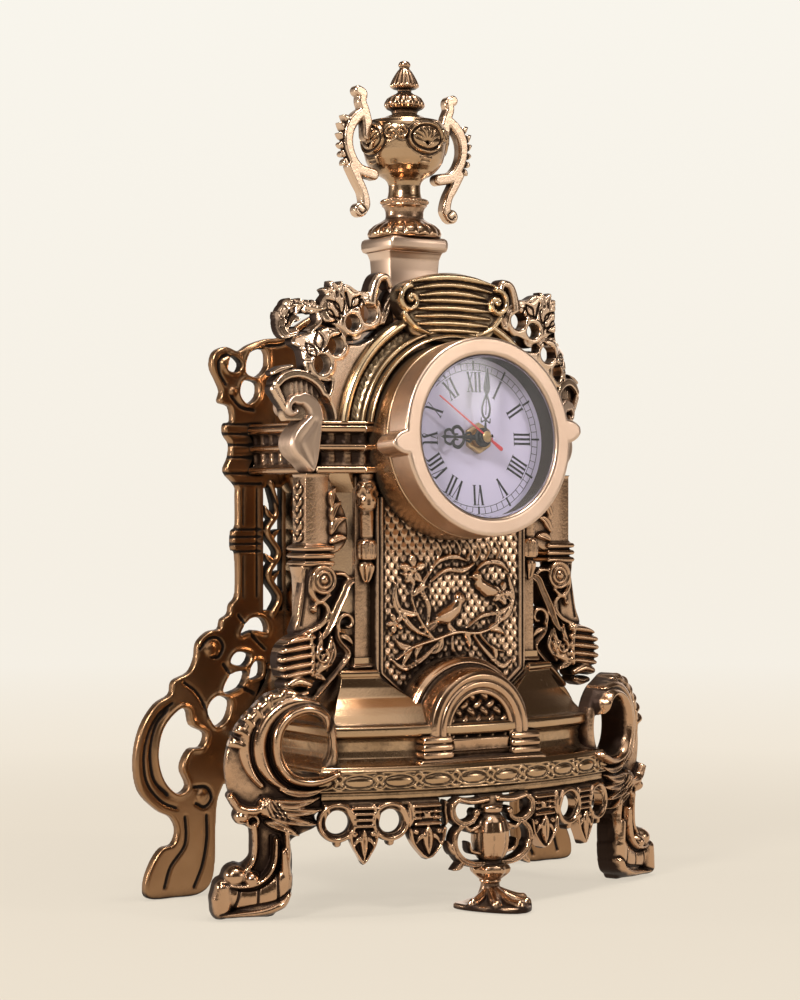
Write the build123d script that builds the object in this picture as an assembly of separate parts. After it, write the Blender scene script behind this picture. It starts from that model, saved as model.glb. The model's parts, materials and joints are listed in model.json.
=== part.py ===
from build123d import *
from math import asin, cos, degrees, hypot, pi, radians, sin, sqrt
import os

# All lengths are in millimetres. The clock faces -Y, +X is to the viewer's right and +Z is up.
# The pieces are drawn about the upright axis of the urn and then moved back by front_shift,
# so that the origin is on the table at the middle of the clock's box.

# Heights above the table
base_bottom = 49.0
base_top = 104.0
cornice_bottom = 190.0
cornice_top = 213.0
abacus_bottom = 292.5
abacus_height = 6.5

# Depths of the main planes, measured from the urn's axis
back_plate_face = 28.0
back_plate_thick = 5.0
case_front = -33.0
panel_thick = 5.0
frame_face = -31.0
frame_thick = 6.0
joint_gap = 0.05

# Bow-fronted base
bow_radius = 183.0
bow_front = -69.0
base_half_width = 78.0
base_wall = 4.0
border_bottom = 53.0
border_top = 62.0
cove_bottom = 65.0
cove_top = 75.5
bead_top = 80.5
flare_top = 100.5
moulding_inset = 2.0
cove_inset = 10.0
bead_inset = 6.5
flare_foot_inset = 9.0
flare_top_inset = 23.5
side_cove_inset = 9.0
side_bead_inset = 7.0
side_flare_foot_inset = 9.5
side_flare_top_inset = 22.0

# Case
case_half_width = 48.0
case_wall = 3.0
arch_centre_z = 206.5
case_arch_radius = 54.0
access_radius = 42.0

# Clock drum and bezel, along an axis that leans back from the vertical face
drum_tilt = 4.0
dial_centre_y = -56.9
dial_centre_z = 205.7
bezel_radius = 44.1
bezel_opening_radius = 36.2
bezel_face = 11.7
bezel_depth = 14.9
bezel_lip = 1.2
bezel_bore_radius = 38.4
spigot_wall = 0.7
drum_wall = 4.1
lug_reach = 50.7
lug_height = 10.0
lug_turn = 4.0
retainer_radius = 36.4
retainer_fit = 0.1
glass_thick = 1.2
glass_rise = 2.2
dial_thick = 0.6
dial_fit = 0.1

# Hands, as distances in front of the dial and angles clockwise from twelve
hour_hand_angle = 270.4
minute_hand_angle = 5.1
seconds_hand_angle = 306.0
hour_hand_length = 22.0
minute_hand_length = 30.0
seconds_hand_length = 30.0
seconds_tail_length = 9.0
hand_thick = 0.4
hour_hand_level = 5.0
minute_hand_level = 6.8
seconds_hand_level = 8.4
cap_radius = 2.6
cap_height = 1.4

# Quartz movement
movement_size = 56.0
movement_depth = 16.0
movement_corner = 5.5
movement_wall = 1.2
movement_split = 9.0
washer_thick = 0.8
bushing_radius = 4.0
bushing_length = 4.6
nut_across_flats = 12.0
nut_height = 2.2
nut_washer_radius = 7.0
nut_washer_thick = 0.5
seconds_arbor_radius = 0.4
minute_pipe_radius = 1.0
hour_pipe_radius = 2.0
arbor_radius = 0.5
running_gap = 0.05
battery_radius = 7.25
battery_length = 50.5
battery_drop = 18.2
battery_gap = 0.2
bay_wall = 0.7
contact_thick = 0.9
knob_radius = 5.0
knob_height = 2.6

# Gear train: numbers of teeth
rotor_teeth = 10
step_wheel_teeth = 60
step_pinion_teeth = 12
seconds_wheel_teeth = 60
seconds_pinion_teeth = 8
third_wheel_teeth = 60
third_pinion_teeth = 8
centre_wheel_teeth = 64
cannon_teeth = 12
minute_wheel_teeth = 36
minute_pinion_teeth = 10
hour_wheel_teeth = 40
rotor_distance = 9.1
step_distance = 10.6
third_distance = 10.8
motion_distance = 11.0
third_bearing_angle = 150.0
step_bearing_angle = 10.0
rotor_bearing_angle = 70.0
motion_bearing_angle = 75.0
gear_thick = 0.8
pinion_thick = 1.2
tooth_thinning = 0.16
rotor_radius = 3.0
coil_length = 20.0
coil_radius = 3.0
coil_bore_radius = 1.2
coil_depth = 11.6
coil_x = 8.0
coil_y = 21.5

# Depths of the gear layers behind the movement's front face
hour_layer = 1.8
motion_layer = 3.2
centre_layer = 5.0
third_layer = 6.6
seconds_layer = 8.2
step_layer = 9.8
rotor_layer = 11.4

# Posts, brackets and cresting
post_inner = 60.0
post_outer = 72.0
post_depth = 12.0
post_bottom = 155.0
ring_step = 3.4
ring_swell = 2.0
crest_thick = 5.0
hood_radius = 58.0
pediment_half_width = 29.0
pediment_face = -41.0
pediment_thick = 9.0

# Front legs, in a plane that turns with the bow
leg_hole_x = 80.0
leg_setback = 6.1
leg_splay = 1.5
leg_thick = 18.0
leg_face = 9.5
leg_hole_width = 21.0
leg_hole_height = 26.0
leg_hole_z = 73.5

# Apron and centre foot
apron_thick = 5.0
apron_ring_thick = 4.2
apron_drop_thick = 6.4
apron_inset = 3.0
apron_ring_radius = 8.7
apron_ring_hole = 5.4
apron_ring_z = 40.2
apron_rail_height = 3.0
small_drop_tip = 21.5
large_drop_tip = 23.0
centre_piece_y = -68.0
centre_scroll_thick = 6.0
centre_foot_toe = 93.0

# Arch surround and grille
arch_base_z = 62.0
arch_spring_z = 77.0
arch_outer_radius = 31.5
arch_middle_radius = 26.5
arch_inner_radius = 21.5
grille_radius = 15.6
arch_outer_face = -50.0
arch_middle_face = -58.0
arch_inner_face = -63.0
grille_face = -59.0
grille_thick = 2.5
weave_pitch = 5.2
weave_hole = 1.5

# Relief panel
panel_half_width = 36.0
panel_top = 178.0
panel_corner_z = 100.0
panel_point_z = 86.0
panel_border = 3.0
panel_recess = 1.6

# Pedestal and urn
pedestal_width = 28.0
pedestal_depth = 18.0
abacus_width = 32.0
abacus_depth = 28.0
urn_foot_radius = 17.2
urn_foot_height = 8.5
urn_stem_radius = 9.3
urn_stem_height = 10.0
urn_ring_radius = 10.8
urn_waist_radius = 7.5
urn_bowl_radius = 20.0
urn_bowl_height = 39.0
urn_neck_radius = 6.0
urn_lid_radius = 9.3
urn_lid_height = 10.5
finial_radius = 6.7
urn_finial_height = 14.5
rod_radius = 2.5
rod_fit = 0.2
rod_in_finial = 7.0
rod_end = 3.0
rod_washer_radius = 7.5
rod_washer_thick = 1.0
rod_nut_radius = 4.6
rod_nut_height = 4.0
handle_thick = 7.0

# Screws
screw_radius = 1.5
screw_head_radius = 2.8
screw_head_height = 1.8
screw_length = 9.0

# The front legs stand behind the bow's face and turn with it
leg_hole_y = bow_front + bow_radius - sqrt(bow_radius**2 - leg_hole_x**2) + leg_setback
leg_turn = degrees(asin(leg_hole_x / bow_radius)) - leg_splay

# Levels of the stack that the tie rod holds
urn_foot_bottom = abacus_bottom + abacus_height
urn_bowl_bottom = urn_foot_bottom + urn_foot_height + urn_stem_height
urn_lid_bottom = urn_bowl_bottom + urn_bowl_height
urn_finial_bottom = urn_lid_bottom + urn_lid_height
urn_top = urn_finial_bottom + urn_finial_height

# From the urn's axis to the middle of the clock's depth
front_shift = (centre_foot_toe - back_plate_face - back_plate_thick - screw_head_height) / 2


def export(node, shape):
    """Move a piece back to the clock's own origin and write it."""
    export_step(Pos(0, front_shift, 0) * shape, f"parts/{node}.step")
    print(node, "volume", round(shape.volume, 1))


def mirrored(shape):
    return mirror(shape, about=Plane.YZ)


def outline(*runs):
    """A face with its edge made of runs: two points are a straight line, more are one curve."""
    edges = [Line(*run) if len(run) == 2 else Spline(*run) for run in runs]
    return make_face(edges)


def plate(face, front, back):
    """A flat piece from a face drawn in X and Z, between two depths."""
    return Pos(0, back, 0) * extrude(Plane.XZ * face, back - front)


def stroke(points, start_width, end_width, samples=12):
    """A tapering band along a curve, as a face in X and Z."""
    path = Spline(*points)
    left = []
    right = []
    for i in range(samples + 1):
        t = i / samples
        half = (start_width + (end_width - start_width) * t) / 2
        at = path @ t
        along = path % t
        left.append((at.X - along.Y * half, at.Y + along.X * half))
        right.append((at.X + along.Y * half, at.Y - along.X * half))
    right.reverse()
    return outline(left, (left[-1], right[0]), right, (right[-1], left[0]))


def curl(x, z, start_radius, end_radius, start_angle, end_angle, count=9):
    """Points of a spiral about a centre, for a scroll end."""
    points = []
    for i in range(count):
        t = i / (count - 1)
        angle = radians(start_angle + (end_angle - start_angle) * t)
        radius = start_radius + (end_radius - start_radius) * t
        points.append((x + radius * cos(angle), z + radius * sin(angle)))
    return points


def disc(x, z, radius):
    return Pos(x, z) * Circle(radius)


def spun(points, x=0.0, y=0.0):
    """A turned piece about an upright axis, from radius and height pairs."""
    profile = Polyline(*[(r, z) for r, z in points], close=True)
    return Pos(x, y, 0) * revolve(Plane.XZ * make_face(profile), Axis.Z)


def bow_y(x, inset=0.0):
    """How far forward the bow is at a place across the front."""
    centre = bow_front + bow_radius
    return centre - sqrt((bow_radius - inset) ** 2 - x * x)


def bow_slab(points, side_points):
    """A bow-fronted layer: insets and heights for the front, half widths and heights for the sides."""
    centre = bow_front + bow_radius
    low = points[0][1]
    high = points[-1][1]
    profile = [(bow_radius - inset, z) for inset, z in points]
    turned = spun([(0, low)] + profile + [(0, high)], 0, centre)
    right = [(x, z) for x, z in side_points]
    left = [(-x, z) for x, z in reversed(side_points)]
    between = make_face(Polyline(*right, *left, close=True))
    return turned & plate(between, -200, back_plate_face)


def dial_place():
    """The frame of the dial: its Z axis comes out of the dial and its Y axis is up."""
    lean = radians(drum_tilt)
    plane = Plane(
        origin=(0, dial_centre_y, dial_centre_z),
        x_dir=(1, 0, 0),
        z_dir=(0, -cos(lean), sin(lean)),
    )
    return Location(plane)


def ring(outer, inner, low, high):
    """A tube about the dial's axis between two levels."""
    tube = extrude(Circle(outer) - Circle(inner), high - low)
    return Pos(0, 0, low) * tube


def rod(radius, low, high, x=0.0, y=0.0):
    return Pos(x, y, low) * extrude(Circle(radius), high - low)


def drum_space(clearance=0.3):
    """The room that the drum takes up in the pieces around it."""
    return dial_place() * rod(bezel_radius + clearance, -60, 60)


def base_profile(width, cove, bead, flare_foot, flare_top_at, outwards):
    """Heights of the base's mouldings, measured from its outermost face in either direction."""
    steps = (
        (moulding_inset, base_bottom), (moulding_inset, border_bottom), (0.0, border_bottom),
        (0.0, border_top), (1.5, cove_bottom - 1.5), (cove - 3.0, cove_bottom), (cove, cove_bottom + 3.5),
        (cove, cove_top), (bead + 0.8, cove_top), (bead, cove_top + 1.2), (bead, bead_top - 1.2),
        (bead + 0.8, bead_top), (flare_foot, bead_top), (flare_foot + 3.0, bead_top + 4.0),
        (flare_top_at - 4.5, flare_top - 9.0), (flare_top_at - 0.8, flare_top),
        (flare_top_at - 0.8, base_top - 1.0), (flare_top_at, base_top),
    )
    return [(width + outwards * inset, z) for inset, z in steps]


def base_block():
    front = base_profile(0.0, cove_inset, bead_inset, flare_foot_inset, flare_top_inset, 1)
    side = base_profile(
        base_half_width, side_cove_inset, side_bead_inset, side_flare_foot_inset, side_flare_top_inset, -1
    )
    return bow_slab(front, side)


def panel_shoulder():
    """The room above the V of the relief panel, sloping forward and down to the bead."""
    slope = 1.05
    run = 26.0
    drop = slope * run
    shapes = []
    for forward, fall in ((0.0, 0.0), (run, drop)):
        wire = Polyline(
            (-panel_half_width, panel_corner_z - fall), (-16, panel_point_z - fall),
            (16, panel_point_z - fall), (panel_half_width, panel_corner_z - fall),
            (panel_half_width, 150), (-panel_half_width, 150), close=True,
        )
        shapes.append(Pos(0, case_front - panel_thick - forward, 0) * (Plane.XZ * make_face(wire)))
    room = loft(shapes)
    return room & Pos(0, 0, bead_top + 50) * Box(300, 300, 100)


def base_body(leg_space, arch_space):
    body = base_block()
    inner = base_half_width - side_cove_inset - base_wall
    hollow = bow_slab(
        [(cove_inset + base_wall, base_bottom - 1), (cove_inset + base_wall, bead_top)],
        [(inner, base_bottom - 1), (inner, bead_top)],
    )
    hollow &= Pos(0, back_plate_face - base_wall - 150, 0) * Box(300, 300, 300)
    body -= hollow
    body -= panel_shoulder()
    body -= plate(panel_edge(), case_front - panel_thick, case_front)
    body -= arch_space
    body -= leg_space
    body -= mirrored(leg_space)
    return body.solids().sort_by(SortBy.VOLUME)[-1]


def surround_face(radius):
    """An arch on two straight legs, standing on the border of the base."""
    edges = [
        ThreePointArc((-radius, arch_spring_z), (0, arch_spring_z + radius), (radius, arch_spring_z)),
        Line((radius, arch_spring_z), (radius, arch_base_z)),
        Line((radius, arch_base_z), (-radius, arch_base_z)),
        Line((-radius, arch_base_z), (-radius, arch_spring_z)),
    ]
    return make_face(edges)


def arch_surround():
    """Concentric mouldings about the window, standing on the border, with its sill."""
    back = case_front - panel_thick
    body = plate(surround_face(arch_outer_radius), arch_outer_face, back)
    body += plate(surround_face(arch_middle_radius), arch_middle_face, back)
    body += plate(surround_face(arch_inner_radius), arch_inner_face, back)
    depth = back - arch_inner_face + 3
    body += Pos(0, back - depth / 2, arch_base_z + 3) * Box(2 * arch_middle_radius, depth, 6)
    window = window_face(grille_radius)
    body -= plate(window, arch_inner_face - 5, grille_face + grille_thick)
    return body


def window_face(radius):
    """A round-headed window: a disc cut off flat near its foot."""
    flat = Pos(0, arch_spring_z - 2 + radius) * Rectangle(4 * radius, 2 * radius)
    return disc(0, arch_spring_z, radius) & flat


def arch_space():
    """The room that the arch takes up in the base."""
    return plate(surround_face(arch_outer_radius), -100, case_front - panel_thick)


def arch_grille():
    sheet = plate(window_face(grille_radius - joint_gap), grille_face, grille_face + grille_thick)
    count = int(grille_radius / weave_pitch)
    for i in range(-count, count + 1):
        for j in range(0, 2 * count):
            x = (i + (j % 2) / 2) * weave_pitch
            z = arch_spring_z + (j + 0.5) * weave_pitch / 2 + 0.5
            if hypot(x, z - arch_spring_z) < grille_radius - weave_hole - 1.2:
                sheet -= plate(disc(x, z, weave_hole), grille_face - 1, grille_face + grille_thick + 1)
    return sheet


def panel_edge():
    half = panel_half_width
    side = panel_corner_z
    point = panel_point_z
    edge = Polyline(
        (-half, panel_top), (half, panel_top), (half, side), (16, point), (-16, point), (-half, side),
        close=True,
    )
    return make_face(edge)


def relief_panel():
    """Fish-scale panel below the drum, with a raised rim."""
    half = panel_half_width - panel_border
    side = panel_corner_z + 1.2 * panel_border
    point = panel_point_z + 1.2 * panel_border
    field = Polyline(
        (-half, panel_top + 1), (half, panel_top + 1), (half, side), (16, point), (-16, point),
        (-half, side), close=True,
    )
    front = case_front - panel_thick
    body = plate(panel_edge(), front, case_front)
    body -= plate(make_face(field), front - 1, front + panel_recess)
    return body - drum_space()


def case_body():
    top = arch_centre_z
    outer = Rectangle(2 * case_half_width, top - base_top, align=(Align.CENTER, Align.MIN))
    wall = case_wall
    shell = plate(Pos(0, base_top) * outer, case_front, back_plate_face)
    shell += plate(disc(0, top, case_arch_radius), case_front, back_plate_face)
    room = Pos(0, base_top) * Rectangle(
        2 * (case_half_width - wall), top - base_top, align=(Align.CENTER, Align.MIN)
    )
    inside = plate(room, case_front + wall, back_plate_face + 1)
    inside += plate(disc(0, top, case_arch_radius - wall), case_front + wall, back_plate_face + 1)
    shell -= inside
    shell -= plate(disc(0, dial_centre_z, bezel_radius - drum_wall), case_front - 1, case_front + wall + 1)
    width = case_half_width - panel_half_width
    for side in (-1, 1):
        foot = Pos(side * (panel_half_width + width / 2 + 1), case_front - 0.8, base_top + 2.5)
        shell += foot * Box(width + 2, 3.6, 5)
        shell -= Pos(side * panel_half_width, case_front - 2, base_top + 2.5) * Box(0.2, 4, 6)
    return bored(shell)


def hood_arch():
    """Concentric mouldings over the drum, turned about the drum's centre and cut at the cornice."""
    profile = Polyline(
        (54.3, -27), (hood_radius, -27), (hood_radius, -34), (56.2, -36), (54.6, -34.5),
        (52.4, -34.5), (52.0, -38), (50.4, -39.5), (48.8, -38), (48.4, -41), (46.6, -43),
        (45.2, -43), (45.2, case_front), (54.3, case_front),
        close=True,
    )
    arch = revolve(make_face(profile), Axis.Y)
    arch = Pos(0, 0, arch_centre_z) * arch
    arch &= Pos(0, 0, cornice_top + 60) * Box(300, 300, 120)
    return arch - drum_space()


def pediment_outline():
    half = pediment_half_width
    return outline(
        [(-half + 4, 262), (-half - 1, 268), (-half + 1, 274), (-half + 7, 276), (-12, 279.5), (0, 281)],
        [(0, 281), (12, 279.5), (half - 7, 276), (half - 1, 274), (half + 1, 268), (half - 4, 262)],
        [(half - 4, 262), (half - 8, 250)],
        [(half - 8, 250), (0, 246), (-half + 8, 250)],
        [(-half + 8, 250), (-half + 4, 262)],
    )


def pediment(hood, case):
    body = plate(pediment_outline(), pediment_face, pediment_face + pediment_thick + 4)
    tongue = Pos(0, pediment_face - 2, 259) * Box(30, 8, 18)
    body += tongue
    body -= drum_space()
    body -= hood
    body -= case
    return body.solids().sort_by(SortBy.VOLUME)[-1]


def cornice_left(hood, case):
    """The entablature: three fillets with coves between them, from the drum back to the back plate."""
    tiers = (
        (0.0, 3.0, 1.0), (3.0, 10.0, -2.5), (10.0, 13.0, 0.0), (13.0, 18.0, -2.5), (18.0, 23.0, 1.5),
    )
    body = None
    for low, high, swell in tiers:
        plan = Polyline(
            (-66 - swell, back_plate_face), (-66 - swell, -31 - swell), (-47, -40 - swell),
            (-36, -40 - swell), (-36, case_front), (-48, case_front), (-48, back_plate_face),
            close=True,
        )
        tier = Pos(0, 0, cornice_bottom + low) * extrude(make_face(plan), high - low)
        body = tier if body is None else body + tier
    body -= case
    body -= hood
    body -= drum_space()
    return body.solids().sort_by(SortBy.VOLUME)[-1]


def side_frame_left():
    """Post with its rings, rosette, leaf shell and the scrolls between the post and the case."""
    front = frame_face
    back = frame_face + frame_thick
    wide = post_outer - post_inner
    middle = -(post_outer + post_inner) / 2
    parts = []
    leaf = outline(
        [(-60.5, 186), (-56, 180), (-51.5, 172), (-50.5, 163), (-60.5, 156)],
        [(-60.5, 156), (-60.5, 186)],
    )
    parts.append(leaf)
    neck = outline(
        [(-72, 152), (-73, 143), (-74.5, 136), (-76, 128), (-78, 119)],
        [(-78, 119), (-64, 119)],
        [(-64, 119), (-66, 128), (-64, 138), (-61, 146), (-62, 152)],
        [(-62, 152), (-72, 152)],
    )
    parts.append(neck)
    parts.append(disc(-64, 143.5, 6.2))
    parts.append(stroke(curl(-66.5, 129.5, 4.6, 2.2, -80, 200), 3.2, 2.2))
    shell = outline(
        [(-66, 122), (-77, 120.5), (-84.5, 117), (-87, 110), (-85, 101.5)],
        [(-85, 101.5), (-72, 101)],
        [(-72, 101), (-64, 103.5), (-60, 110), (-60.5, 118), (-66, 122)],
    )
    parts.append(shell)
    roll = outline(
        [(-82, 102), (-84, 97), (-80.5, 92.5), (-73, 92.5), (-70.5, 97), (-73, 102)],
        [(-73, 102), (-82, 102)],
    )
    parts.append(roll)
    parts.append(stroke([(-46, 144), (-52, 141.5), (-54.5, 136), (-58.5, 129), (-63.5, 121)], 4.0, 4.6))
    parts.append(stroke(curl(-52, 124.5, 5.0, 2.0, 200, -60), 2.8, 2.0))
    parts.append(stroke([(-57, 126), (-54.5, 117), (-50.5, 110), (-57, 103), (-64, 97), (-71, 92)], 3.4, 3.6))
    parts.append(stroke([(-61, 119), (-59, 112), (-65, 104), (-72, 97)], 3.4, 3.8))
    body = None
    for part in parts:
        piece = plate(part, front, back)
        body = piece if body is None else body + piece
    height = cornice_bottom - post_bottom
    depth = front + post_depth / 2
    body += Pos(middle, depth, post_bottom + height / 2) * Box(wide, post_depth, height)
    for i in range(3):
        z = post_bottom + 3 - i * ring_step
        swell = 2 * ring_swell
        body += Pos(middle, depth, z) * Box(wide + swell, post_depth + swell, ring_step - 0.6)
    body += Pos(middle - 0.8, depth, post_bottom - 5) * Box(wide - 3, post_depth - 2, 14)
    body += plate(shell, front - 3, back + 3)
    body += plate(roll, front - 2, back + 2)
    inner = spun([
        (0, 143), (1.5, 143), (3.6, 149), (2.6, 156), (4.2, 157.5), (4.2, 164), (3.0, 165.5),
        (3.4, 177), (4.8, 180), (4.8, 186), (3.0, cornice_bottom), (0, cornice_bottom),
    ], -50.5, frame_face + frame_thick / 2)
    body += inner
    return body


def crest_outline():
    return outline(
        [(-29.5, 274), (-32, 278.5), (-36.5, 278.5), (-39.5, 272.5)],
        [(-39.5, 272.5), (-45, 271.5), (-51, 274), (-58, 275), (-64, 272), (-68, 265.5)],
        [(-68, 265.5), (-75, 266), (-82, 267), (-87, 262.5), (-88.5, 255), (-86, 249)],
        [(-86, 249), (-90, 246), (-90.5, 239), (-88, 235.5)],
        [(-88, 235.5), (-91, 232.5), (-89, 228.5)],
        [(-89, 228.5), (-84, 226)],
        [(-84, 226), (-86.5, 220), (-84, 215), (-79, 214.4)],
        [(-79, 214.4), (-79, 212.6)],
        [(-79, 212.6), (-84, 209), (-86, 203), (-82, 196.5), (-71, 191)],
        [(-71, 191), (-67.5, 199), (-66, 206), (-66.5, 214)],
        [(-66.5, 214), (-55, 214)],
        [(-55, 214), (-44, 246), (-25, 259)],
        [(-25, 259), (-29.5, 274)],
    )


def cresting_left(hood, case, cornice, pediment_body):
    """Pierced crest: paired round holes, leaf tips, a horn beside the pedestal and an S scroll."""
    front = frame_face
    body = plate(crest_outline(), front, front + crest_thick)
    for x, z, radius in ((-58, 247, 4.3), (-65, 238, 4.3), (-40.5, 261, 4.3), (-49.5, 257, 4.0)):
        body -= plate(disc(x, z, radius), front - 5, 5)
    body -= plate(disc(-77, 217.5, 3.2), front - 5, 5)
    for x, z in ((-62.5, 229.5), (-51, 249.5)):
        body -= plate(disc(x, z, 2.4), front - 5, 5)
    gap = outline([(-80, 253), (-74, 260), (-69.5, 254.5), (-74, 251), (-80, 253)])
    body -= plate(gap, front - 5, 5)
    eye = outline([
        (-84, 226.5), (-80, 229.5), (-72, 230), (-67, 226), (-66, 221.5), (-74, 224.5), (-84, 226.5),
    ])
    body -= plate(eye, front - 5, 5)
    rim = Pos(0, 0, arch_centre_z) * Rot(90, 0, 0) * Cylinder(hood_radius + joint_gap, 200)
    body -= rim
    body -= cornice
    body -= pediment_body
    body -= case
    return body.solids().sort_by(SortBy.VOLUME)[-1]


def leg_outline():
    """The front leg's side view: distance out from the middle of its volute, and height."""
    return outline(
        [(-13.5, 77), (-11.5, 86), (-5, 93), (4, 97), (14, 97.5), (23, 91), (30, 81), (34.3, 70)],
        [(34.3, 70), (35, 62), (33.5, 54), (28.5, 47.5)],
        [(28.5, 47.5), (31, 44), (29, 40), (24, 38.5)],
        [(24, 38.5), (22.5, 32), (24.5, 25)],
        [(24.5, 25), (30, 24.5), (36, 18), (40, 8), (38.5, 0)],
        [(38.5, 0), (14, 0)],
        [(14, 0), (8, 6), (5, 16), (5, 27), (6, 37)],
        [(6, 37), (-1, 46), (-6, 52), (-13.5, 59)],
        [(-13.5, 59), (-13.5, 77)],
    )


def leg_place():
    return Pos(-leg_hole_x, leg_hole_y, 0) * Rot(0, 0, -leg_turn)


def leg_block(face):
    """A front leg from a face, standing along its own canted plane on the left."""
    body = Pos(0, leg_thick - leg_face, 0) * extrude(Plane.XZ * mirror(face, about=Plane.YZ), leg_thick)
    return leg_place() * body


def front_leg_left():
    wide = leg_hole_width / 2
    high = leg_hole_height / 2
    top = [(wide * cos(radians(15 * i)), leg_hole_z + high * sin(radians(15 * i))) for i in range(13)]
    low = [(x, 2 * leg_hole_z - z) for x, z in reversed(top)]
    return leg_block(leg_outline() - outline(top, low))


def on_bow(shape, x):
    """Turn and place a piece drawn at the origin so that it follows the bow."""
    y = bow_y(x, apron_inset)
    turn = degrees(asin(x / (bow_radius - apron_inset)))
    return Pos(x, y, 0) * Rot(0, 0, turn) * shape


def drop_face(half_width, neck, tip):
    return outline(
        [(-neck, base_bottom), (neck, base_bottom)],
        [(neck, base_bottom), (neck, 36)],
        [(neck, 36), (half_width, 34), (half_width * 0.75, 28), (0, tip)],
        [(0, tip), (-half_width * 0.75, 28), (-half_width, 34), (-neck, 36)],
        [(-neck, 36), (-neck, base_bottom)],
    )


def apron_left():
    """Rings and pointed drops that hang from a rail under the bow."""
    pieces = []
    for x in (-47.5, -69.5):
        band = disc(0, apron_ring_z, apron_ring_radius) - disc(0, apron_ring_z, apron_ring_hole)
        pieces.append(on_bow(plate(band, -apron_ring_thick / 2, apron_ring_thick / 2), x))
    half = apron_drop_thick / 2
    pieces.append(on_bow(plate(drop_face(7.2, 5.0, small_drop_tip), -half, half), -59.0))
    pieces.append(on_bow(plate(drop_face(9.5, 6.5, large_drop_tip), -half, half), -31.0))
    inner = bow_radius - apron_inset - apron_thick / 2
    band = Circle(inner + apron_thick) - Circle(inner)
    band &= Pos(-50.5, -inner) * Rectangle(51, 90)
    body = extrude(Pos(0, bow_front + bow_radius, base_bottom - apron_rail_height) * band, apron_rail_height)
    for piece in pieces:
        body += piece
    return body


def centre_foot():
    """Hanging centre piece: paired scrolls, an oval vase and a flared foot on the table."""
    half = centre_scroll_thick / 2
    faces = [Pos(0, 46) * Rectangle(12, 6)]
    for side in (-1, 1):
        faces.append(stroke([(side * 4, 47.5), (side * 12, 47), (side * 19, 47.5)], 3.0, 3.0))
        upper = [(side * 19, 48.5), (side * 20.5, 42), (side * 16, 36.5), (side * 7, 36)]
        lower = [(side * 17, 36), (side * 19.5, 30), (side * 18.5, 23), (side * 12, 18), (side * 5, 17)]
        faces.append(stroke(upper, 3.2, 2.6))
        faces.append(stroke(lower, 2.8, 3.4))
    body = None
    for face in faces:
        piece = plate(face, -half, half)
        body = piece if body is None else body + piece
    vase = spun([
        (0, 12), (5.5, 12), (8.5, 15), (9.0, 17.5), (5.5, 19), (6.5, 22), (8.0, 28), (8.0, 34),
        (6.0, 40), (4.5, 43.5), (0, 43.5),
    ])
    body += vase
    shaft = spun([(0, 5), (4.6, 5), (4.0, 9), (4.4, 12.5), (0, 12.5)])
    body += shaft
    toe = -(centre_foot_toe + centre_piece_y)
    sole = make_face([ThreePointArc((-17, 2), (0, toe), (17, 2)), Line((17, 2), (-17, 2))])
    body += extrude(sole + Rectangle(26, 8), 3)
    body += loft([Pos(0, 0, 2.5) * Ellipse(12, 7), Pos(0, 0, 9) * Circle(4.6)])
    body &= Pos(0, 0, base_bottom / 2) * Box(200, 200, base_bottom)
    return Pos(0, centre_piece_y, 0) * body


def back_outline_left():
    """Left half of the back plate's edge, from the top down to the table and in to the middle."""
    return [
        [(0, 272), (-20, 269), (-36, 262), (-48, 254), (-57, 252.5), (-66, 249.5), (-71.5, 246)],
        [(-71.5, 246), (-78, 248.5), (-84, 245.5), (-85.5, 239), (-82, 232), (-80, 227), (-81, 222.5)],
        [(-81, 222.5), (-75, 221.5)],
        [(-75, 221.5), (-75, 214.5)],
        [(-75, 214.5), (-78.5, 213.5), (-78.5, 208.5), (-75.5, 204), (-76, 198), (-78.5, 191), (-72, 185)],
        [(-72, 185), (-72, 166)],
        [(-72, 166), (-74.5, 164)],
        [(-74.5, 164), (-74.5, 156)],
        [(-74.5, 156), (-72, 154)],
        [(-72, 154), (-72, 135)],
        [(-72, 135), (-75.5, 131), (-76, 127)],
        [(-76, 127), (-80, 124.5), (-81, 120)],
        [(-81, 120), (-87, 119), (-93.5, 114), (-93.5, 106.5), (-97, 100.5), (-105, 97)],
        [(-105, 97), (-106.5, 91)],
        [(-106.5, 91), (-114, 87), (-121, 77), (-124.5, 63), (-122, 49), (-113, 39.5), (-106, 36)],
        [(-106, 36), (-103, 30), (-105, 24)],
        [(-105, 24), (-111, 22.5), (-116, 16), (-119.5, 7), (-117.5, 0)],
        [(-117.5, 0), (-92, 0)],
        [(-92, 0), (-86, 5), (-83.5, 15), (-83.5, 30), (-82.5, 42), (-80, base_bottom)],
        [(-80, base_bottom), (0, base_bottom)],
    ]


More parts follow.
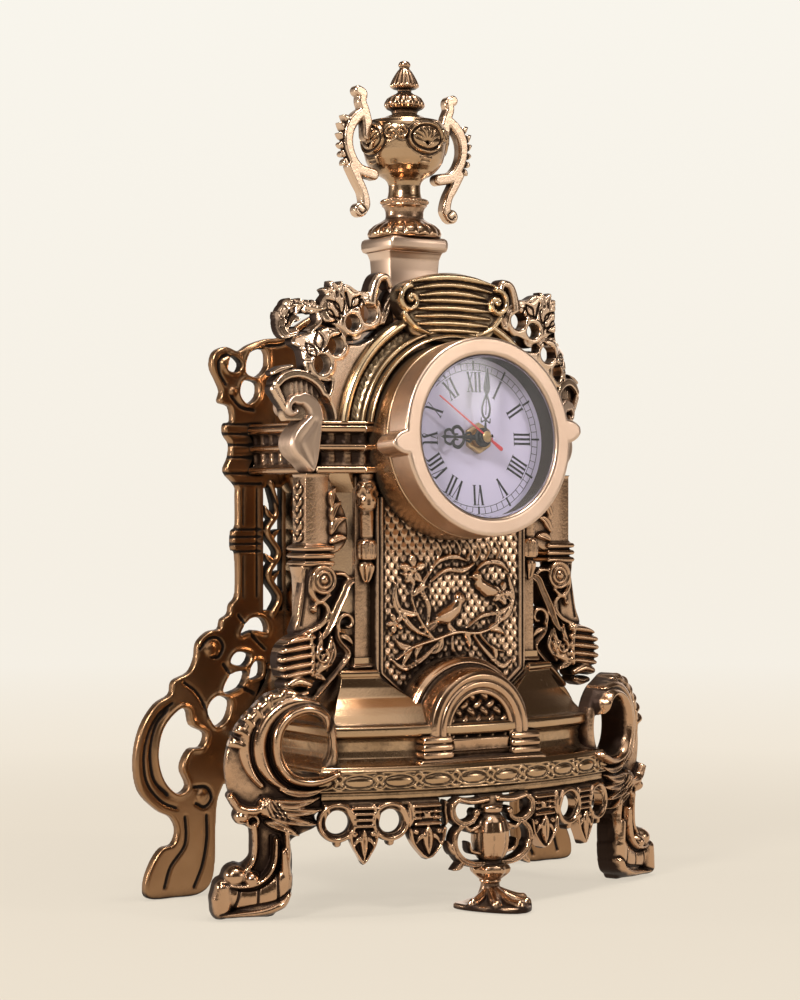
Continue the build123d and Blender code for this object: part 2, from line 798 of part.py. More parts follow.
def back_plate():
    left = make_face(
        [Line(*r) if len(r) == 2 else Spline(*r) for r in back_outline_left()]
        + [Line((0, base_bottom), (0, 272))]
    )
    holes = [
        outline([
            (-103, 84), (-110.5, 76), (-113, 64), (-110, 53), (-103, 46.5), (-98, 50), (-101, 58),
            (-97, 66), (-91, 67), (-89, 73), (-96, 77), (-98, 84), (-103, 84),
        ]),
        outline([(-71, 117), (-66, 124), (-59, 124), (-57, 118), (-64, 119), (-71, 117)]),
        outline([(-80, 91), (-76, 99), (-68, 100), (-71, 93), (-80, 91)]),
        outline([(-88, 84), (-83, 89.5), (-76, 87), (-78, 79), (-84, 76), (-88, 84)]),
        outline([(-67, 97), (-64, 104), (-60, 104), (-60.5, 98), (-67, 97)]),
        outline([(-76, 104.5), (-73, 109), (-66, 108), (-69, 103), (-76, 104.5)]),
        outline([(-77.5, 238), (-75.5, 244), (-71, 241), (-72.5, 237), (-77.5, 238)]),
        outline([(-68, 237), (-66, 245.5), (-58, 247.5), (-57, 240), (-62, 235), (-68, 237)]),
        outline([(-71, 227), (-69, 233), (-62, 232), (-62, 226), (-67, 222.5), (-71, 227)]),
        Pos(-54, 156) * Rectangle(9.6, 56),
    ]
    vine = stroke(
        [(-54, 126), (-50.5, 134), (-56.5, 144), (-51, 154), (-57, 164), (-52, 173), (-55, 186)],
        3.6, 3.0, 24,
    )
    front = back_plate_face
    back = back_plate_face + back_plate_thick
    half = plate(left, front, back)
    for hole in holes:
        half -= plate(hole, front - 1, back + 1)
    half += plate(vine, front, back)
    body = half + mirrored(half)
    body -= plate(disc(0, arch_centre_z, access_radius), front - 1, back + 1)
    return body


def pedestal(case):
    height = abacus_bottom - arch_centre_z - case_arch_radius + 8
    block = Pos(0, 0, abacus_bottom - height / 2) * Box(pedestal_width, pedestal_depth, height)
    foot_z = 272.0
    plinth = Pos(0, 0, (foot_z + abacus_bottom - height) / 2) * Box(
        pedestal_width + 4, pedestal_depth + 4, foot_z - (abacus_bottom - height)
    )
    block += plinth
    block -= Pos(0, 0, arch_centre_z) * Rot(90, 0, 0) * Cylinder(case_arch_radius, 200)
    return bored(block)


def abacus():
    top = Pos(0, 0, abacus_bottom + abacus_height / 2) * Box(abacus_width, abacus_depth, abacus_height)
    top = fillet(top.edges().filter_by(Axis.Z), 2.0)
    top = fillet(top.faces().sort_by(Axis.Z)[-1].edges(), 1.2)
    return bored(top)


def rod_hole(fit=rod_fit):
    return rod(rod_radius + fit, 0, urn_top + 1)


def bored(body):
    return body - rod_hole()


def urn_foot():
    z = urn_foot_bottom
    top = z + urn_foot_height
    ring_top = z + urn_foot_height + urn_stem_height
    radius = urn_foot_radius
    return bored(spun([
        (0, z), (radius - 0.5, z), (radius, z + 1.5), (radius - 1.2, z + 4), (radius - 4.2, z + 6.8),
        (urn_stem_radius + 0.5, top), (urn_stem_radius - 0.8, top + 2), (urn_stem_radius - 0.6, top + 5),
        (urn_stem_radius, ring_top - 4), (urn_ring_radius, ring_top - 3.5),
        (urn_ring_radius + 0.3, ring_top - 1.8), (urn_ring_radius, ring_top), (0, ring_top),
    ]))


def urn_bowl():
    """Waisted bowl with a flat shoulder, from fractions of its radius at each height."""
    z = urn_bowl_bottom
    radius = urn_bowl_radius
    profile = [
        (0, z), (urn_stem_radius - 0.5, z), (urn_waist_radius, z + 2), (urn_waist_radius, z + 6),
        (urn_waist_radius + 1.6, z + 8.5), (urn_waist_radius + 4, z + 10.5),
    ]
    top = urn_lid_bottom
    shoulder = (
        (0.74, 26.4), (0.86, 23.5), (0.935, 20), (0.98, 15), (1, 10.5), (0.98, 7.5), (0.86, 5),
        (0.66, 2.8), (0.52, 1.8), (0.44, 1),
    )
    for part, below in shoulder:
        profile.append((radius * part, top - below))
    return bored(spun(profile + [(urn_neck_radius, top), (0, top)]))


def urn_lid():
    z = urn_lid_bottom
    top = urn_finial_bottom
    radius = urn_lid_radius
    return bored(spun([
        (0, z), (urn_neck_radius - 0.2, z), (urn_neck_radius + 0.2, z + 1.4), (radius, z + 3.2),
        (radius - 0.3, z + 5.4), (radius * 0.76, top - 2.3), (radius * 0.48, top - 0.9), (3.2, top), (0, top),
    ]))


def urn_finial():
    """Fluted bud with a ball at its tip, with a blind hole for the tie rod."""
    z = urn_finial_bottom
    radius = finial_radius
    body = spun([
        (0, z), (3.4, z), (3.6, z + 1.0), (radius - 0.1, z + 2.0), (radius, z + 3.2),
        (radius * 0.7, z + 7.5),
        (radius * 0.43, urn_top - 3.5), (radius * 0.43, urn_top - 2.1), (radius * 0.33, urn_top - 0.6),
        (0, urn_top),
    ])
    return body - rod(rod_radius + rod_fit, z - 1, z + rod_in_finial + 1)


def beside_urn(points):
    """Points given as distances out from the bowl's widest place and down from its top."""
    return [(-urn_bowl_radius - out, urn_lid_bottom - down) for out, down in points]


def urn_handle_left(bowl):
    """S-shaped handle with a scrolled top, a leafed outer edge and a curled tail."""
    tail = beside_urn([(5.8, 45.8)])[0]
    horn = beside_urn([(5.6, -9.6)])[0]
    faces = [
        stroke(beside_urn([(1.2, 5), (2.2, -1), (4, -7), (5, -11)]), 5.6, 7.5),
        stroke(beside_urn([(2.6, 2.2), (8.2, 6), (11.2, 13.5), (10.4, 21.5), (5.8, 28), (-3, 27.5)]), 5.4, 4.6),
        outline(
            beside_urn([(9, 4.2), (15.5, 6), (18, 13.5), (16, 18)]),
            beside_urn([(16, 18), (18.4, 23.5), (15, 28.5), (11, 28.5)]),
            beside_urn([(11, 28.5), (13.4, 19.5), (13, 12.5), (9, 4.2)]),
        ),
        stroke(beside_urn([(11, 24.5), (8.2, 31.5), (3.8, 39.5), (1.8, 44.5), (5, 47)]), 4.6, 5.2),
        disc(*tail, 3.6),
        disc(*horn, 3.9),
    ]
    body = None
    half = handle_thick / 2
    for face in faces:
        piece = plate(face, -half, half)
        body = piece if body is None else body + piece
    body -= bowl
    return body.solids().sort_by(SortBy.VOLUME)[-1]


def rod_seat():
    """Height of the flat washer under the top of the case's arch."""
    inside = case_arch_radius - case_wall
    return arch_centre_z + sqrt(inside * inside - rod_washer_radius * rod_washer_radius) - joint_gap


def urn_rod():
    """Tie rod from inside the case up into the finial, with a nut that pulls the stack together."""
    low = rod_seat() - rod_washer_thick - rod_nut_height - rod_end
    return rod(rod_radius, low, urn_finial_bottom + rod_in_finial)


def urn_nut():
    seat = rod_seat()
    low = seat - rod_washer_thick
    nut = Pos(0, 0, low - rod_nut_height) * extrude(RegularPolygon(rod_nut_radius, 6), rod_nut_height)
    washer = rod(rod_washer_radius, low, seat)
    return (nut + washer) - rod_hole(joint_gap)


def lug_face():
    """One pointed lug of the bezel, on the right of the ring."""
    half = lug_height / 2
    root = bezel_radius - 3
    side = bezel_radius + 1.5
    return outline(
        [(root, -half - 1.5), (side, -half + 0.6), (lug_reach - 0.8, -1.5), (lug_reach, 0)],
        [(lug_reach, 0), (lug_reach - 0.8, 1.5), (side, half - 0.6), (root, half + 1.5)],
        [(root, half + 1.5), (root, -half - 1.5)],
    )


def bezel_ring():
    back = bezel_face - bezel_depth
    body = ring(bezel_radius, bezel_bore_radius, back, bezel_face - bezel_lip)
    body += ring(bezel_radius, bezel_opening_radius, bezel_face - bezel_lip, bezel_face)
    for side in (0, 180):
        lug = Pos(0, 0, back) * extrude(lug_face(), bezel_depth)
        lug -= rod(bezel_radius - 1, back - 1, bezel_face + 1)
        body += Rot(0, 0, side + lug_turn) * lug
    return dial_place() * body


def drum():
    back = bezel_face - bezel_depth
    inner = bezel_radius - drum_wall
    body = ring(bezel_radius, inner, -30, back)
    spigot_outer = bezel_bore_radius - running_gap
    body += ring(inner + 1, spigot_outer - spigot_wall, back - 2, back)
    body += ring(spigot_outer, spigot_outer - spigot_wall, back - 2, -dial_thick)
    body = dial_place() * body
    return body & Pos(0, case_front - 100, dial_centre_z) * Box(200, 200, 200)


def dial_glass():
    """Domed glass held behind the bezel's lip."""
    radius = bezel_bore_radius - retainer_fit
    seat = bezel_face - bezel_lip - joint_gap
    opening = bezel_opening_radius - 0.3
    sphere = (opening * opening + glass_rise * glass_rise) / (2 * glass_rise)
    inner_sphere = sphere - glass_thick
    centre = seat + glass_rise - sphere
    low = seat - glass_thick
    solid = rod(opening, low, seat + glass_rise) & Pos(0, 0, centre) * Sphere(sphere)
    solid += rod(radius, low, seat)
    solid -= rod(opening - 1, low - 10, low + glass_rise + 1) & Pos(0, 0, centre) * Sphere(inner_sphere)
    return dial_place() * solid


def glass_retainer():
    """Sleeve behind the glass that holds it against the lip and is the wall seen round the dial."""
    top = bezel_face - bezel_lip - glass_thick - 2 * joint_gap
    outer = bezel_bore_radius - retainer_fit
    return dial_place() * ring(outer, retainer_radius, 0.15, top)


def dial():
    radius = bezel_bore_radius - 2 * dial_fit
    return dial_place() * ring(radius, bushing_radius + 0.1, -dial_thick, 0)


def movement_front_level():
    return -dial_thick - washer_thick


def rubber_washer():
    return dial_place() * ring(9.0, bushing_radius + 0.1, -dial_thick - washer_thick, -dial_thick)


def nut_washer():
    return dial_place() * ring(nut_washer_radius, bushing_radius + 0.1, 0, nut_washer_thick)


def hex_nut():
    across = nut_across_flats / 2 / cos(pi / 6)
    nut = Pos(0, 0, nut_washer_thick) * extrude(RegularPolygon(across, 6), nut_height)
    return dial_place() * (nut - rod(bushing_radius + 0.02, -5, 10))


def layer(depth):
    """The level, along the dial's axis, of a depth behind the movement's front face."""
    return movement_front_level() - depth


def bearing(distance, angle, x=0.0, y=0.0):
    return x + distance * cos(radians(angle)), y + distance * sin(radians(angle))


def bearings():
    third = bearing(third_distance, third_bearing_angle)
    step = bearing(step_distance, step_bearing_angle)
    rotor_at = bearing(rotor_distance, rotor_bearing_angle, *step)
    motion = bearing(motion_distance, motion_bearing_angle)
    return {"third": third, "step": step, "rotor": rotor_at, "motion": motion}


def gear_outline(teeth, module, phase):
    """Straight-sided teeth, thinned for backlash, with one tooth centred on the phase angle."""
    pitch_radius = teeth * module / 2
    tip = pitch_radius + 0.80 * module
    root = pitch_radius - 1.10 * module
    half_pitch = (0.5 - tooth_thinning) * pi / teeth
    tip_half = half_pitch * (0.52 if teeth > 20 else 0.50)
    root_half = half_pitch * (1.62 if teeth > 20 else 1.40)
    points = []
    for i in range(teeth):
        middle = radians(phase) + 2 * pi * i / teeth
        for radius, angle in ((root, -root_half), (tip, -tip_half), (tip, tip_half), (root, root_half)):
            points.append((radius * cos(middle + angle), radius * sin(middle + angle)))
    return make_face(Polyline(*points, close=True))


def mesh_phase(phase, teeth, direction, other_teeth):
    """The phase that puts a gap of the other gear opposite a tooth of this one."""
    fraction = ((direction - phase) * teeth / 360.0) % 1.0
    return direction + 180.0 - (0.5 - fraction) * 360.0 / other_teeth


def gear(teeth, module, phase, depth, thick, x=0.0, y=0.0):
    return Pos(x, y, layer(depth + thick)) * extrude(gear_outline(teeth, module, phase), thick)


def train_phases():
    """Every gear's phase, followed through the train from the centre wheel."""
    centre_to_third = mesh_phase(0.0, centre_wheel_teeth, third_bearing_angle, third_pinion_teeth)
    third_wheel_phase = 0.0
    seconds_pinion = mesh_phase(
        third_wheel_phase, third_wheel_teeth, third_bearing_angle + 180.0, seconds_pinion_teeth
    )
    seconds_wheel_phase = 0.0
    step_pinion = mesh_phase(
        seconds_wheel_phase, seconds_wheel_teeth, step_bearing_angle, step_pinion_teeth
    )
    step_wheel_phase = 0.0
    rotor_pinion = mesh_phase(step_wheel_phase, step_wheel_teeth, rotor_bearing_angle, rotor_teeth)
    minute_wheel_phase = mesh_phase(0.0, cannon_teeth, motion_bearing_angle, minute_wheel_teeth)
    hour_phase = mesh_phase(0.0, minute_pinion_teeth, motion_bearing_angle + 180.0, hour_wheel_teeth)
    return {
        "third_pinion": centre_to_third,
        "third_wheel": third_wheel_phase,
        "seconds_pinion": seconds_pinion,
        "seconds_wheel": seconds_wheel_phase,
        "step_pinion": step_pinion,
        "step_wheel": step_wheel_phase,
        "rotor": rotor_pinion,
        "minute_wheel": minute_wheel_phase,
        "hour_wheel": hour_phase,
    }


def pair_module(distance, first_teeth, second_teeth):
    return 2 * distance / (first_teeth + second_teeth)


def arbor(low_depth, high_depth, x, y, radius=arbor_radius):
    return rod(radius, layer(high_depth), layer(low_depth), x, y)


def centre_wheel():
    """Centre wheel with its pipe and cannon pinion, which carry the minute hand."""
    module = pair_module(third_distance, centre_wheel_teeth, third_pinion_teeth)
    cannon = pair_module(motion_distance, cannon_teeth, minute_wheel_teeth)
    body = gear(centre_wheel_teeth, module, 0.0, centre_layer, gear_thick)
    body += gear(cannon_teeth, cannon, 0.0, motion_layer - 0.1, pinion_thick)
    body += rod(minute_pipe_radius, layer(centre_layer + gear_thick), minute_hand_level + hand_thick + 0.4)
    body += rod(1.9, layer(centre_layer + 0.2), layer(motion_layer + pinion_thick - 0.3))
    body -= rod(seconds_arbor_radius + running_gap, -60, 60)
    return dial_place() * body


def hour_wheel(phases):
    """Hour wheel with the pipe that carries the hour hand."""
    module = pair_module(motion_distance, minute_pinion_teeth, hour_wheel_teeth)
    body = gear(hour_wheel_teeth, module, phases["hour_wheel"], hour_layer, gear_thick)
    body += rod(hour_pipe_radius, layer(hour_layer + gear_thick), hour_hand_level + hand_thick + 0.3)
    body -= rod(minute_pipe_radius + running_gap, -60, 60)
    return dial_place() * body


def minute_wheel(phases, places):
    """Motion-work wheel and pinion on the arbor that the setting knob turns."""
    x, y = places["motion"]
    module = pair_module(motion_distance, cannon_teeth, minute_wheel_teeth)
    pinion = pair_module(motion_distance, minute_pinion_teeth, hour_wheel_teeth)
    body = gear(minute_wheel_teeth, module, phases["minute_wheel"], motion_layer + 0.1, gear_thick, x, y)
    body += gear(minute_pinion_teeth, pinion, 0.0, hour_layer - 0.2, motion_layer - hour_layer + 0.4, x, y)
    body += arbor(0.6, movement_depth + 0.8, x, y)
    return dial_place() * body


def set_knob(places):
    x, y = places["motion"]
    low = layer(movement_depth + 0.4 + knob_height)
    body = Pos(x, y, low) * extrude(Circle(knob_radius), knob_height)
    for i in range(18):
        angle = radians(20 * i)
        nick_x = x + (knob_radius + 0.25) * cos(angle)
        nick_y = y + (knob_radius + 0.25) * sin(angle)
        body -= rod(0.5, low - 1, low + knob_height + 1, nick_x, nick_y)
    body -= arbor(movement_depth - 1, movement_depth + 0.8, x, y, arbor_radius)
    return dial_place() * body


def third_wheel(phases, places):
    x, y = places["third"]
    wheel = pair_module(third_distance, third_wheel_teeth, seconds_pinion_teeth)
    pinion = pair_module(third_distance, centre_wheel_teeth, third_pinion_teeth)
    body = gear(third_wheel_teeth, wheel, phases["third_wheel"], third_layer, gear_thick, x, y)
    body += gear(
        third_pinion_teeth, pinion, phases["third_pinion"], centre_layer - 0.2,
        third_layer - centre_layer + 0.3, x, y,
    )
    body += arbor(0.6, movement_depth - 0.6, x, y)
    return dial_place() * body


def seconds_wheel(phases):
    wheel = pair_module(step_distance, seconds_wheel_teeth, step_pinion_teeth)
    pinion = pair_module(third_distance, third_wheel_teeth, seconds_pinion_teeth)
    body = gear(seconds_wheel_teeth, wheel, phases["seconds_wheel"], seconds_layer, gear_thick)
    body += gear(
        seconds_pinion_teeth, pinion, phases["seconds_pinion"], third_layer - 0.2,
        seconds_layer - third_layer + 0.3,
    )
    body += rod(seconds_arbor_radius, layer(movement_depth - 0.6), seconds_hand_level + hand_thick)
    return dial_place() * body


def step_wheel(phases, places):
    """Wheel between the rotor and the seconds wheel."""
    x, y = places["step"]
    wheel = pair_module(rotor_distance, rotor_teeth, step_wheel_teeth)
    pinion = pair_module(step_distance, seconds_wheel_teeth, step_pinion_teeth)
    body = gear(step_wheel_teeth, wheel, phases["step_wheel"], step_layer, gear_thick, x, y)
    body += gear(
        step_pinion_teeth, pinion, phases["step_pinion"], seconds_layer - 0.2,
        step_layer - seconds_layer + 0.3, x, y,
    )
    body += arbor(0.6, movement_depth - 0.6, x, y)
    return dial_place() * body


def rotor(phases, places):
    x, y = places["rotor"]
    module = pair_module(rotor_distance, rotor_teeth, step_wheel_teeth)
    body = gear(rotor_teeth, module, phases["rotor"], step_layer - 0.2, 1.9, x, y)
    body += rod(rotor_radius, layer(rotor_layer + 2.4), layer(rotor_layer), x, y)
    body += arbor(6.0, movement_depth - 0.6, x, y)
    return dial_place() * body


def stator(places):
    """Two-armed stator plate around the rotor, with the core that runs through the coil."""
    x, y = places["rotor"]
    low = layer(coil_depth + 1)
    thick = 1.0
    yoke = coil_y - coil_radius - 1.6
    body = rod(rotor_radius + 2.6, low, low + thick, x, y)
    reach = coil_length + 6.4
    body += Pos(coil_x, yoke, low + thick / 2) * Box(reach, 2, thick)
    for side in (-1, 1):
        arm = Pos(coil_x + side * (reach / 2 - 1.5), (yoke + coil_y) / 2, low + thick / 2)
        body += arm * Box(3, coil_y - yoke + 2, thick)
    core = Rot(0, 90, 0) * Cylinder(coil_bore_radius - joint_gap, reach - 1)
    body += Pos(coil_x, coil_y, layer(coil_depth)) * core
    body -= rod(rotor_radius + 0.4, low - 1, low + 2, x, y)
    return dial_place() * body


def coil():
    turns = Rot(0, 90, 0) * Cylinder(coil_radius, coil_length)
    turns -= Rot(0, 90, 0) * Cylinder(coil_bore_radius, coil_length + 2)
    return dial_place() * (Pos(coil_x, coil_y, layer(coil_depth)) * turns)


def circuit_board():
    low = layer(rotor_layer + 1.7)
    body = Pos(-17, 18.5, low + 0.5) * Box(15, 14, 1.0)
    body += Pos(-18, 18.5, low + 1.4) * Box(4.6, 4.6, 0.9)
    return dial_place() * body


def rounded_block(size, low, high, corner):
    face = RectangleRounded(size, size, corner)
    return Pos(0, 0, low) * extrude(face, high - low)


def movement_shell(low_depth, high_depth, closed_end):
    """Half of the movement's case: a shallow tray with its floor at one end."""
    low = layer(high_depth)
    high = layer(low_depth)
    body = rounded_block(movement_size, low, high, movement_corner)
    room = movement_size - 2 * movement_wall
    floor = movement_wall
    if closed_end == "front":
        body -= rounded_block(room, low - 1, high - floor, movement_corner - movement_wall)
    else:
        body -= rounded_block(room, low + floor, high + 1, movement_corner - movement_wall)
    wall_y = -battery_drop + battery_radius + battery_gap + bay_wall / 2
    body += Pos(0, wall_y, (low + high) / 2) * Box(room + 1, bay_wall, high - low)
    return body


def bearing_holes(body, places, low, high):
    for name in ("third", "step", "motion"):
        x, y = places[name]
        body -= rod(arbor_radius + running_gap, low, high, x, y)
    return body


def movement_front(places):
    """Front half of the movement's case, with the threaded bushing's seat."""
    body = movement_shell(0, movement_split, "front")
    body -= rod(hour_pipe_radius + 0.5, -60, 60)
    body -= rod(bushing_radius + 1.5, layer(0.6), layer(-1))
    body = bearing_holes(body, places, layer(movement_wall + 1), layer(0.3))
    return dial_place() * body


def movement_back(places):
    """Rear half of the movement's case, open behind the battery."""
    body = movement_shell(movement_split, movement_depth, "back")
    floor_low = layer(movement_depth)
    bay = Pos(0, -battery_drop, floor_low) * Box(
        battery_length + 1.6, 2 * (battery_radius + battery_gap), 6
    )
    body -= bay
    for name in ("third", "step", "rotor"):
        x, y = places[name]
        body -= rod(arbor_radius + running_gap, layer(movement_depth - 0.3), layer(movement_split), x, y)
    x, y = places["motion"]
    body -= rod(arbor_radius + running_gap, floor_low - 1, layer(movement_split), x, y)
    body -= rod(seconds_arbor_radius + running_gap, layer(movement_depth - 0.3), layer(movement_split))
    return dial_place() * body


def bushing():
    """Threaded bushing that clamps the dial to the movement."""
    body = rod(bushing_radius, layer(0.6), bushing_length)
    body += rod(bushing_radius + 1.5 - joint_gap, layer(0.6), layer(0))
    body -= rod(hour_pipe_radius + running_gap, -60, 60)
    return dial_place() * body


def battery_level():
    return layer(movement_depth - battery_radius - 0.2)


def battery():
    body = Rot(0, 90, 0) * Cylinder(battery_radius, battery_length - 1.2)
    tip = Rot(0, 90, 0) * Cylinder(2.7, 1.2)
    body = Pos(-0.6, 0, 0) * body + Pos(battery_length / 2 - 0.6, 0, 0) * tip
    return dial_place() * (Pos(0, -battery_drop, battery_level()) * body)


def battery_contacts():
    """Two sprung strips, one at each end of the battery."""
    strips = []
    inside = movement_size / 2 - movement_wall
    for side in (-1, 1):
        x = side * (inside - contact_thick / 2)
        strips.append(Pos(x, -battery_drop, battery_level()) * Box(contact_thick, 9, 9))
    return dial_place() * Compound(children=strips)


def hand_at(face, angle, level):
    """A flat hand, drawn pointing to twelve, turned to its hour and set at its level."""
    body = Pos(0, 0, level) * extrude(face, hand_thick)
    return Rot(0, 0, -angle) * body


def hour_hand():
    length = hour_hand_length
    face = Circle(hour_pipe_radius + 1.6)
    face += Pos(0, 5.5) * Rectangle(1.6, 5)
    for side in (-1, 1):
        face += Pos(side * 2.5, 9.6) * (Circle(2.5) - Circle(1.5))
        face += Pos(side * 1.7, 14.2) * (Circle(1.9) - Circle(1.0))
    face += Pos(0, 12) * Rectangle(1.3, 9)
    face += make_face(Polyline((-1.5, 16), (0, length), (1.5, 16), (0, 14.8), close=True))
    face -= Circle(hour_pipe_radius)
    return dial_place() * hand_at(face, hour_hand_angle, hour_hand_level)


def minute_hand():
    length = minute_hand_length
    face = Circle(minute_pipe_radius + 1.7)
    face += Pos(0, 5.0) * Rectangle(1.4, 6)
    loop = outline(
        [(0, 7), (2.3, 10.5), (2.1, 14.5), (0, 20)],
        [(0, 20), (-2.1, 14.5), (-2.3, 10.5), (0, 7)],
    )
    eye = outline(
        [(0, 8.6), (1.3, 11), (1.2, 14), (0, 17.6)],
        [(0, 17.6), (-1.2, 14), (-1.3, 11), (0, 8.6)],
    )
    face += loop - eye
    face += make_face(Polyline((-0.6, 19), (-1.7, 22.5), (0, length), (1.7, 22.5), (0.6, 19), close=True))
    face -= Circle(minute_pipe_radius)
    return dial_place() * hand_at(face, minute_hand_angle, minute_hand_level)


def seconds_hand():
    """Thin seconds hand with its tail and the round cap over its hub."""
    tail = seconds_tail_length
    face = make_face(Polyline(
        (-0.75, -tail), (-0.35, 0), (-0.2, seconds_hand_length), (0.2, seconds_hand_length),
        (0.35, 0), (0.75, -tail), close=True,
    ))
    body = hand_at(face, seconds_hand_angle, seconds_hand_level)
    low = seconds_hand_level
    body += rod(cap_radius - 0.6, low - 0.4, low)
    body += rod(cap_radius, low, low + cap_height - 0.4)
    body += rod(cap_radius - 0.5, low + cap_height - 0.4, low + cap_height)
    body -= rod(seconds_arbor_radius, low - 1, low + hand_thick)
    return dial_place() * body


def screw(x, z):
    """Pan-head screw from behind the back plate into the casting in front of it."""
    face = back_plate_face + back_plate_thick
    head = plate(disc(x, z, screw_head_radius), face, face + screw_head_height)
    shank = plate(disc(x, z, screw_radius), face - screw_length, face + 0.5)
    slot = Pos(x, face + screw_head_height, z) * Box(2 * screw_head_radius, 1.2, 0.7)
    return head + shank - slot


def back_screw_places():
    inset = case_half_width - case_wall / 2
    places = []
    for side in (-1, 1):
        places.append((side * (base_half_width - base_wall / 2 - 0.2), 60.0))
        places.append((side * (base_half_width - base_wall / 2 - 0.2), 72.0))
        places.append((side * 58.0, (cornice_bottom + cornice_top) / 2))
    places.append((inset - 8, 94.0))
    places.append((-inset + 8, 94.0))
    return places


def back_screws():
    return Compound(children=[screw(x, z) for x, z in back_screw_places()])


def screw_clearance(grow=0.0):
    face = back_plate_face + back_plate_thick
    holes = None
    for x, z in back_screw_places():
        hole = plate(disc(x, z, screw_radius + grow), face - screw_length - 1, face + 1)
        holes = hole if holes is None else holes + hole
    return holes


def main():
    os.makedirs("parts", exist_ok=True)
    holes = screw_clearance(joint_gap)
    base = base_body(leg_block(leg_outline()), arch_space()) - holes
    case = case_body()
    hood = hood_arch()
    cornice = cornice_left(hood, case)
    top = pediment(hood, case)
    crest = cresting_left(hood, case, cornice, top)
    leg = front_leg_left()
    apron = apron_left()
    frame = side_frame_left() - base - leg - case - cornice
    frame = frame.solids().sort_by(SortBy.VOLUME)[-1]
    bowl = urn_bowl()
    handle = urn_handle_left(bowl)
    places = bearings()
    phases = train_phases()

    export("base_body", base)
    export("case_body", case)
    export("hood_arch", hood)
    export("pediment", top)
    export("relief_panel", relief_panel() - arch_space())
    export("arch_surround", arch_surround())
    export("arch_grille", arch_grille())
    export("cornice_left", cornice - holes)
    export("cornice_right", mirrored(cornice) - holes)
    export("cresting_left", crest)
    export("cresting_right", mirrored(crest))
    export("side_frame_left", frame)
    export("side_frame_right", mirrored(frame))
    export("front_leg_left", leg)
    export("front_leg_right", mirrored(leg))
    export("apron_left", apron)
    export("apron_right", mirrored(apron))
    export("centre_foot", centre_foot())
    export("back_plate", back_plate() - holes)
    export("back_screws", back_screws())
    export("pedestal", pedestal(case) - top)
    export("abacus", abacus())
    export("urn_foot", urn_foot())
    export("urn_bowl", bowl)
    export("urn_lid", urn_lid())
    export("urn_finial", urn_finial())
    export("urn_handle_left", handle)
    export("urn_handle_right", mirrored(handle))
    export("urn_rod", urn_rod())
    export("urn_nut", urn_nut())
    export("drum", drum())
    export("bezel_ring", bezel_ring())
    export("dial_glass", dial_glass())
    export("glass_retainer", glass_retainer())
    export("dial", dial())
    export("rubber_washer", rubber_washer())
    export("nut_washer", nut_washer())
    export("hex_nut", hex_nut())
    export("bushing", bushing())
    export("hour_hand", hour_hand())
    export("minute_hand", minute_hand())
    export("seconds_hand", seconds_hand())
    export("movement_front", movement_front(places))
    export("movement_back", movement_back(places))
    export("centre_wheel", centre_wheel())
    export("hour_wheel", hour_wheel(phases))
    export("minute_wheel", minute_wheel(phases, places))
    export("set_knob", set_knob(places))
    export("third_wheel", third_wheel(phases, places))
    export("seconds_wheel", seconds_wheel(phases))
    export("step_wheel", step_wheel(phases, places))
    export("rotor", rotor(phases, places))
    export("stator", stator(places))
    export("coil", coil())
    export("circuit_board", circuit_board())
    export("battery", battery())
    export("battery_contacts", battery_contacts())


main()
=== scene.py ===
import json
from math import asin, cos, hypot, pi, radians, sin, sqrt, tau

import bpy
import numpy as np
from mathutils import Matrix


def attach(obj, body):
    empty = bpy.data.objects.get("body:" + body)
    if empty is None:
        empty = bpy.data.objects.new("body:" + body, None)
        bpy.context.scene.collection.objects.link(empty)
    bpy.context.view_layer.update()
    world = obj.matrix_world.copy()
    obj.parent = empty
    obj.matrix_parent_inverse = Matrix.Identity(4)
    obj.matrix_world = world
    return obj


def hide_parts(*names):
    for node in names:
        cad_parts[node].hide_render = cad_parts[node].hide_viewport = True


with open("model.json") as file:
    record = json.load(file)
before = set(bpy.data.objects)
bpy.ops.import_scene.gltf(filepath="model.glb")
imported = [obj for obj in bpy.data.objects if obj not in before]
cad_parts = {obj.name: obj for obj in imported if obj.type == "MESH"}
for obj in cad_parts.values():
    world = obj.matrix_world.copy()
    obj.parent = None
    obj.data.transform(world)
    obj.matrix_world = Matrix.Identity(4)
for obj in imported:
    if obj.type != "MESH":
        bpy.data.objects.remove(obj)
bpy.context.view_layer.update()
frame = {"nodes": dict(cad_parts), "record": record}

import openvdb
from mathutils import Vector

print("frame loaded")

# Pieces are drawn in millimetres about the urn's upright axis, facing -Y, and moved back as they are made
frontShift = 29.1
panelFace = -38.0
backFace = 28.0
archCentre = 206.5
bow = {"radius": 183.0, "front": -69.0, "halfWidth": 78.0}


def toScene(points):
    points = np.asarray(points, float) + np.array([0.0, frontShift, 0.0])
    points[..., 2] = np.maximum(points[..., 2], 0.0)  # nothing goes below the table
    return points / 1000.0


def smoothPath(points, perSpan=8, closed=False):
    # a smooth curve that passes through all the points
    p = np.asarray(points, float)
    if closed:
        ext = np.vstack([p[-1], p, p[0], p[1]])
    else:
        ext = np.vstack([2 * p[0] - p[1], p, 2 * p[-1] - p[-2]])
    t = np.linspace(0, 1, perSpan, endpoint=False)[:, None]
    out = []
    for i in range(len(ext) - 3):
        a, b, c, d = ext[i:i + 4]
        out.append(0.5 * (2 * b + (c - a) * t + (2 * a - 5 * b + 4 * c - d) * t ** 2
                          + (3 * b - a - 3 * c + d) * t ** 3))
    out = np.vstack(out)
    return out if closed else np.vstack([out, p[-1]])


def curl(u, v, r0, r1, a0, a1, count=14):
    # a spiral, with angles in degrees
    t = np.linspace(0, 1, count)
    a = np.radians(a0 + (a1 - a0) * t)
    r = r0 + (r1 - r0) * t
    return np.stack([u + r * np.cos(a), v + r * np.sin(a)], 1)


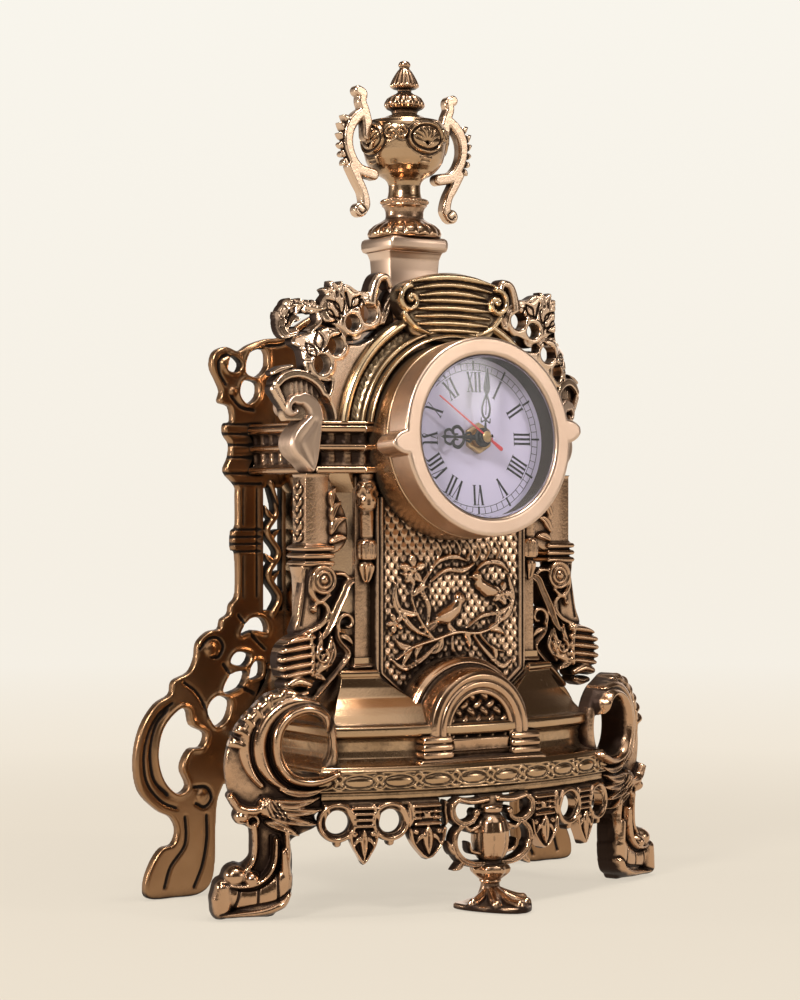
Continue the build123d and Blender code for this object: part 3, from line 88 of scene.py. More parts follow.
def oval(u, v, ru, rv, a0=0.0, a1=360.0, count=24):
    a = np.radians(np.linspace(a0, a1, count))
    return np.stack([u + ru * np.cos(a), v + rv * np.sin(a)], 1)


def bothSides(half):
    # a whole outline from its left half; points on the middle line are used once
    return half + [(-u, v) for u, v in half[::-1] if u]


def boxBlur(a, size, axis):
    pad = [(0, 0)] * a.ndim
    pad[axis] = (size + 1, size)
    c = np.cumsum(np.pad(a, pad, mode="edge"), axis=axis)
    n = a.shape[axis]
    high = np.take(c, np.arange(2 * size + 1, 2 * size + 1 + n), axis=axis)
    low = np.take(c, np.arange(0, n), axis=axis)
    return (high - low) / (2 * size + 1)


def blur(a, size, passes=2):
    for _ in range(passes):
        for axis in range(a.ndim):
            a = boxBlur(a, max(1, int(size)), axis)
    return a


def smoothStep(x, low, high):
    t = np.clip((x - low) / (high - low), 0, 1)
    return t * t * (3 - 2 * t)


def bell(x, middle, width):
    return np.exp(-((x - middle) / width) ** 2)


def between(x, a, b, c, d):
    # 0 below a, 1 from b to c and 0 again above d
    return smoothStep(x, a, b) * (1 - smoothStep(x, c, d))


everywhere = (slice(None), slice(None))


class Sheet:
    # A drawing in mm: edge is the distance to the outline, below nothing inside it, and high is the relief
    def __init__(self, uLow, uHigh, vLow, vHigh, pixel):
        self.pixel = pixel
        self.u = np.arange(uLow, uHigh + pixel, pixel)
        self.v = np.arange(vLow, vHigh + pixel, pixel)
        self.gridU, self.gridV = np.meshgrid(self.u, self.v, indexing="ij")
        self.edge = np.full(self.gridU.shape, 9.0)
        self.high = np.zeros(self.gridU.shape)
        self.dirt = np.zeros(self.gridU.shape)
        self.cutAt = None  # where a half is cut straight, so that its mirror image meets it without a seam

    def window(self, points, margin):
        low, high = np.min(points, 0) - margin, np.max(points, 0) + margin
        spans = [np.searchsorted(axis, [low[i], high[i]]) for i, axis in enumerate((self.u, self.v))]
        return tuple(slice(*span) for span in spans)

    def walk(self, path, halves, win):
        # distance to a band's edge, and how far across it from its middle
        us, vs = self.gridU[win], self.gridV[win]
        best = np.full(us.shape, 99.0)
        across = np.full(us.shape, 9.0)
        for a, b, low, high in zip(path, path[1:], halves, halves[1:]):
            d = b - a
            length = hypot(*d)
            if length < 1e-6:
                continue
            pu, pv = us - a[0], vs - a[1]
            t = np.clip((pu * d[0] + pv * d[1]) / length ** 2, 0, 1)
            dist = np.hypot(pu - t * d[0], pv - t * d[1])
            half = low + (high - low) * t
            near = dist - half < best
            best = np.where(near, dist - half, best)
            across = np.where(near, dist / np.maximum(half, 1e-3), across)
        return best, across

    def raiseTo(self, win, place, level):
        self.high[win] = np.where(place, np.maximum(self.high[win], level), self.high[win])

    def stroke(self, points, widths, lift, base=0, kind="round", cut=True, perSpan=8):
        # a band along a curve, as relief and as part of the outline
        path = smoothPath(points, perSpan)
        halves = np.interp(np.linspace(0, 1, len(path)), np.linspace(0, 1, len(widths)), widths) / 2
        win = self.window(path, max(widths) / 2 + 2)
        best, across = self.walk(path, halves, win)
        dome = np.sqrt(np.clip(1 - across ** 2, 0, 1))
        rise = {
            "round": dome,
            "ridge": dome * (0.72 + 0.28 * np.cos(across * pi * 2)),
            "rim": smoothStep(-best, 0, 0.7) * (0.5 + 0.5 * smoothStep(across, 0.3, 0.75)),
            "leaf": dome * (1 - 0.5 * bell(across, 0, 0.17)),
            "flat": smoothStep(-best, 0, 0.8),
        }[kind] * lift
        self.raiseTo(win, best < 0, base + rise)
        if cut:
            self.edge[win] = np.minimum(self.edge[win], best)

    def relief(self, *given, **more):
        # a stroke that leaves the outline alone
        self.stroke(*given, cut=False, **more)

    def groove(self, points, width, depth, dirt=0.6):
        path = smoothPath(points, 6) if len(points) > 2 else np.asarray(points, float)
        win = self.window(path, width * 2.5)
        mark = bell(self.walk(path, np.zeros(len(path)), win)[0], 0, width / 2)
        self.high[win] -= depth * mark
        self.dirt[win] = np.maximum(self.dirt[win], dirt * mark)

    def ball(self, u, v, r, lift, base=0, cut=False, flat=1):
        win = self.window([(u - r, v - r), (u + r, v + r)], 1)
        d = np.hypot(self.gridU[win] - u, (self.gridV[win] - v) / flat)
        self.raiseTo(win, d < r, base + lift * np.sqrt(np.clip(1 - (d / r) ** 2, 0, 1)))
        if cut:
            self.edge[win] = np.minimum(self.edge[win], d - r)

    def ring(self, u, v, r, width, lift, base=0, cut=True):
        self.stroke(oval(u, v, r, r), [width], lift, base, "round", cut, 3)

    def field(self, points, perSpan=6):
        # distance to a closed outline, below nothing inside it
        path = smoothPath(points, perSpan, closed=True) if perSpan > 1 else np.asarray(points, float)
        loop = np.vstack([path, path[:1]])
        best = self.walk(loop, np.zeros(len(loop)), everywhere)[0]
        odd = np.zeros(self.gridU.shape, bool)
        for (ua, va), (ub, vb) in zip(loop[:-1], loop[1:]):
            if va != vb:
                crossing = self.gridU < (ub - ua) * (self.gridV - va) / (vb - va) + ua
                odd ^= ((va > self.gridV) != (vb > self.gridV)) & crossing
        return np.where(odd, -best, best)

    def shape(self, points, lift=0, perSpan=6, bevel=1):
        # a closed outline, filled to one level
        d = self.field(points, perSpan)
        self.edge = np.minimum(self.edge, d)
        if lift:
            self.raiseTo(everywhere, d < 0, lift * smoothStep(-d, 0, bevel))

    def hole(self, points, perSpan=6, rim=0):
        d = self.field(points, perSpan)
        self.edge = np.maximum(self.edge, -d)
        self.high += rim * bell(d, 0.9, 0.9)

    def drill(self, u, v, r):
        self.edge = np.maximum(self.edge, r - np.hypot(self.gridU - u, self.gridV - v))

    def leaf(self, root, tip, width, lift, bend=0, base=0, cut=True):
        # a pointed leaf with a vein, bent sideways
        d = np.subtract(tip, root)
        side = np.array([-d[1], d[0]])
        path = [root + d * t + side * bend * sin(pi * t) for t in np.linspace(0, 1, 7)]
        self.stroke(path, [width * k for k in (0.35, 0.8, 1, 0.95, 0.75, 0.45, 0.12)], lift, base, "leaf", cut, 3)

    def leaves(self, rows, lift, base, cut=True):
        for root, tip, width, bend in rows:
            self.leaf(root, tip, width, lift, bend, base, cut)


def meshObject(name, points, faces, soil=0.3):
    mesh = bpy.data.meshes.new(name)
    faces = np.ascontiguousarray(faces, np.int32)
    mesh.vertices.add(len(points))
    mesh.vertices.foreach_set("co", np.ascontiguousarray(points, np.float32).ravel())
    mesh.loops.add(faces.size)
    mesh.loops.foreach_set("vertex_index", faces.ravel())
    mesh.polygons.add(len(faces))
    mesh.polygons.foreach_set("loop_start", np.arange(0, faces.size, faces.shape[1], dtype=np.int32))
    mesh.polygons.foreach_set("use_smooth", np.ones(len(faces), bool))
    mesh.update(calc_edges=True)
    values = np.full(len(points), soil, np.float32)
    mesh.attributes.new("soil", "FLOAT", "POINT").data.foreach_set("value", values)
    piece = bpy.data.objects.new(name, mesh)
    bpy.context.scene.collection.objects.link(piece)
    return piece


def outwards(points, faces):
    a, b, c = points[faces[:, 0]], points[faces[:, 1]], points[faces[:, 2]]
    volume = np.einsum("ij,ij->i", a - points.mean(0), np.cross(b - a, c - a)).sum()
    return faces if volume > 0 else faces[:, ::-1]


def finished(name, points, faces, soil, mirror):
    # one mesh, or a left one and its mirror image
    made = []
    for side, label in ((1, name + "Left"), (-1, name + "Right")) if mirror else ((1, name),):
        place = points * np.array([side, 1.0, 1.0])
        made.append(meshObject(label, toScene(place), outwards(place, faces), soil))
    return made if mirror else made[0]


def sample(table, iu, iv):
    nu, nv = table.shape
    iu, iv = np.clip(iu, 0, nu - 1.001), np.clip(iv, 0, nv - 1.001)
    a, b = iu.astype(int), iv.astype(int)
    fu, fv = iu - a, iv - b
    return (table[a, b] * (1 - fu) * (1 - fv) + table[a + 1, b] * fu * (1 - fv)
            + table[a, b + 1] * (1 - fu) * fv + table[a + 1, b + 1] * fu * fv)


def soilMap(top, inside, pixel, gain):
    # how deep each place lies among its neighbours, from 0 on the ridges to 1 in the hollows
    weight = inside.astype(float)
    size = max(1, int(1.5 / pixel))
    near, wide = (blur(top * weight, n) / np.maximum(blur(weight, n), 1e-3) for n in (size, size * 3))
    return np.clip(0.25 + gain * (0.75 * (near - top) + 0.25 * (wide - top)), 0, 1)


wallSoil = 0.035  # per mm that a wall lies behind its edge


def cast(name, sheet, back, front, mapping, corner, twoSided=False, mirror=False, gain=0.5):
    # a solid from a drawing: its front face with the relief, and a flat or a mirrored back
    p = sheet.pixel
    inside = sheet.edge < 0
    depthIn = np.clip(-sheet.edge / corner, 0, 1)
    fall = corner * 0.8 * (1 - np.sqrt(np.clip(1 - (1 - depthIn) ** 2, 0, 1)))
    top = front + blur(sheet.high, 1, 1) - fall
    low = 2 * back - top if twoSided else back + fall * 0.6
    soil = np.clip(soilMap(front + sheet.high, inside, p, gain) + blur(sheet.dirt, 1, 1), 0, 1)
    wLow = float(low[inside].min()) - 3 * p
    wHigh = float(top[inside].max()) + 3 * p
    w = np.arange(wLow, wHigh + p, p)
    outline = sheet.edge if sheet.cutAt is None else np.maximum(sheet.edge, sheet.gridU - sheet.cutAt)
    space = np.maximum(outline[:, :, None], w - top[:, :, None])
    space = np.maximum(space, low[:, :, None] - w)
    space = np.pad(np.clip(space, -3 * p, 3 * p), 1, constant_values=3 * p)
    grid = openvdb.FloatGrid(3 * p)
    grid.copyFromArray(np.ascontiguousarray(space, np.float32))
    spots, quads = grid.convertToQuads(0.0)
    spots = spots - 1.0
    u, v, level = spots.T
    local = np.stack([sheet.u[0] + u * p, sheet.v[0] + v * p, wLow + level * p], 1)
    dirt = sample(soil, u, v)
    if not twoSided:
        dirt = dirt + wallSoil * np.clip(sample(top, u, v) - local[:, 2] - p, 0, 4)
    return finished(name, mapping(local), quads.astype(np.int32), np.clip(dirt, 0, 1), mirror)


def facing(yBase):
    # for drawings of X and Z that face the front
    return lambda local: np.stack([local[:, 0], yBase - local[:, 2], local[:, 1]], 1)


def skin(name, rings, soil=0.25, caps=True, wrap=False, mirror=False):
    # a skin through rows of points; each row is a closed loop with an even number of points
    rows, cols = rings.shape[:2]
    points = rings.reshape(-1, 3)
    i = np.arange(rows if wrap else rows - 1)[:, None]
    j = np.arange(cols)
    here, up, k = i * cols, (i + 1) % rows * cols, (j + 1) % cols
    quads = np.stack([here + j, here + k, up + k, up + j], -1).reshape(-1, 4)
    dirt = np.clip(np.broadcast_to(soil, (rows, cols)), 0, 1).reshape(-1)
    if caps:
        for row, flip in ((0, True), (rows - 1, False)):
            points = np.vstack([points, rings[row].mean(0)])
            dirt = np.append(dirt, dirt[row * cols:(row + 1) * cols].mean())
            a = np.arange(0, cols - 1, 2)
            hub = np.full(len(a), len(points) - 1)
            cap = np.stack([hub, row * cols + a, row * cols + a + 1, row * cols + (a + 2) % cols], 1)
            quads = np.vstack([quads, cap[:, ::-1] if flip else cap])
    return finished(name, points, quads, dirt, mirror)


def fineLine(points, step, soften=1, loop=False):
    # the same line in short steps, open or closed, with its corners a little rounded
    p = np.asarray(points, float)
    out = []
    for a, b in zip(p, np.roll(p, -1, 0) if loop else p[1:]):
        count = max(1, int(round(hypot(*(b - a)) / step)))
        out.append(a + (b - a) * np.linspace(0, 1, count, endpoint=False)[:, None])
    out = np.vstack(out if loop else out + [p[-1:]])
    if loop and len(out) % 2:
        out = np.vstack([out, (out[-1] + out[0]) / 2])
    for _ in range(soften):
        if loop:
            out = 0.25 * np.roll(out, 1, 0) + 0.5 * out + 0.25 * np.roll(out, -1, 0)
        else:
            out[1:-1] = 0.25 * out[:-2] + 0.5 * out[1:-1] + 0.25 * out[2:]
    return out


def lineSoil(reach, gain=0.5, size=5):
    # soil for a profile, from how far it stands out
    near = boxBlur(boxBlur(reach, size, 0), size, 0)
    return np.clip(0.25 + gain * (near - reach), 0, 1)


def turned(name, profile, ornament=None, around=240, middle=(0, 0), step=0.4, low=0):
    # a piece turned about an upright axis; ornament adds to its radius over angle and height
    profile = fineLine(np.add(profile, (0, low)), step)
    angle = np.linspace(0, tau, around, endpoint=False)
    r = np.repeat(profile[:, :1], around, 1)
    z = np.repeat(profile[:, 1:2], around, 1)
    soil = np.repeat(lineSoil(profile[:, 0])[:, None], around, 1)
    if ornament:
        extra = ornament(angle + 0 * r, z, r)
        soil = soil + np.clip((blur(extra, 3) - extra) * 0.8, -0.2, 1)
        r = r + extra
    return skin(name, np.stack([middle[0] + r * np.cos(angle), middle[1] + r * np.sin(angle), z], -1), soil)


def squared(name, middle, levels, corner=0.8, step=0.5, mirror=False):
    # a square-section piece: half widths in X and in Y at each height
    table = np.asarray(levels, float)
    line = fineLine(table[:, [0, 2]], step)
    halfX = line[:, 0]
    share = np.interp(np.linspace(0, 1, len(line)), np.linspace(0, 1, len(table)), table[:, 1] - table[:, 0])
    turn = np.radians(np.arange(0, 90, 18))
    rows = []
    for hx, hy, z in zip(halfX, halfX + share, line[:, 1]):
        c = min(corner, hx * 0.6, hy * 0.6)
        for quarter, (sx, sy) in enumerate(((1, 1), (-1, 1), (-1, -1), (1, -1))):
            a = turn + quarter * pi / 2
            x, y = sx * (hx - c) + c * np.cos(a), sy * (hy - c) + c * np.sin(a)
            rows.append(np.stack([middle[0] + x, middle[1] + y, np.full(len(a), z)], 1))
    rings = np.vstack(rows).reshape(len(line), -1, 3)
    return skin(name, rings, lineSoil(halfX)[:, None] * np.ones((1, 20)), mirror=mirror)


# base
baseLook = {
    "inset": (2.0, 10.0, 6.5, 9.0, 23.5),  # moulding, cove, bead, foot and top of the flare
    "sideInset": (2.0, 9.0, 7.0, 9.5, 22.0),
    "ovalPitch": 18.0,
    "ovalHalf": (6.2, 2.3),
    "wall": 4.0,
}


def baseProfile(inset):
    moulding, cove, bead, foot, top = inset
    line = [(moulding + 1, 49), (moulding, 49.6), (moulding - 0.2, 51), (moulding, 52.4), (0.6, 53), (0, 53.5),
        (0, 61.5), (0.5, 62), (1, 62.2), (1.5, 63.5), (cove - 3, 65), (cove - 0.8, 66.5), (cove, 69), (cove, 73),
        (cove - 1, 75), (bead + 0.8, 75.6), (bead, 76.6), (bead, 79.4), (bead + 0.8, 80.4), (foot, 80.8),
        (foot + 1.2, 82.2), (foot + 3, 84.5), (foot + (top - foot) * 0.42, 88), (top - 4.5, 92), (top - 2, 96.5),
        (top - 0.9, 100.5), (top - 1.6, 101.2), (top - 1.6, 103), (top - 0.4, 104)]
    return np.array(line)


def borderRelief(s, z):
    # ovals with a twisted ribbon between them, over the distance along the border and the height
    pitch = baseLook["ovalPitch"]
    a, b = baseLook["ovalHalf"]
    t = s / pitch % 1 - 0.5
    u = t * pitch
    v = z - 57.4
    d = np.hypot(u / a, v / b)
    egg = 1.1 * np.sqrt(np.clip(1 - d ** 2, 0, 1))
    rim = 0.75 * bell(d, 1.32, 0.16)
    phase = (s / pitch) * 2 * pi
    ribbon = np.zeros_like(s)
    for sign in (1, -1):
        line = sign * 3 * np.cos(phase)
        ribbon = np.maximum(ribbon, 1 * bell(v, line, 0.75) * (np.abs(t) > 0.34))
    fillets = 0.7 * bell(np.abs(v), 3.9, 0.45)
    inBorder = between(z, 53.2, 53.9, 61, 61.7)
    return (np.maximum.reduce([egg, rim, ribbon, fillets]) - 0.85) * inBorder


def buildBase():
    front = baseProfile(baseLook["inset"])
    side = baseProfile(baseLook["sideInset"])
    outer = fineLine(front, 0.5)
    outerSide = np.interp(outer[:, 1], side[:, 1] + np.arange(len(side)) * 1e-6, side[:, 0])
    count = len(outer)
    wall = baseLook["wall"]
    innerZ = np.linspace(103.6, 49.4, 40)
    innerFront = np.interp(innerZ, front[:, 1], front[:, 0]) + wall
    innerSide = np.interp(innerZ, side[:, 1], side[:, 0]) + wall
    insetF = np.concatenate([outer[:, 0], innerFront])
    insetS = np.concatenate([outerSide, innerSide])
    z = np.concatenate([outer[:, 1], innerZ])
    if len(z) % 2:
        insetF, insetS, z = insetF[:-1], insetS[:-1], z[:-1]
    along = np.concatenate([np.linspace(-1, 0, 150, endpoint=False), np.linspace(0, 1, 420),
        np.linspace(1, 2, 151)[1:]])
    centre = bow["front"] + bow["radius"]
    rows = np.zeros((len(along), len(z), 3))
    dist = np.zeros((len(along), len(z)))
    halfX = bow["halfWidth"] - insetS
    radius = bow["radius"] - insetF
    cornerY = centre - np.sqrt(radius ** 2 - halfX ** 2)
    halfArc = bow["radius"] * asin(bow["halfWidth"] / bow["radius"])
    sideRun = backFace - (centre - sqrt(bow["radius"] ** 2 - bow["halfWidth"] ** 2))
    nx = np.zeros(rows.shape[:2])
    ny = np.zeros(rows.shape[:2])
    for i, t in enumerate(along):
        if t < 0:
            x, y = -halfX, backFace - 0.1 + (cornerY - backFace) * (1 + t)
            nx[i], ny[i] = -1, 0
            dist[i] = -halfArc + sideRun * t
        elif t > 1:
            x, y = halfX, cornerY + (backFace - 0.1 - cornerY) * (t - 1)
            nx[i], ny[i] = 1, 0
            dist[i] = halfArc + sideRun * (t - 1)
        else:
            turn = np.arcsin(halfX / radius) * (2 * t - 1)
            x, y = radius * np.sin(turn), centre - radius * np.cos(turn)
            nx[i], ny[i] = np.sin(turn), -np.cos(turn)
            dist[i] = halfArc * (2 * t - 1)
        rows[i] = np.column_stack([x, y, z])
    isOuter = (np.arange(len(z)) < count)[None, :]
    extra = borderRelief(dist, rows[:, :, 2]) * isOuter
    rows[:, :, 0] += nx * extra
    rows[:, :, 1] += ny * extra
    # the top of the flare falls in a V at the foot of the panel
    x = np.abs(rows[:, :, 0])
    limit = np.where(x < 41, 100.6 - (41 - x) * 0.72, 200)
    limit = np.maximum(limit, 89)
    inFront = rows[:, :, 1] < -30
    rows[:, :, 2] = np.where(inFront, np.minimum(rows[:, :, 2], limit), rows[:, :, 2])
    soil = np.repeat(lineSoil(-insetF, 0.16, 6)[None, :], len(along), 0)
    soil = soil + np.clip((blur(extra, 3) - extra) * 1.1, -0.2, 1) * isOuter
    soil = soil + 0.35 * bell(rows[:, :, 2], 80.9, 0.7) + 0.3 * bell(rows[:, :, 2], 52.9, 0.6)
    soil = soil + 0.3 * bell(rows[:, :, 2], 75.4, 0.7)
    return skin("bowBase", rows, np.clip(soil, 0, 1))


bowBase = buildBase()
print("base")

# arch, its sill and the grille
archLook = {"spring": 77.0, "foot": 66.0}


def buildArch():
    # front edge of the mouldings: radius and depth, from the opening outwards
    line = [(15.8, -57.5), (15.8, -60.6), (16.4, -61.4), (17.5, -61.5), (18, -60.9), (18.5, -61.1), (19, -62.2),
        (20.4, -62.8), (21.6, -62.5), (22.1, -61.5), (22.6, -62), (24.2, -62.2), (25.9, -61.2), (27, -58.8),
        (27.3, -55), (27.6, -51), (28.4, -50.4), (29.2, -51.2), (30, -50.6), (30.4, -49.8), (31, -49.6),
        (31.5, -48.6), (31.5, -38.2), (20, -38.2), (15.8, -44)]
    loop = fineLine(line, 0.45, loop=True)
    rows = []
    for z in np.linspace(archLook["foot"], archLook["spring"], 16, endpoint=False):
        rows.append(np.column_stack([-loop[:, 0], loop[:, 1], np.full(len(loop), z)]))
    for a in np.linspace(pi, 0, 150):
        rows.append(np.column_stack([loop[:, 0] * cos(a), loop[:, 1],
            archLook["spring"] + loop[:, 0] * sin(a)]))
    for z in np.linspace(archLook["spring"], archLook["foot"], 17)[1:]:
        rows.append(np.column_stack([loop[:, 0], loop[:, 1], np.full(len(loop), z)]))
    soil = lineSoil(-loop[:, 1], 0.35, 5)
    arch = skin("archMoulding", np.array(rows), soil[None, :])
    # sill: a stack of rounded fillets under the arch, wider at its foot
    levels = [(33.4, 12.6, 61.9), (34, 13, 62.4), (34, 13, 64.4), (33.2, 12.4, 65.2), (31.4, 11.6, 65.4),
        (31.4, 11.6, 65.9)]
    sill = squared("archSill", (0, -51.5), levels, 1.5)
    blocks = [(7.4, 12, 65.4), (7.9, 12.4, 65.9), (8.2, 12.6, 67.2), (7.9, 12.4, 68.4), (7, 11.4, 68.8),
        (7.8, 12.2, 69.2), (8.1, 12.5, 70.4), (7.8, 12.2, 71.7), (7, 11.4, 72.1), (7.6, 12, 72.5),
        (7.9, 12.3, 73.6), (7.4, 12, 75), (6, 10.6, 75.6)]
    sills = squared("sillBlock", (-23.6, -51), blocks, 1.4, 0.35, mirror=True)
    lip = [(16.8, 9, 65.3), (16.8, 9.4, 67), (16.2, 9.6, 68.6), (15, 10, 69), (15, 10.6, 71), (15.2, 11, 72.2),
        (15.2, 11, 73.4), (14.4, 10.2, 74.2), (14, 8, 74.4)]
    step = squared("windowSill", (0, -51), lip, 1.4, 0.35)
    return [arch, sill, *sills, step]


def buildGrille():
    sheet = Sheet(-17.5, 17.5, 64, 95, 0.3)
    sheet.edge = np.hypot(sheet.gridU, sheet.gridV - archLook["spring"]) - 17
    # strips that cross on the slant and pass over and under each other
    pitch = 5
    a = (sheet.gridU + sheet.gridV) / sqrt(2) / pitch
    b = (sheet.gridU - sheet.gridV) / sqrt(2) / pitch
    for first, second, start in ((a, b, 0), (b, a, 1)):
        across = (first % 1 - 0.5) * 2
        overUnder = np.sin((second + 0.5 * ((np.floor(first) + start) % 2) * 2) * pi)
        strip = np.sqrt(np.clip(1 - (across / 0.62) ** 2, 0, 1))
        band = np.abs(across) < 0.62
        sheet.high = np.where(band, np.maximum(sheet.high, strip * 1.2 + 1.5 * overUnder * strip + 0.6), sheet.high)
    sheet.dirt += 0.15
    return cast("grilleWeave", sheet, 0, 1, facing(-56), 0.5, gain=0.75)


archPieces = buildArch()
grilleWeave = buildGrille()
print("arch and grille")


# fish-scale panel with a bird on a flowering sprig, in a drawing of its own
panelLook = {"scaleWidth": 4.3, "scaleDrop": 2.9, "scaleLift": 1.0}


def fishScales(sheet):
    # round scales in staggered rows: each lies over the row below, and stands out at its lower edge
    wide, drop, lift = panelLook["scaleWidth"], panelLook["scaleDrop"], panelLook["scaleLift"]
    u, v = sheet.gridU, sheet.gridV
    bend = 0.3 * np.sin(u * 0.31 + v * 0.11) + 0.22 * np.sin(v * 0.43 + u * 0.17)
    u, v = sheet.gridU + bend, sheet.gridV + 0.7 * bend
    row = np.floor(v / drop)
    high = np.full(u.shape, -0.3)
    for up in (-1, 0, 1, 2):
        r = row + up
        shift = (r % 2) * 0.5
        cu = (np.floor(u / wide - shift) + 0.5 + shift) * wide
        cv = r * drop
        d = np.hypot((u - cu) / (wide * 0.5), (v - cv) / (drop * 1.12))
        t = np.clip((cv - v) / (drop * 1.12), -1, 1)
        rise = lift * (0.28 + 0.72 * np.clip(t + 0.35, 0, 1) ** 0.8) - 0.5 * bell(d, 0.99, 0.1)
        rise -= 0.16 * bell(u, cu, 0.28) * (t > 0.1) * (t < 0.72)
        high = np.where((d < 1) & (v < cv + 0.25 * drop), rise, high)
    return high


def bird(sheet, u, v, facingRight, size):
    # plump body, round head with an eye, folded wing and a long tail
    k = size * (1 if facingRight else -1)

    def at(points):
        return [(u + k * a, v + size * b) for a, b in points]

    sheet.relief(at([(-13, -9), (-8, -6.5), (-4, -3)]), [1.6 * size, 3 * size, 3.5 * size], 1.6, 0.6, "ridge")
    sheet.relief(at([(-14, -6.5), (-8, -4.5), (-3, -2)]), [1.4 * size, 2.4 * size, 3.2 * size], 1.7, 0.6, "ridge")
    breast = at([(-4, -2.5), (0, -1.5), (4.5, 1.5), (6, 4.5)])
    sheet.relief(breast, [5 * size, 8 * size, 7 * size, 4.6 * size], 2.9, 0.5)
    sheet.ball(u + k * 7, v + size * 6.2, 3 * size, 2.9, 0.9)
    sheet.relief(at([(9, 6.2), (11.6, 5.4)]), [1.7 * size, 0.4 * size], 1.4, 1)
    sheet.ball(u + k * 7.7, v + size * 6.9, 0.62 * size, 1, 3.4)
    sheet.groove(oval(u + k * 7.7, v + size * 6.9, 1 * size, 1 * size), 0.45, 0.55)
    for i in range(4):
        drop = i * 1.15
        sheet.relief(at([(3.6 - i * 0.7, 1.6 - drop), (-1, -0.2 - drop), (-6.4 + i * 0.9, -2.2 - drop * 0.8)]),
            [1.5 * size, 1.5 * size, 0.5 * size], 1.1, 2.4 - 0.25 * i)
    for i in range(5):
        sheet.groove(at([(4.6 + i * 0.5, 3.4 - i * 1.3), (3.4 + i * 0.4, 2.6 - i * 1.3)]), 0.4, 0.35)


def blossom(sheet, u, v, r, turn=0.0):
    for i in range(5):
        a = radians(72 * i + turn)
        sheet.relief([(u + 0.25 * r * cos(a), v + 0.25 * r * sin(a)), (u + 0.7 * r * cos(a),
            v + 0.7 * r * sin(a)), (u + r * cos(a), v + r * sin(a))], [0.35 * r, 0.78 * r, 0.5 * r],
            1.5, 0.9, "leaf", perSpan=3)
    sheet.ball(u, v, 0.3 * r, 1.1, 1.9)


def buildPanel():
    sheet = Sheet(-42, 42, 84, 180, 0.32)
    frameLine = [(-41, 180), (41, 180), (41, 100.5), (28.5, 91), (-28.5, 91), (-41, 100.5)]
    sheet.shape(frameLine, perSpan=1)
    sheet.drill(0, 77, 30.5)
    inner = sheet.field([(-36.6, 182), (36.6, 182), (36.6, 102.6), (27, 94.5), (-27, 94.5), (-36.6, 102.6)], 1)
    scales = fishScales(sheet)
    sheet.high = np.where(inner < 0, scales - 0.2, 0.4)
    # the rim: two fine rolls with a fillet between them
    sheet.high += 1.3 * bell(inner, 1.2, 0.75) + 0.9 * bell(inner, 3.3, 0.6)
    sheet.dirt += 0.5 * bell(inner, 2.3, 0.4) + 0.4 * bell(inner, -0.2, 0.4)
    vine = [(-30, 108), (-22, 113), (-10, 116), (2, 119), (14, 118.5), (24, 122), (31, 129)]
    sheet.relief(vine, [1.2, 1.8, 2.2, 2.2, 2, 1.6, 0.9], 1.5, 0.9)
    sheet.relief([(-10, 116), (-17, 124), (-22, 134), (-21, 143)], [1.8, 1.6, 1.3, 0.8], 1.4, 0.9)
    sheet.relief([(14, 118.5), (21, 112), (29, 109.5)], [1.6, 1.3, 0.7], 1.3, 0.8)
    leaves = (
        ((-22, 113), (-31, 117), 3.8, 0.15), ((-16, 115), (-20, 107.5), 3.4, -0.15),
        ((-6, 117), (-12, 109.5), 3.6, 0.2), ((6, 119), (9, 111.5), 3.4, 0.15),
        ((20, 120), (29, 117), 3.4, 0.15), ((24, 122), (24, 131), 3.2, -0.15),
        ((-19, 128), (-28, 131), 3.6, 0.15), ((-21, 136), (-13, 140), 3.4, 0.15),
        ((-21, 141), (-28, 146), 3.4, -0.15), ((22, 112), (23, 104.5), 3.0, 0.15),
        ((-22, 112), (-27, 104), 3.0, -0.1), ((2, 119), (-3, 125), 3.2, 0.15),
    )
    sheet.leaves(leaves, 1.5, 0.8, cut=False)
    # long curling plumes that frame the birds
    plumes = (
        ([(-12, 117), (-22, 122), (-30, 132), (-31, 142)], 3.6),
        ([(-14, 121), (-13, 131), (-17, 139), (-13, 146)], 3.2),
        ([(20, 121), (30, 126), (33, 135), (31, 144)], 3.4),
        ([(8, 121), (16, 126), (28, 128), (34, 133)], 2.8),
        ([(-4, 118), (-16, 108), (-26, 104), (-33, 108)], 3.2),
        ([(10, 119), (18, 110), (27, 103), (33, 106)], 3.2),
        ([(-12, 142), (-4, 147), (6, 147), (12, 150)], 2.8),
        ([(-14, 144), (-8, 151), (1, 153), (8, 151)], 2.6),
        ([(12, 146), (18, 150), (26, 150), (31, 146)], 2.8),
        ([(0, 119), (0, 112), (3, 108), (7, 109)], 2.4),
    )
    for path, width in plumes:
        sheet.relief(path, [0.9, width * 0.8, width, width * 0.3], 1.4, 0.8, "leaf", perSpan=6)
        for t in (0.35, 0.55, 0.75):
            a, b = np.array(path[1]) * (1 - t) + np.array(path[2]) * t, np.array(path[2]) - np.array(path[1])
            across = np.array([-b[1], b[0]]) / max(np.hypot(*b), 1e-6)
            sheet.groove([a - across * width * 0.5, a + b * 0.12, a + across * width * 0.5], 0.4, 0.5)
    blossom(sheet, -21.5, 147.5, 5.6, 20)
    blossom(sheet, 27, 136, 4.6, 0)
    blossom(sheet, -31, 124, 3.8, 40)
    bird(sheet, -3.5, 128, True, 1)
    bird(sheet, 19, 139, False, 0.85)
    for i in range(7):
        u = -8 + 5.4 * i
        sheet.relief([(u, 152), (u + 1.6, 156), (u - 0.6, 160)], [0.8, 1.4, 0.5], 0.8, 0.7)
    return cast("fishScalePanel", sheet, -4.5, 0, facing(panelFace), 0.5, gain=0.85)


fishScalePanel = buildPanel()
print("relief panel")


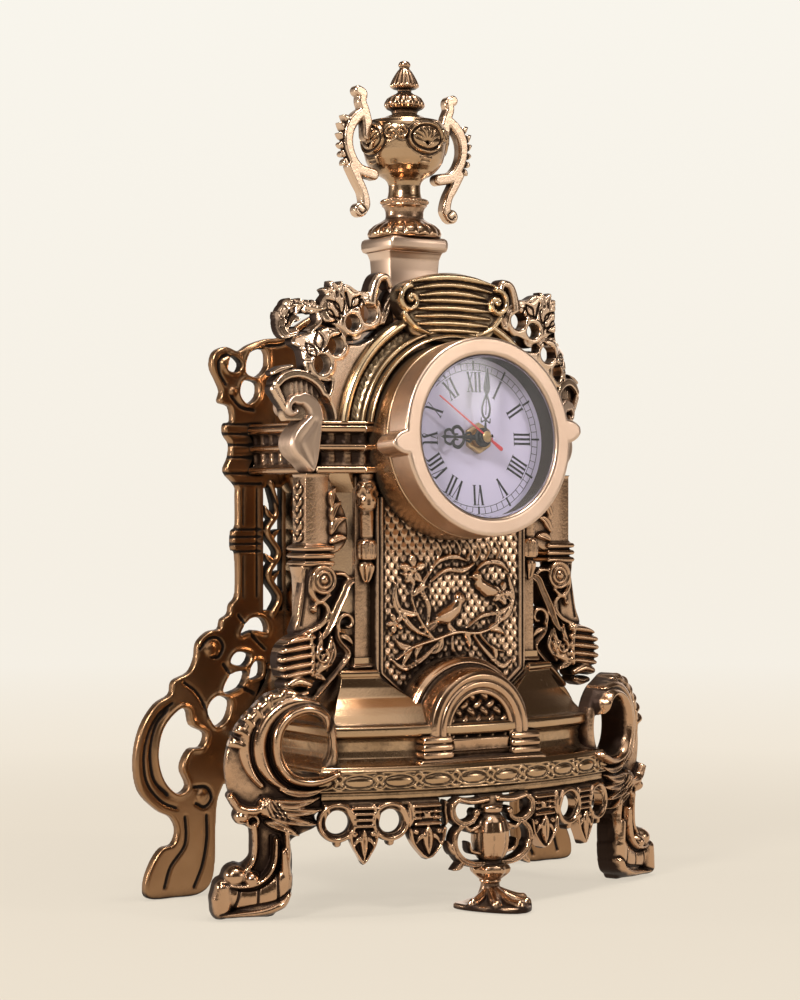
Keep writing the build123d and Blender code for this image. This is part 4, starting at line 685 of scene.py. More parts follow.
# case corners, hood, pediment and entablature
def buildCaseTrim():
    foot = [(6.6, 2.4, 101), (7, 3.2, 101.4), (7.4, 3.8, 102.4), (7, 3.3, 103.4), (6.4, 2.6, 103.7),
        (6.9, 3.2, 104.1), (7.3, 3.7, 105.2), (6.9, 3.2, 106.3), (6.2, 2.2, 106.8), (6, 0.6, 107.4)]
    pieces = squared("cornerFoot", (-43.6, -33), foot, 0.8, 0.3, mirror=True)
    strip = [(5.4, 1.4, 104), (5.4, 1.4, 190)]
    pieces += squared("cornerStrip", (-43.4, -33), strip, 0.6, 2, mirror=True)
    column = [(0.3, 141.6), (1.3, 142.6), (2, 144.5), (3.2, 147.5), (3.5, 149.5), (2.6, 151.2), (2, 151.8),
        (4, 152.4), (4.3, 154.5), (4.3, 159), (4, 160.6), (2.6, 161.4), (3, 162.5), (3.2, 172), (3, 174),
        (3.9, 175.2), (4.6, 177.5), (4.8, 183), (4.2, 186), (3.2, 187.5), (3.6, 190)]

    def flutes(angle, z, r):
        bud = between(z, 142, 144, 149, 151)
        top = between(z, 175.5, 177, 184, 186)
        band = between(z, 152.5, 153.5, 159, 160)
        tip = 0.6 * top * np.cos(5 * angle) * np.sin((z - 176) * 0.9)
        return 0.45 * bud * np.cos(6 * angle) + tip + 0.25 * band * np.cos(10 * angle)

    left = turned("colonnetteLeft", column, flutes, 72, (-44.2, -36.4), 0.35)
    right = turned("colonnetteRight", column, flutes, 72, (44.2, -36.4), 0.35)
    return pieces + [left, right]


# radius and pitch of the beads and of the leaves, and how far they stand out
hoodLook = {"halfGap": 6.4, "radius": 58.0, "beads": (52.9, 2.4, 0.4), "leaves": (51.0, 4.4, 0.28), "foot": 213.0}


def buildHood():
    # mouldings in section: radius and level
    line = [
        (57.9, -31.5), (58, -34.2), (57.7, -36.2), (56.6, -37.7), (55.1, -37.8), (54, -36.8), (53.7, -35),
        (53.3, -34.2), (52.5, -34.2), (52.2, -35), (51.2, -35.3), (50, -35.8), (49.2, -36.8), (48.9, -38.4),
        (48.2, -39.4), (47.3, -39.2), (46.9, -38.2), (46.5, -38.6), (46.2, -40.4), (45.6, -41.8), (44.9, -42.2),
        (44.6, -41), (44.5, -31.5),
    ]
    loop = fineLine(line, 0.35, loop=True)
    start = asin(hoodLook["halfGap"] / hoodLook["radius"])
    angles = np.linspace(start, pi - start, 420)[:, None]
    r, y = (column + 0 * angles for column in loop.T)
    beadAt, beadPitch, beadLift = hoodLook["beads"]
    leafAt, leafPitch, leafLift = hoodLook["leaves"]
    beads = bell(r, beadAt, 0.7) * (y < -33)
    lift = beads * beadLift * np.cos(angles * beadAt / beadPitch * 2 * pi)
    leaves = bell(r, leafAt, 1.3) * (y < -34)
    lift = lift + leaves * leafLift * np.cos(angles * leafAt / leafPitch * 2 * pi + r * 1.2)
    rows = np.stack([r * np.cos(angles), y - lift, archCentre + r * np.sin(angles)], -1)
    rows[:, :, 2] = np.maximum(rows[:, :, 2], hoodLook["foot"])
    soil = lineSoil(-loop[:, 1], 0.24, 6) + np.clip(-lift * 0.4, -0.1, 0.4) + 0.2 * beads
    return skin("hoodMoulding", rows, soil)


pedimentLook = {
    "face": -38.5,
    "reedTop": 278.6,
    # how far each reed lies below the top one, half its length and its width
    "reeds": ((0, 24, 3.4), (3.6, 21, 2.6), (7.2, 17.5, 2.8), (10.6, 19, 2.6), (14.0, 20, 2.8), (17.4, 20, 2.4),
              (20.8, 19, 2.8), (24.0, 17, 2.4)),
}


def buildPediment():
    sheet = Sheet(-32, 32, 244, 283, 0.33)
    sheet.shape(bothSides([
        (0, 248.4), (-12, 249.6), (-21, 252), (-25, 258), (-28.5, 262), (-30, 267), (-28.6, 272.4), (-24, 275.6),
        (-18, 277.6), (-9, 279.8), (0, 280.6),
    ]), 0.4, 4)
    # arched reeds between the two volutes
    for i, (drop, reach, width) in enumerate(pedimentLook["reeds"]):
        top = pedimentLook["reedTop"] - drop
        fall = (3.2 if i < 3 else 1.2) * (reach / 24) ** 2
        left = [(-reach, top - fall), (-reach / 2, top - fall * 0.28)]
        sheet.relief(left + [(0, top)] + [(-u, v) for u, v in left[::-1]], [1.2, width, width, width, 1.2],
                     1.8 - 0.08 * i, 0.6)
    for side in (-1, 1):
        spiral = curl(side * 23.6, 267.6, 6.2, 1.2, 90, 90 - side * 440, 26)
        sheet.relief(spiral, [3.4, 3, 2.6, 2], 2.8, 0.8, perSpan=3)
        sheet.ball(side * 23.6, 267.6, 1.7, 2.4, 1.6)
        sheet.relief([(side * 26, 261), (side * 21, 256), (side * 13, 252.6)], [3.2, 2.6, 1.4], 1.8, 0.6)
    return cast("pedimentCast", sheet, -6, 0, facing(pedimentLook["face"]), 0.9, gain=0.4)


corniceLook = {
    "bends": [(-66, 28), (-66, -31), (-47, -40), (-35.5, -40)],  # from the back plate round to the hood
    "blocks": ((197.2, 2.4), (205.6, 2.0)),  # height and half height of the two hollow bands
    "blockPitch": 8.0,
    "blockLift": 0.9,
}


def buildCornice():
    # how far the entablature stands out at each height
    line = [
        (0.2, 190.2), (1, 190.8), (1.2, 192), (0.8, 193), (-1.4, 193.6), (-2.4, 195), (-2.6, 197.4), (-2.2, 199.4),
        (-0.8, 200.2), (0.4, 200.8), (0.6, 201.9), (0.2, 202.8), (-1.8, 203.2), (-2.5, 204.6), (-2.3, 206.8),
        (-1.2, 207.8), (0.8, 208.4), (1.6, 209.6), (1.4, 210.8), (0.2, 211.2), (0.9, 211.8), (1.4, 212.4),
        (0.8, 213), (-8, 213), (-8, 190.2),
    ]
    loop = fineLine(line, 0.35, loop=True)
    bends = np.array(corniceLook["bends"], float)
    normals = [np.array([b[1] - a[1], a[0] - b[0]]) / hypot(*(b - a)) for a, b in zip(bends, bends[1:])]
    rows = []
    for i, (a, b) in enumerate(zip(bends, bends[1:])):
        before = normals[i] + normals[max(0, i - 1)]
        after = normals[i] + normals[min(2, i + 1)]
        before = before / np.dot(before, normals[i])
        after = after / np.dot(after, normals[i])
        for t in np.linspace(0, 1, int(hypot(*(b - a)) / 0.6)):
            out = before * (1 - t) + after * t
            spot = a * (1 - t) + b * t
            rows.append(np.column_stack([*(spot[:, None] + np.outer(out, loop[:, 0])), loop[:, 1]]))
    rows = np.array(rows)
    # small relief blocks in the two hollow bands
    run = np.cumsum(np.concatenate([[0], np.hypot(*np.diff(rows[:, 0, :2], axis=0).T)]))[:, None]
    z = rows[:, :, 2]
    soil = lineSoil(loop[:, 0], 0.34, 6) + 0 * z
    wave = np.cos(run / corniceLook["blockPitch"] * 2 * pi)
    for middle, half in corniceLook["blocks"]:
        band = np.exp(-((z - middle) / half) ** 4)
        lump = corniceLook["blockLift"] * (band * smoothStep(wave, -0.1, 0.6))
        soil = soil + 0.3 * band * (1 - smoothStep(wave, -0.3, 0.5))
        rows[:, :, 0] -= lump * (run < 58)
        rows[:, :, 1] -= lump * (run >= 58)
    return skin("entablature", rows, soil, mirror=True)


caseTrim = buildCaseTrim()
hoodMoulding = buildHood()
pedimentCast = buildPediment()
cornices = buildCornice()
print("case front and entablature")


# pierced cresting and the S-shaped brackets over the posts
crestLook = {"cornerFrom": 62.0, "lowSetback": 0.36, "highSetback": 0.86}


def towardsCorner(yBase):
    # the outer parts of the cresting stand back, the higher ones more
    def place(local):
        low, high = crestLook["lowSetback"], crestLook["highSetback"]
        setback = low + (high - low) * smoothStep(local[:, 1], 238, 262)
        back = np.maximum(0, -local[:, 0] - crestLook["cornerFrom"]) * setback
        return np.stack([local[:, 0] + 0.66 * back, yBase - local[:, 2] + back, local[:, 1]], 1)
    return place


def buildCrest():
    sheet = Sheet(-93, -24, 188, 281, 0.3)
    # plate with its engraved faces; the hood's round edge bounds it below
    sheet.shape([(-79, 250.5), (-74, 252), (-67, 253.4), (-61, 254), (-56, 252.4), (-52.8, 248.6), (-47, 247.5),
        (-40, 250), (-30, 256), (-30, 246), (-42, 236), (-52, 224), (-57, 213), (-66, 213), (-66.5, 220),
        (-62.5, 224), (-60.5, 231.5), (-64, 232.3), (-70, 236.5), (-72, 243), (-76, 247)], 2.6, 4)
    sheet.shape([(-68, 258), (-66.5, 264), (-62.5, 269), (-57, 272), (-52, 273), (-48, 270.6), (-43, 270.8),
        (-38, 268.4), (-35, 264), (-34, 258), (-37, 254), (-42, 252.6), (-47, 250.6), (-52, 250.8), (-56.5, 253.6),
        (-62, 255.6)], 2.6, 4)
    sheet.shape([(-40, 250), (-34, 256), (-33, 266), (-29, 272), (-26.5, 262), (-27, 254)], 0.3, 4)
    # shell behind the arc
    sheet.shape([(-86, 226), (-82, 231), (-72, 231.5), (-66, 227), (-64, 219), (-66, 212), (-82, 212)], -1.5, 4)
    for i in range(6):
        u = -80 + 2.6 * i
        sheet.relief([(u + 0.6, 223.5), (u, 230.6 - 0.25 * (i - 2) ** 2)], [1.3, 2.2], 2, -1.4)
    # arc band and the ribbon above it
    sheet.stroke([(-88.4, 229.5), (-85, 232.3), (-79, 233.8), (-72, 232.4), (-66, 228.2), (-62.4, 221),
        (-62.6, 214)], [4.4, 4.8, 4.6, 4.4, 4.2, 3.8, 3.2], 3.4, 0, "flat")
    sheet.stroke([(-89, 227), (-86.5, 223), (-83.6, 218)], [5, 4, 1.6], 2.6, 0.4, "leaf")
    sheet.stroke([(-90, 234), (-86, 235.5), (-80, 237)], [2.4, 3, 1.6], 2, 0.2)
    sheet.stroke([(-79, 248.4), (-74.6, 246.6), (-73.2, 242), (-72.8, 235.5)], [4.4, 6.2, 4.6, 3.2], 3, 0, "flat")
    for z in (245.6, 244, 239.6):
        sheet.groove([(-77, z), (-70, z - 0.5)], 0.7, 0.8)
    # the two paired holes with their rolled rims
    for u, v, r, width in ((-58, 246.2, 5.4, 2.6), (-65, 238, 5.6, 2.4), (-41, 261, 5.5, 2.6),
            (-49.3, 256.6, 4.8, 2.5)):
        sheet.ring(u, v, r, width, 0.9, 2.1)
    sheet.stroke([(-78, 249.5), (-70, 250.6), (-62, 253), (-55, 251), (-51.6, 246), (-53.6, 240.6), (-59, 240)],
        [2, 2.6, 3, 3.4, 3, 2.8, 1.6], 1.9, 1, "rim")
    sheet.stroke([(-72, 243), (-71, 236), (-66.5, 232.2), (-60, 232), (-57.4, 236.5)],
        [2, 3, 3.2, 2.8, 1.4], 1.9, 1, "rim")
    sheet.stroke([(-60, 257), (-56, 254), (-52, 251), (-46.6, 250.4), (-43.6, 254)],
        [2, 3, 3.2, 3, 1.6], 1.9, 1, "rim")
    sheet.stroke([(-54, 266), (-52.6, 271.5), (-47, 269), (-40, 268.6), (-35.4, 264.4), (-35, 257), (-39, 254)],
        [2, 4, 4.4, 3.6, 3.2, 3, 1.8], 1.9, 1, "rim")
    for root, tip, width, bend in (((-64.5, 243.5), (-55.4, 251.4), 3.2, -0.1),
            ((-66, 244), (-67.6, 252.4), 3, 0.12), ((-68, 241), (-74, 247), 2.6, 0.1),
            ((-50, 263), (-45.4, 268.4), 2.6, 0.1), ((-51, 262.6), (-53, 269.6), 2.6, -0.1),
            ((-45, 262), (-44.6, 267), 2, 0.1), ((-56, 258), (-62.6, 266), 3, 0.15),
            ((-57.6, 256.6), (-66.6, 261), 2.8, 0.15), ((-54.6, 260), (-57.6, 270), 3, 0.1),
            ((-33, 262), (-28.6, 268), 2.6, 0.1), ((-38, 251), (-30, 255.6), 2.6, 0.1)):
        # veins cut in the flat faces
        root, tip = np.array(root), np.array(tip)
        aside = np.array([tip[1] - root[1], root[0] - tip[0]]) * (0.16 + bend)
        middle = (root + tip) / 2
        sheet.groove([root, middle + aside, tip], 0.7, 1.3, 0.75)
        sheet.groove([root, middle - aside, tip], 0.7, 1.3, 0.75)
    # top leaves, the shell scroll on the left and the horn beside the pedestal
    sheet.leaves((
        ((-59, 266), (-64, 270.8), 5, -0.2), ((-58, 266), (-60, 274.4), 5.4, -0.12),
        ((-55, 266), (-54.4, 274.6), 5, 0.1), ((-70, 261), (-69.6, 266.4), 4.4, 0),
        ((-84, 262), (-82, 267.6), 4.6, 0.1), ((-79, 261), (-76.6, 267.4), 4.8, 0),
        ((-85, 257), (-89, 262), 4, 0.1), ((-74.4, 261.4), (-72.6, 266.6), 4, 0),
    ), 2.2, 0.8)
    sheet.stroke([(-78.6, 252.4), (-84, 252), (-86.4, 257), (-84.4, 262.4), (-78.6, 264.6), (-72, 263), (-66, 262)],
        [3.6, 5, 5.6, 6.2, 5.6, 4.6, 4], 3, 0.6, "ridge")
    sheet.stroke([(-82.6, 255.6), (-79.6, 258.8), (-76.8, 256.8), (-78.6, 254.6)], [2.4, 2.8, 2.4, 1.6], 2.4, 0.8)
    for i in range(5):
        a = radians(205 - 38 * i)
        sheet.groove([(-80 + 3.6 * cos(a), 258 + 3.6 * sin(a)), (-80 + 8.4 * cos(a),
            258 + 8.4 * sin(a))], 0.8, 1)
    sheet.stroke([(-71, 252.6), (-66.6, 256), (-66, 260)], [2.4, 2.8, 2.2], 2.2, 0.6)
    sheet.stroke([(-39.4, 262), (-38.6, 270), (-36.2, 276.2), (-32, 277.4), (-30, 273.4)],
        [5, 5.4, 5, 4, 3], 3.6, 0.6)
    sheet.stroke([(-33.4, 258), (-31, 264), (-28.4, 270)], [4, 4.6, 2], 2.4, 0.4, "leaf")
    # openings
    for u, v, r in ((-58, 246.2, 4.1), (-65, 238, 4.3), (-41, 261, 4.1), (-49.3, 256.6, 3.5), (-51, 248.6, 2),
            (-62.2, 227.4, 1.8)):
        sheet.drill(u, v, r)
    sheet.hole([(-79, 254.4), (-76, 259.2), (-72.6, 258.6), (-69.6, 255), (-73, 252.8)], 4)
    sheet.hole([(-63.4, 213), (-66, 219), (-64.6, 224), (-60.4, 220), (-58.6, 213)], 4)
    sheet.drill(0, archCentre, 57.6)
    sheet.edge = np.maximum(sheet.edge, 213.1 - sheet.gridV)
    crests = cast("crest", sheet, -4.6, 0, towardsCorner(-31), 0.9, mirror=True, gain=0.4)

    # polished S-shaped bracket over the post
    sheet = Sheet(-91, -62, 189, 227, 0.3)
    spiral = curl(-79.6, 218.4, 1.2, 4.6, 330, 60, 12)
    path = np.vstack([spiral, [(-74.6, 222.8), (-70.2, 219.8), (-68.6, 215.4), (-70, 211)]])
    sheet.stroke(path, [1.8, 2.4, 2.8, 3.2, 3.8, 5, 6.6, 8], 1.2, 0, "flat", perSpan=4)
    sheet.shape([(-65.6, 215.6), (-70, 217), (-73.6, 214.4), (-77.6, 211), (-80.8, 206.6), (-81.6, 202.4),
        (-79.6, 198.2), (-75, 194.4), (-71, 190.6), (-69, 191.4), (-67.4, 196), (-66.2, 203), (-65.6, 209)], 1.2, 5)
    # filed hollows that follow the S
    sheet.groove([(-69.6, 213), (-73.2, 208.6), (-76.6, 204), (-74.4, 198.6), (-71.2, 193.6)], 2.6, 0.25, 0)
    sheet.groove([(-67.4, 212), (-69.2, 206), (-70.6, 200), (-69.8, 194.4)], 0.5, 0.2, 0.2)
    brackets = cast("scrollBracket", sheet, -9, 2.6, towardsCorner(-31), 1.3, mirror=True, gain=0.3)
    return crests, brackets


# posts with their scrolled brackets
def buildSideFrame():
    post = [(6, 6, 158.6), (6, 6, 189.4), (6.4, 6.4, 190)]
    pieces = squared("squarePost", (-66, -25), post, 0.9, 0.6, mirror=True)
    rings = []
    for i in range(3):
        z = 149.4 + 3.3 * i
        rings += [(6.3, 6.3, z), (7.7, 7.7, z + 0.35), (8.1, 8.1, z + 1.3), (7.7, 7.7, z + 2.25),
            (6.6, 6.6, z + 2.7)]
    rings += [(6.1, 6.1, 159.6)]
    pieces += squared("postRings", (-66, -25), rings, 1, 0.25, mirror=True)
    neck = [(4.6, 5, 119), (5, 5.2, 128), (4.9, 5.2, 138), (5.2, 5.4, 145), (6, 6, 149.6)]
    pieces += squared("postNeck", (-68.4, -25.4), neck, 1.6, 0.6, mirror=True)
    # leaf chains on the post's two side faces
    chain = Sheet(-5, 5, 159, 188, 0.3)
    for i in range(5):
        z = 162 + 5.2 * i
        chain.leaf((0, z - 1.6), (-3, z + 2.4), 2.6, 1.3, 0.2, 0.3)
        chain.leaf((0, z - 1.6), (3, z + 2.4), 2.6, 1.3, -0.2, 0.3)
        chain.ball(0, z + 2.2, 1.5, 1.6, 0.2, cut=True)
    chain.stroke([(0, 160), (0, 187)], [1, 1], 0.8)
    for face, name in ((-72, "outerChain"), (-60, "innerChain")):
        sign = -1 if name == "outerChain" else 1
        pieces += cast(name, chain, -0.8, 0.0, lambda q, f=face, s=sign: np.stack(
            [f + s * q[:, 2], -25 + q[:, 0], q[:, 1]], 1), 0.4, mirror=True)

    sheet = Sheet(-90, -45, 90, 190, 0.32)
    # neck faces, rosette and curl
    sheet.shape([(-73, 150), (-73.4, 143), (-74.6, 136), (-76, 128), (-78, 120), (-66, 119), (-66, 128),
        (-63.6, 137), (-61, 145), (-61.4, 150)], 0.6, 4)
    sheet.groove([(-72, 148), (-72.6, 138), (-75, 124)], 0.8, 0.7)
    for r, lift in ((5.6, 2), (3.4, 2.2)):
        sheet.ring(-64.4, 143.6, r, 2.4, lift, 1.4)
    sheet.ball(-64.4, 143.6, 2.3, 2.6, 2, cut=True)
    sheet.stroke([(-70.4, 143), (-70, 138), (-66.4, 134), (-61.4, 137)], [2.2, 2.8, 3.2, 2.2], 2.4, 0.8)
    sheet.stroke([(-69.6, 131.6), (-66.2, 134), (-62.4, 131.6), (-62.4, 127.6), (-66, 123.6), (-72, 120.8),
        (-78.6, 118.4)], [1.6, 2.2, 2.6, 2.8, 2.6, 2.4, 1.6], 2.8, 1.2, "rim")
    sheet.ball(-69, 131, 1.7, 1.6, 1.6, cut=True)
    # shell with its ribs, and the acanthus beside it
    sheet.shape([(-66, 122), (-74, 121), (-80.4, 119), (-85, 115.4), (-87, 110), (-86.2, 104), (-84, 101.2),
        (-74, 100.6), (-70, 104), (-66, 112)], 0.6, 4)
    for i, (z, half) in enumerate(((117.6, 6.5), (113.8, 7.8), (110, 8.2), (106.2, 8), (102.8, 7))):
        sheet.relief([(-78 - half * 0.9, z - 0.6), (-78, z + 0.4), (-70.6, z + 1.2)], [3.4, 4.2, 3.6], 4.4, 0.6)
    sheet.stroke([(-72.5, 120), (-71, 112), (-71.4, 102)], [2.2, 2.6, 2.2], 4.2, 1)
    sheet.leaves((
        ((-70, 106), (-61, 119.6), 4.4, -0.18), ((-70, 104), (-59.6, 113.4), 4.2, -0.12),
        ((-70.6, 102.6), (-60.4, 106.6), 4, 0.05), ((-70, 102), (-63.6, 99.4), 3.6, 0.1),
        ((-70, 109), (-66.4, 121.4), 3.8, -0.1),
    ), 3, 1.4)
    sheet.ring(-65.6, 110.6, 2.8, 1.8, 1.8, 3, False)
    sheet.ball(-65.6, 110.6, 1.4, 1.4, 3.2)
    sheet.stroke([(-82.6, 98.6), (-78, 99.8), (-72.6, 98.4)], [4.6, 6, 4.4], 4.4, 1)
    sheet.stroke([(-80.6, 94.4), (-77, 93.8), (-73.4, 95)], [3.4, 4.2, 3.2], 3.4, 0.8)
    sheet.groove([(-84, 96.6), (-78, 96.8), (-72, 96.4)], 0.8, 1.2)
    # strands between the post and the case, with see-through gaps
    sheet.stroke([(-46.6, 144), (-51.6, 142), (-54.6, 136.4), (-58.4, 129.4), (-62, 122), (-66, 117)],
        [3, 4.4, 4.6, 4.8, 4, 2], 3.2, 0.8, "rim")
    sheet.stroke([(-58.6, 146), (-54, 146), (-50.6, 143.6)], [2, 2.8, 2.2], 2.2, 0.6)
    sheet.stroke(curl(-52.4, 124.4, 5, 1.6, 215, -95, 16), [3, 2.8, 2.6, 2], 2.6, 0.8)
    sheet.stroke([(-57.4, 126), (-56.4, 117.6), (-51, 111), (-55.4, 104.6), (-62, 98.6), (-68, 92.6)],
        [2.8, 3.4, 3.8, 4.2, 4.4, 3], 2.8, 0.6, "ridge")
    sheet.leaf((-56, 119), (-48.6, 114), 3.4, 2.2, 0.15, 0.6)
    sheet.leaf((-53.6, 109), (-47.6, 103.6), 3.2, 2, -0.15, 0.6)
    sheet.stroke([(-60.4, 118), (-58.6, 111), (-63, 104)], [2.6, 3, 2.4], 2.2, 0.6)
    # leaf between the post and the colonnette, high up
    sheet.shape([(-61, 187), (-56, 180.6), (-51.6, 172), (-50.4, 163.4), (-52.6, 158), (-57.6, 155), (-61, 158)],
        0.4, 4)
    sheet.leaves((
        ((-60, 164), (-52, 170.6), 4.6, 0.2), ((-60, 170), (-54.6, 178), 4.2, 0.15),
        ((-60, 176), (-57.4, 184.6), 3.6, 0.1), ((-60, 160), (-51.4, 161.4), 4, 0.15),
    ), 2.2, 0.6)
    pieces += cast("leafBracket", sheet, -6, 0, facing(-31), 0.9, mirror=True, gain=0.42)
    return pieces


crests, scrollBrackets = buildCrest()
sideFrames = buildSideFrame()
print("cresting and posts")


# scroll-footed front legs, each in its own plane
legLook = {"x": 80.0, "y": -44.5, "turn": 24.4, "back": -6.2, "front": 5.6, "hole": (10.4, 13.0, 73.5)}


def legPlane(local):
    a = radians(legLook["turn"])
    s, z, w = local.T
    return np.stack([-legLook["x"] - s * cos(a) - w * sin(a),
                     legLook["y"] + s * sin(a) - w * cos(a), z], 1)


def buildLeg():
    sheet = Sheet(-15, 44, -1, 100, 0.34)
    sheet.shape([(-13, 78), (-11, 85.4), (-5.4, 91.6), (1, 94.6), (8, 97.6), (13.2, 97), (18.2, 95), (22.5, 91),
        (27.4, 86), (31.6, 80), (34.2, 73), (35.4, 65), (34.6, 57), (32.6, 51), (30, 47.6), (31.6, 44.6),
        (30.4, 40.6), (27, 39.4), (24.8, 37.4), (24.6, 30), (25, 26), (28.4, 23), (31.8, 23.6), (36, 20),
        (38.6, 15), (41.2, 8), (41, 3), (37.6, 0.6), (31.8, 0), (16.6, 0), (13.2, 2), (9.8, 7), (7.7, 12),
        (6.4, 20), (6.4, 27), (7.2, 32), (3, 35), (-4.6, 38.6), (-3.4, 43), (-7.4, 47), (-6.4, 52), (-11.6, 55.4),
        (-13.4, 60)], 0.4, 3)
    ru, rv, hz = legLook["hole"]
    # stepped C ridges around the volute, lower and lower outwards
    for grow, width, lift, start, end in ((17, 5.6, 2.8, 96, -44), (10.6, 7, 4.6, 108, -64)):
        sheet.relief(oval(1, hz - 0.6, ru + grow - 1.4, rv + grow * 0.62, start, end, 18),
            [2.4, width, width, width, 2.6], lift, 0.4, perSpan=3)
    # the thick lip, from its inward hook at the top round to the strand that runs under the border
    lip = [(-7.6, 80), (-7.4, 85.4), (-3.4, 88.4), (2, 88.6), (8, 86), (12.2, 80.6), (13.4, 73.4), (12, 66),
        (7.6, 60.4), (1, 58.2), (-6, 58.6), (-13, 61.4)]
    sheet.stroke(lip, [3.4, 4.6, 5.4, 6, 6.2, 6.2, 6, 5.6, 5, 3.8], 7.4, 0.4)
    sheet.stroke([(-7, 79), (-3.6, 79.6), (-2.4, 83)], [2.2, 2.8, 1.8], 5, 0.4)
    # gadroons along the shoulder
    for i in range(9):
        a = radians(104 - 11.5 * i)
        inner = (2 + 26.6 * cos(a) * 0.98, 68 + 25.4 * sin(a))
        outer = (2 + 33.2 * cos(a + 0.10), 66 + 32.0 * sin(a + 0.10))
        sheet.relief([inner, outer], [3.4, 4.8], 2.6, 1, perSpan=4)
    # leaves under the volute
    sheet.leaves((
        ((16, 50), (-5.4, 51.4), 5.2, 0.1), ((16, 47), (-7.6, 46), 5, 0.06),
        ((17, 44), (-4.6, 39.6), 5, 0.02), ((18, 41), (3.4, 34.6), 4.6, -0.04),
        ((12, 55), (-9.4, 56), 4.2, 0.12),
    ), 3.6, 1.2)
    sheet.ball(17.4, 47.4, 4.6, 4.2, 1.4)
    for i in range(4):
        sheet.groove([(20 - 2.2 * i, 52 - i), (16 - 2.6 * i, 44 - i * 0.8)], 0.8, 1)
    sheet.stroke([(33, 52), (29, 47), (22, 46), (17, 49)], [3.6, 4.4, 4.4, 3], 4.4, 0.8)
    sheet.ball(28.4, 43.6, 3.7, 4.6, 0.6, cut=True)
    sheet.ring(23.6, 41.4, 2.4, 1.8, 2, 1.4)
    # shin: a flat panel between two rolls, with a long leaf
    sheet.stroke([(23, 40), (22.4, 32), (23.4, 25), (27, 20)], [3, 2.6, 2.8, 3.4], 3.6, 0.8)
    sheet.stroke([(9.4, 38), (8.6, 28), (9.6, 18), (9.8, 10)], [2.8, 3.4, 3.6, 3], 3.4, 0.8)
    # foot: a smooth toe, two lobes above it, a rolled band that runs up the shin, flat plates and a sole
    sheet.stroke([(36.4, 12.4), (30, 9.6), (22, 9.4), (14, 12), (10.6, 17)], [8, 12, 13, 14, 9], 4.2, 1.2)
    sheet.stroke([(36.6, 13.6), (36.8, 8.4), (37.4, 3.6)], [8.2, 10.4, 8.4], 5.4, 1.4)
    sheet.stroke([(10.6, 28), (9.6, 18), (10.4, 11)], [4.2, 5.6, 5], 4.2, 1.2)
    sheet.ball(31.2, 18.4, 5.6, 5.4, 1.6, cut=True, flat=0.9)
    sheet.ball(24.4, 17.2, 4.2, 6.4, 1.6, cut=True, flat=0.9)
    sheet.stroke([(34.6, 14.6), (29, 14.2), (22.4, 15.2), (17.2, 19), (14.4, 25), (13.8, 34)],
        [1.6, 2.2, 2.8, 3, 2.8, 2.2], 5.6, 1.6)
    sheet.stroke([(38.4, 1.4), (29, 2.2), (19, 3.2), (11.4, 6), (8.4, 10)], [2.6, 3.6, 4.6, 5, 3.4], 4.6, 1.4)
    for line in (
        ((36.8, 15.8), (29, 13), (22, 13.4), (16, 17.2), (12.4, 23), (12, 34)),
        ((21.6, 17.2), (16.6, 21.8), (15.6, 28), (15.8, 35)), ((29.4, 13), (30.2, 9), (31.8, 4.8)),
        ((21.4, 13.2), (21.6, 7)), ((13.4, 20), (12.8, 7.6)), ((37.6, 2.4), (26, 5.4), (14, 7.6), (8, 12)),
    ):
        sheet.groove(line, 0.8, 1.1)
    hole = (np.hypot((sheet.gridU - 0.6) / ru, (sheet.gridV - hz) / rv) - 1) * min(ru, rv)
    sheet.edge = np.maximum(sheet.edge, -hole)
    sheet.edge = np.maximum(sheet.edge, -sheet.gridV)
    return cast("scrollLeg", sheet, legLook["back"], legLook["front"] - 3.2, legPlane, 3.2, mirror=True, gain=0.34)


# pierced aprons on the bow, and the centre piece with its foot
def bowPlane(inset, front=0.0):
    centre = bow["front"] + bow["radius"]
    radius = bow["radius"] - inset

    def mapping(local):
        a = local[:, 0] / radius
        r = radius + local[:, 2] + front
        return np.stack([r * np.sin(a), centre - r * np.cos(a), local[:, 1]], 1)
    return mapping


def pointedDrop(sheet, u, half, neck, tip):
    sheet.shape([(u - neck, 49), (u + neck, 49), (u + neck, 37), (u - neck, 37)], 0.8, 1)
    for i in range(4):
        sheet.relief([(u - neck + 0.6, 38.4 + 2.6 * i), (u + neck - 0.6, 38.4 + 2.6 * i)], [1.9, 1.9], 1.8, 1)
    sheet.shape([(u - half, 36.4), (u, 37.4), (u + half, 36.4), (u + half * 0.86, 31), (u + half * 0.45, 26),
                 (u, tip), (u - half * 0.45, 26), (u - half * 0.86, 31)], 0.8, 4)
    sheet.leaf((u, 36.6), (u, tip + 2.4), half * 0.62, 2.8, 0, 0.8, False)
    for side in (-1, 1):
        edge = side * half
        sheet.relief([(u + edge * 0.9, 36), (u + edge * 0.74, 30), (u + edge * 0.3, 25), (u, tip + 1)],
                     [2, 2, 1.8, 1.2], 2.2, 0.8)
        sheet.leaf((u, 33.6), (u + edge * 0.62, 29.4), 2.4, 2, 0.2 * side, 0.9, False)
        sheet.ball(u + edge * 0.6, 35, 1.5, 1.6, 1)


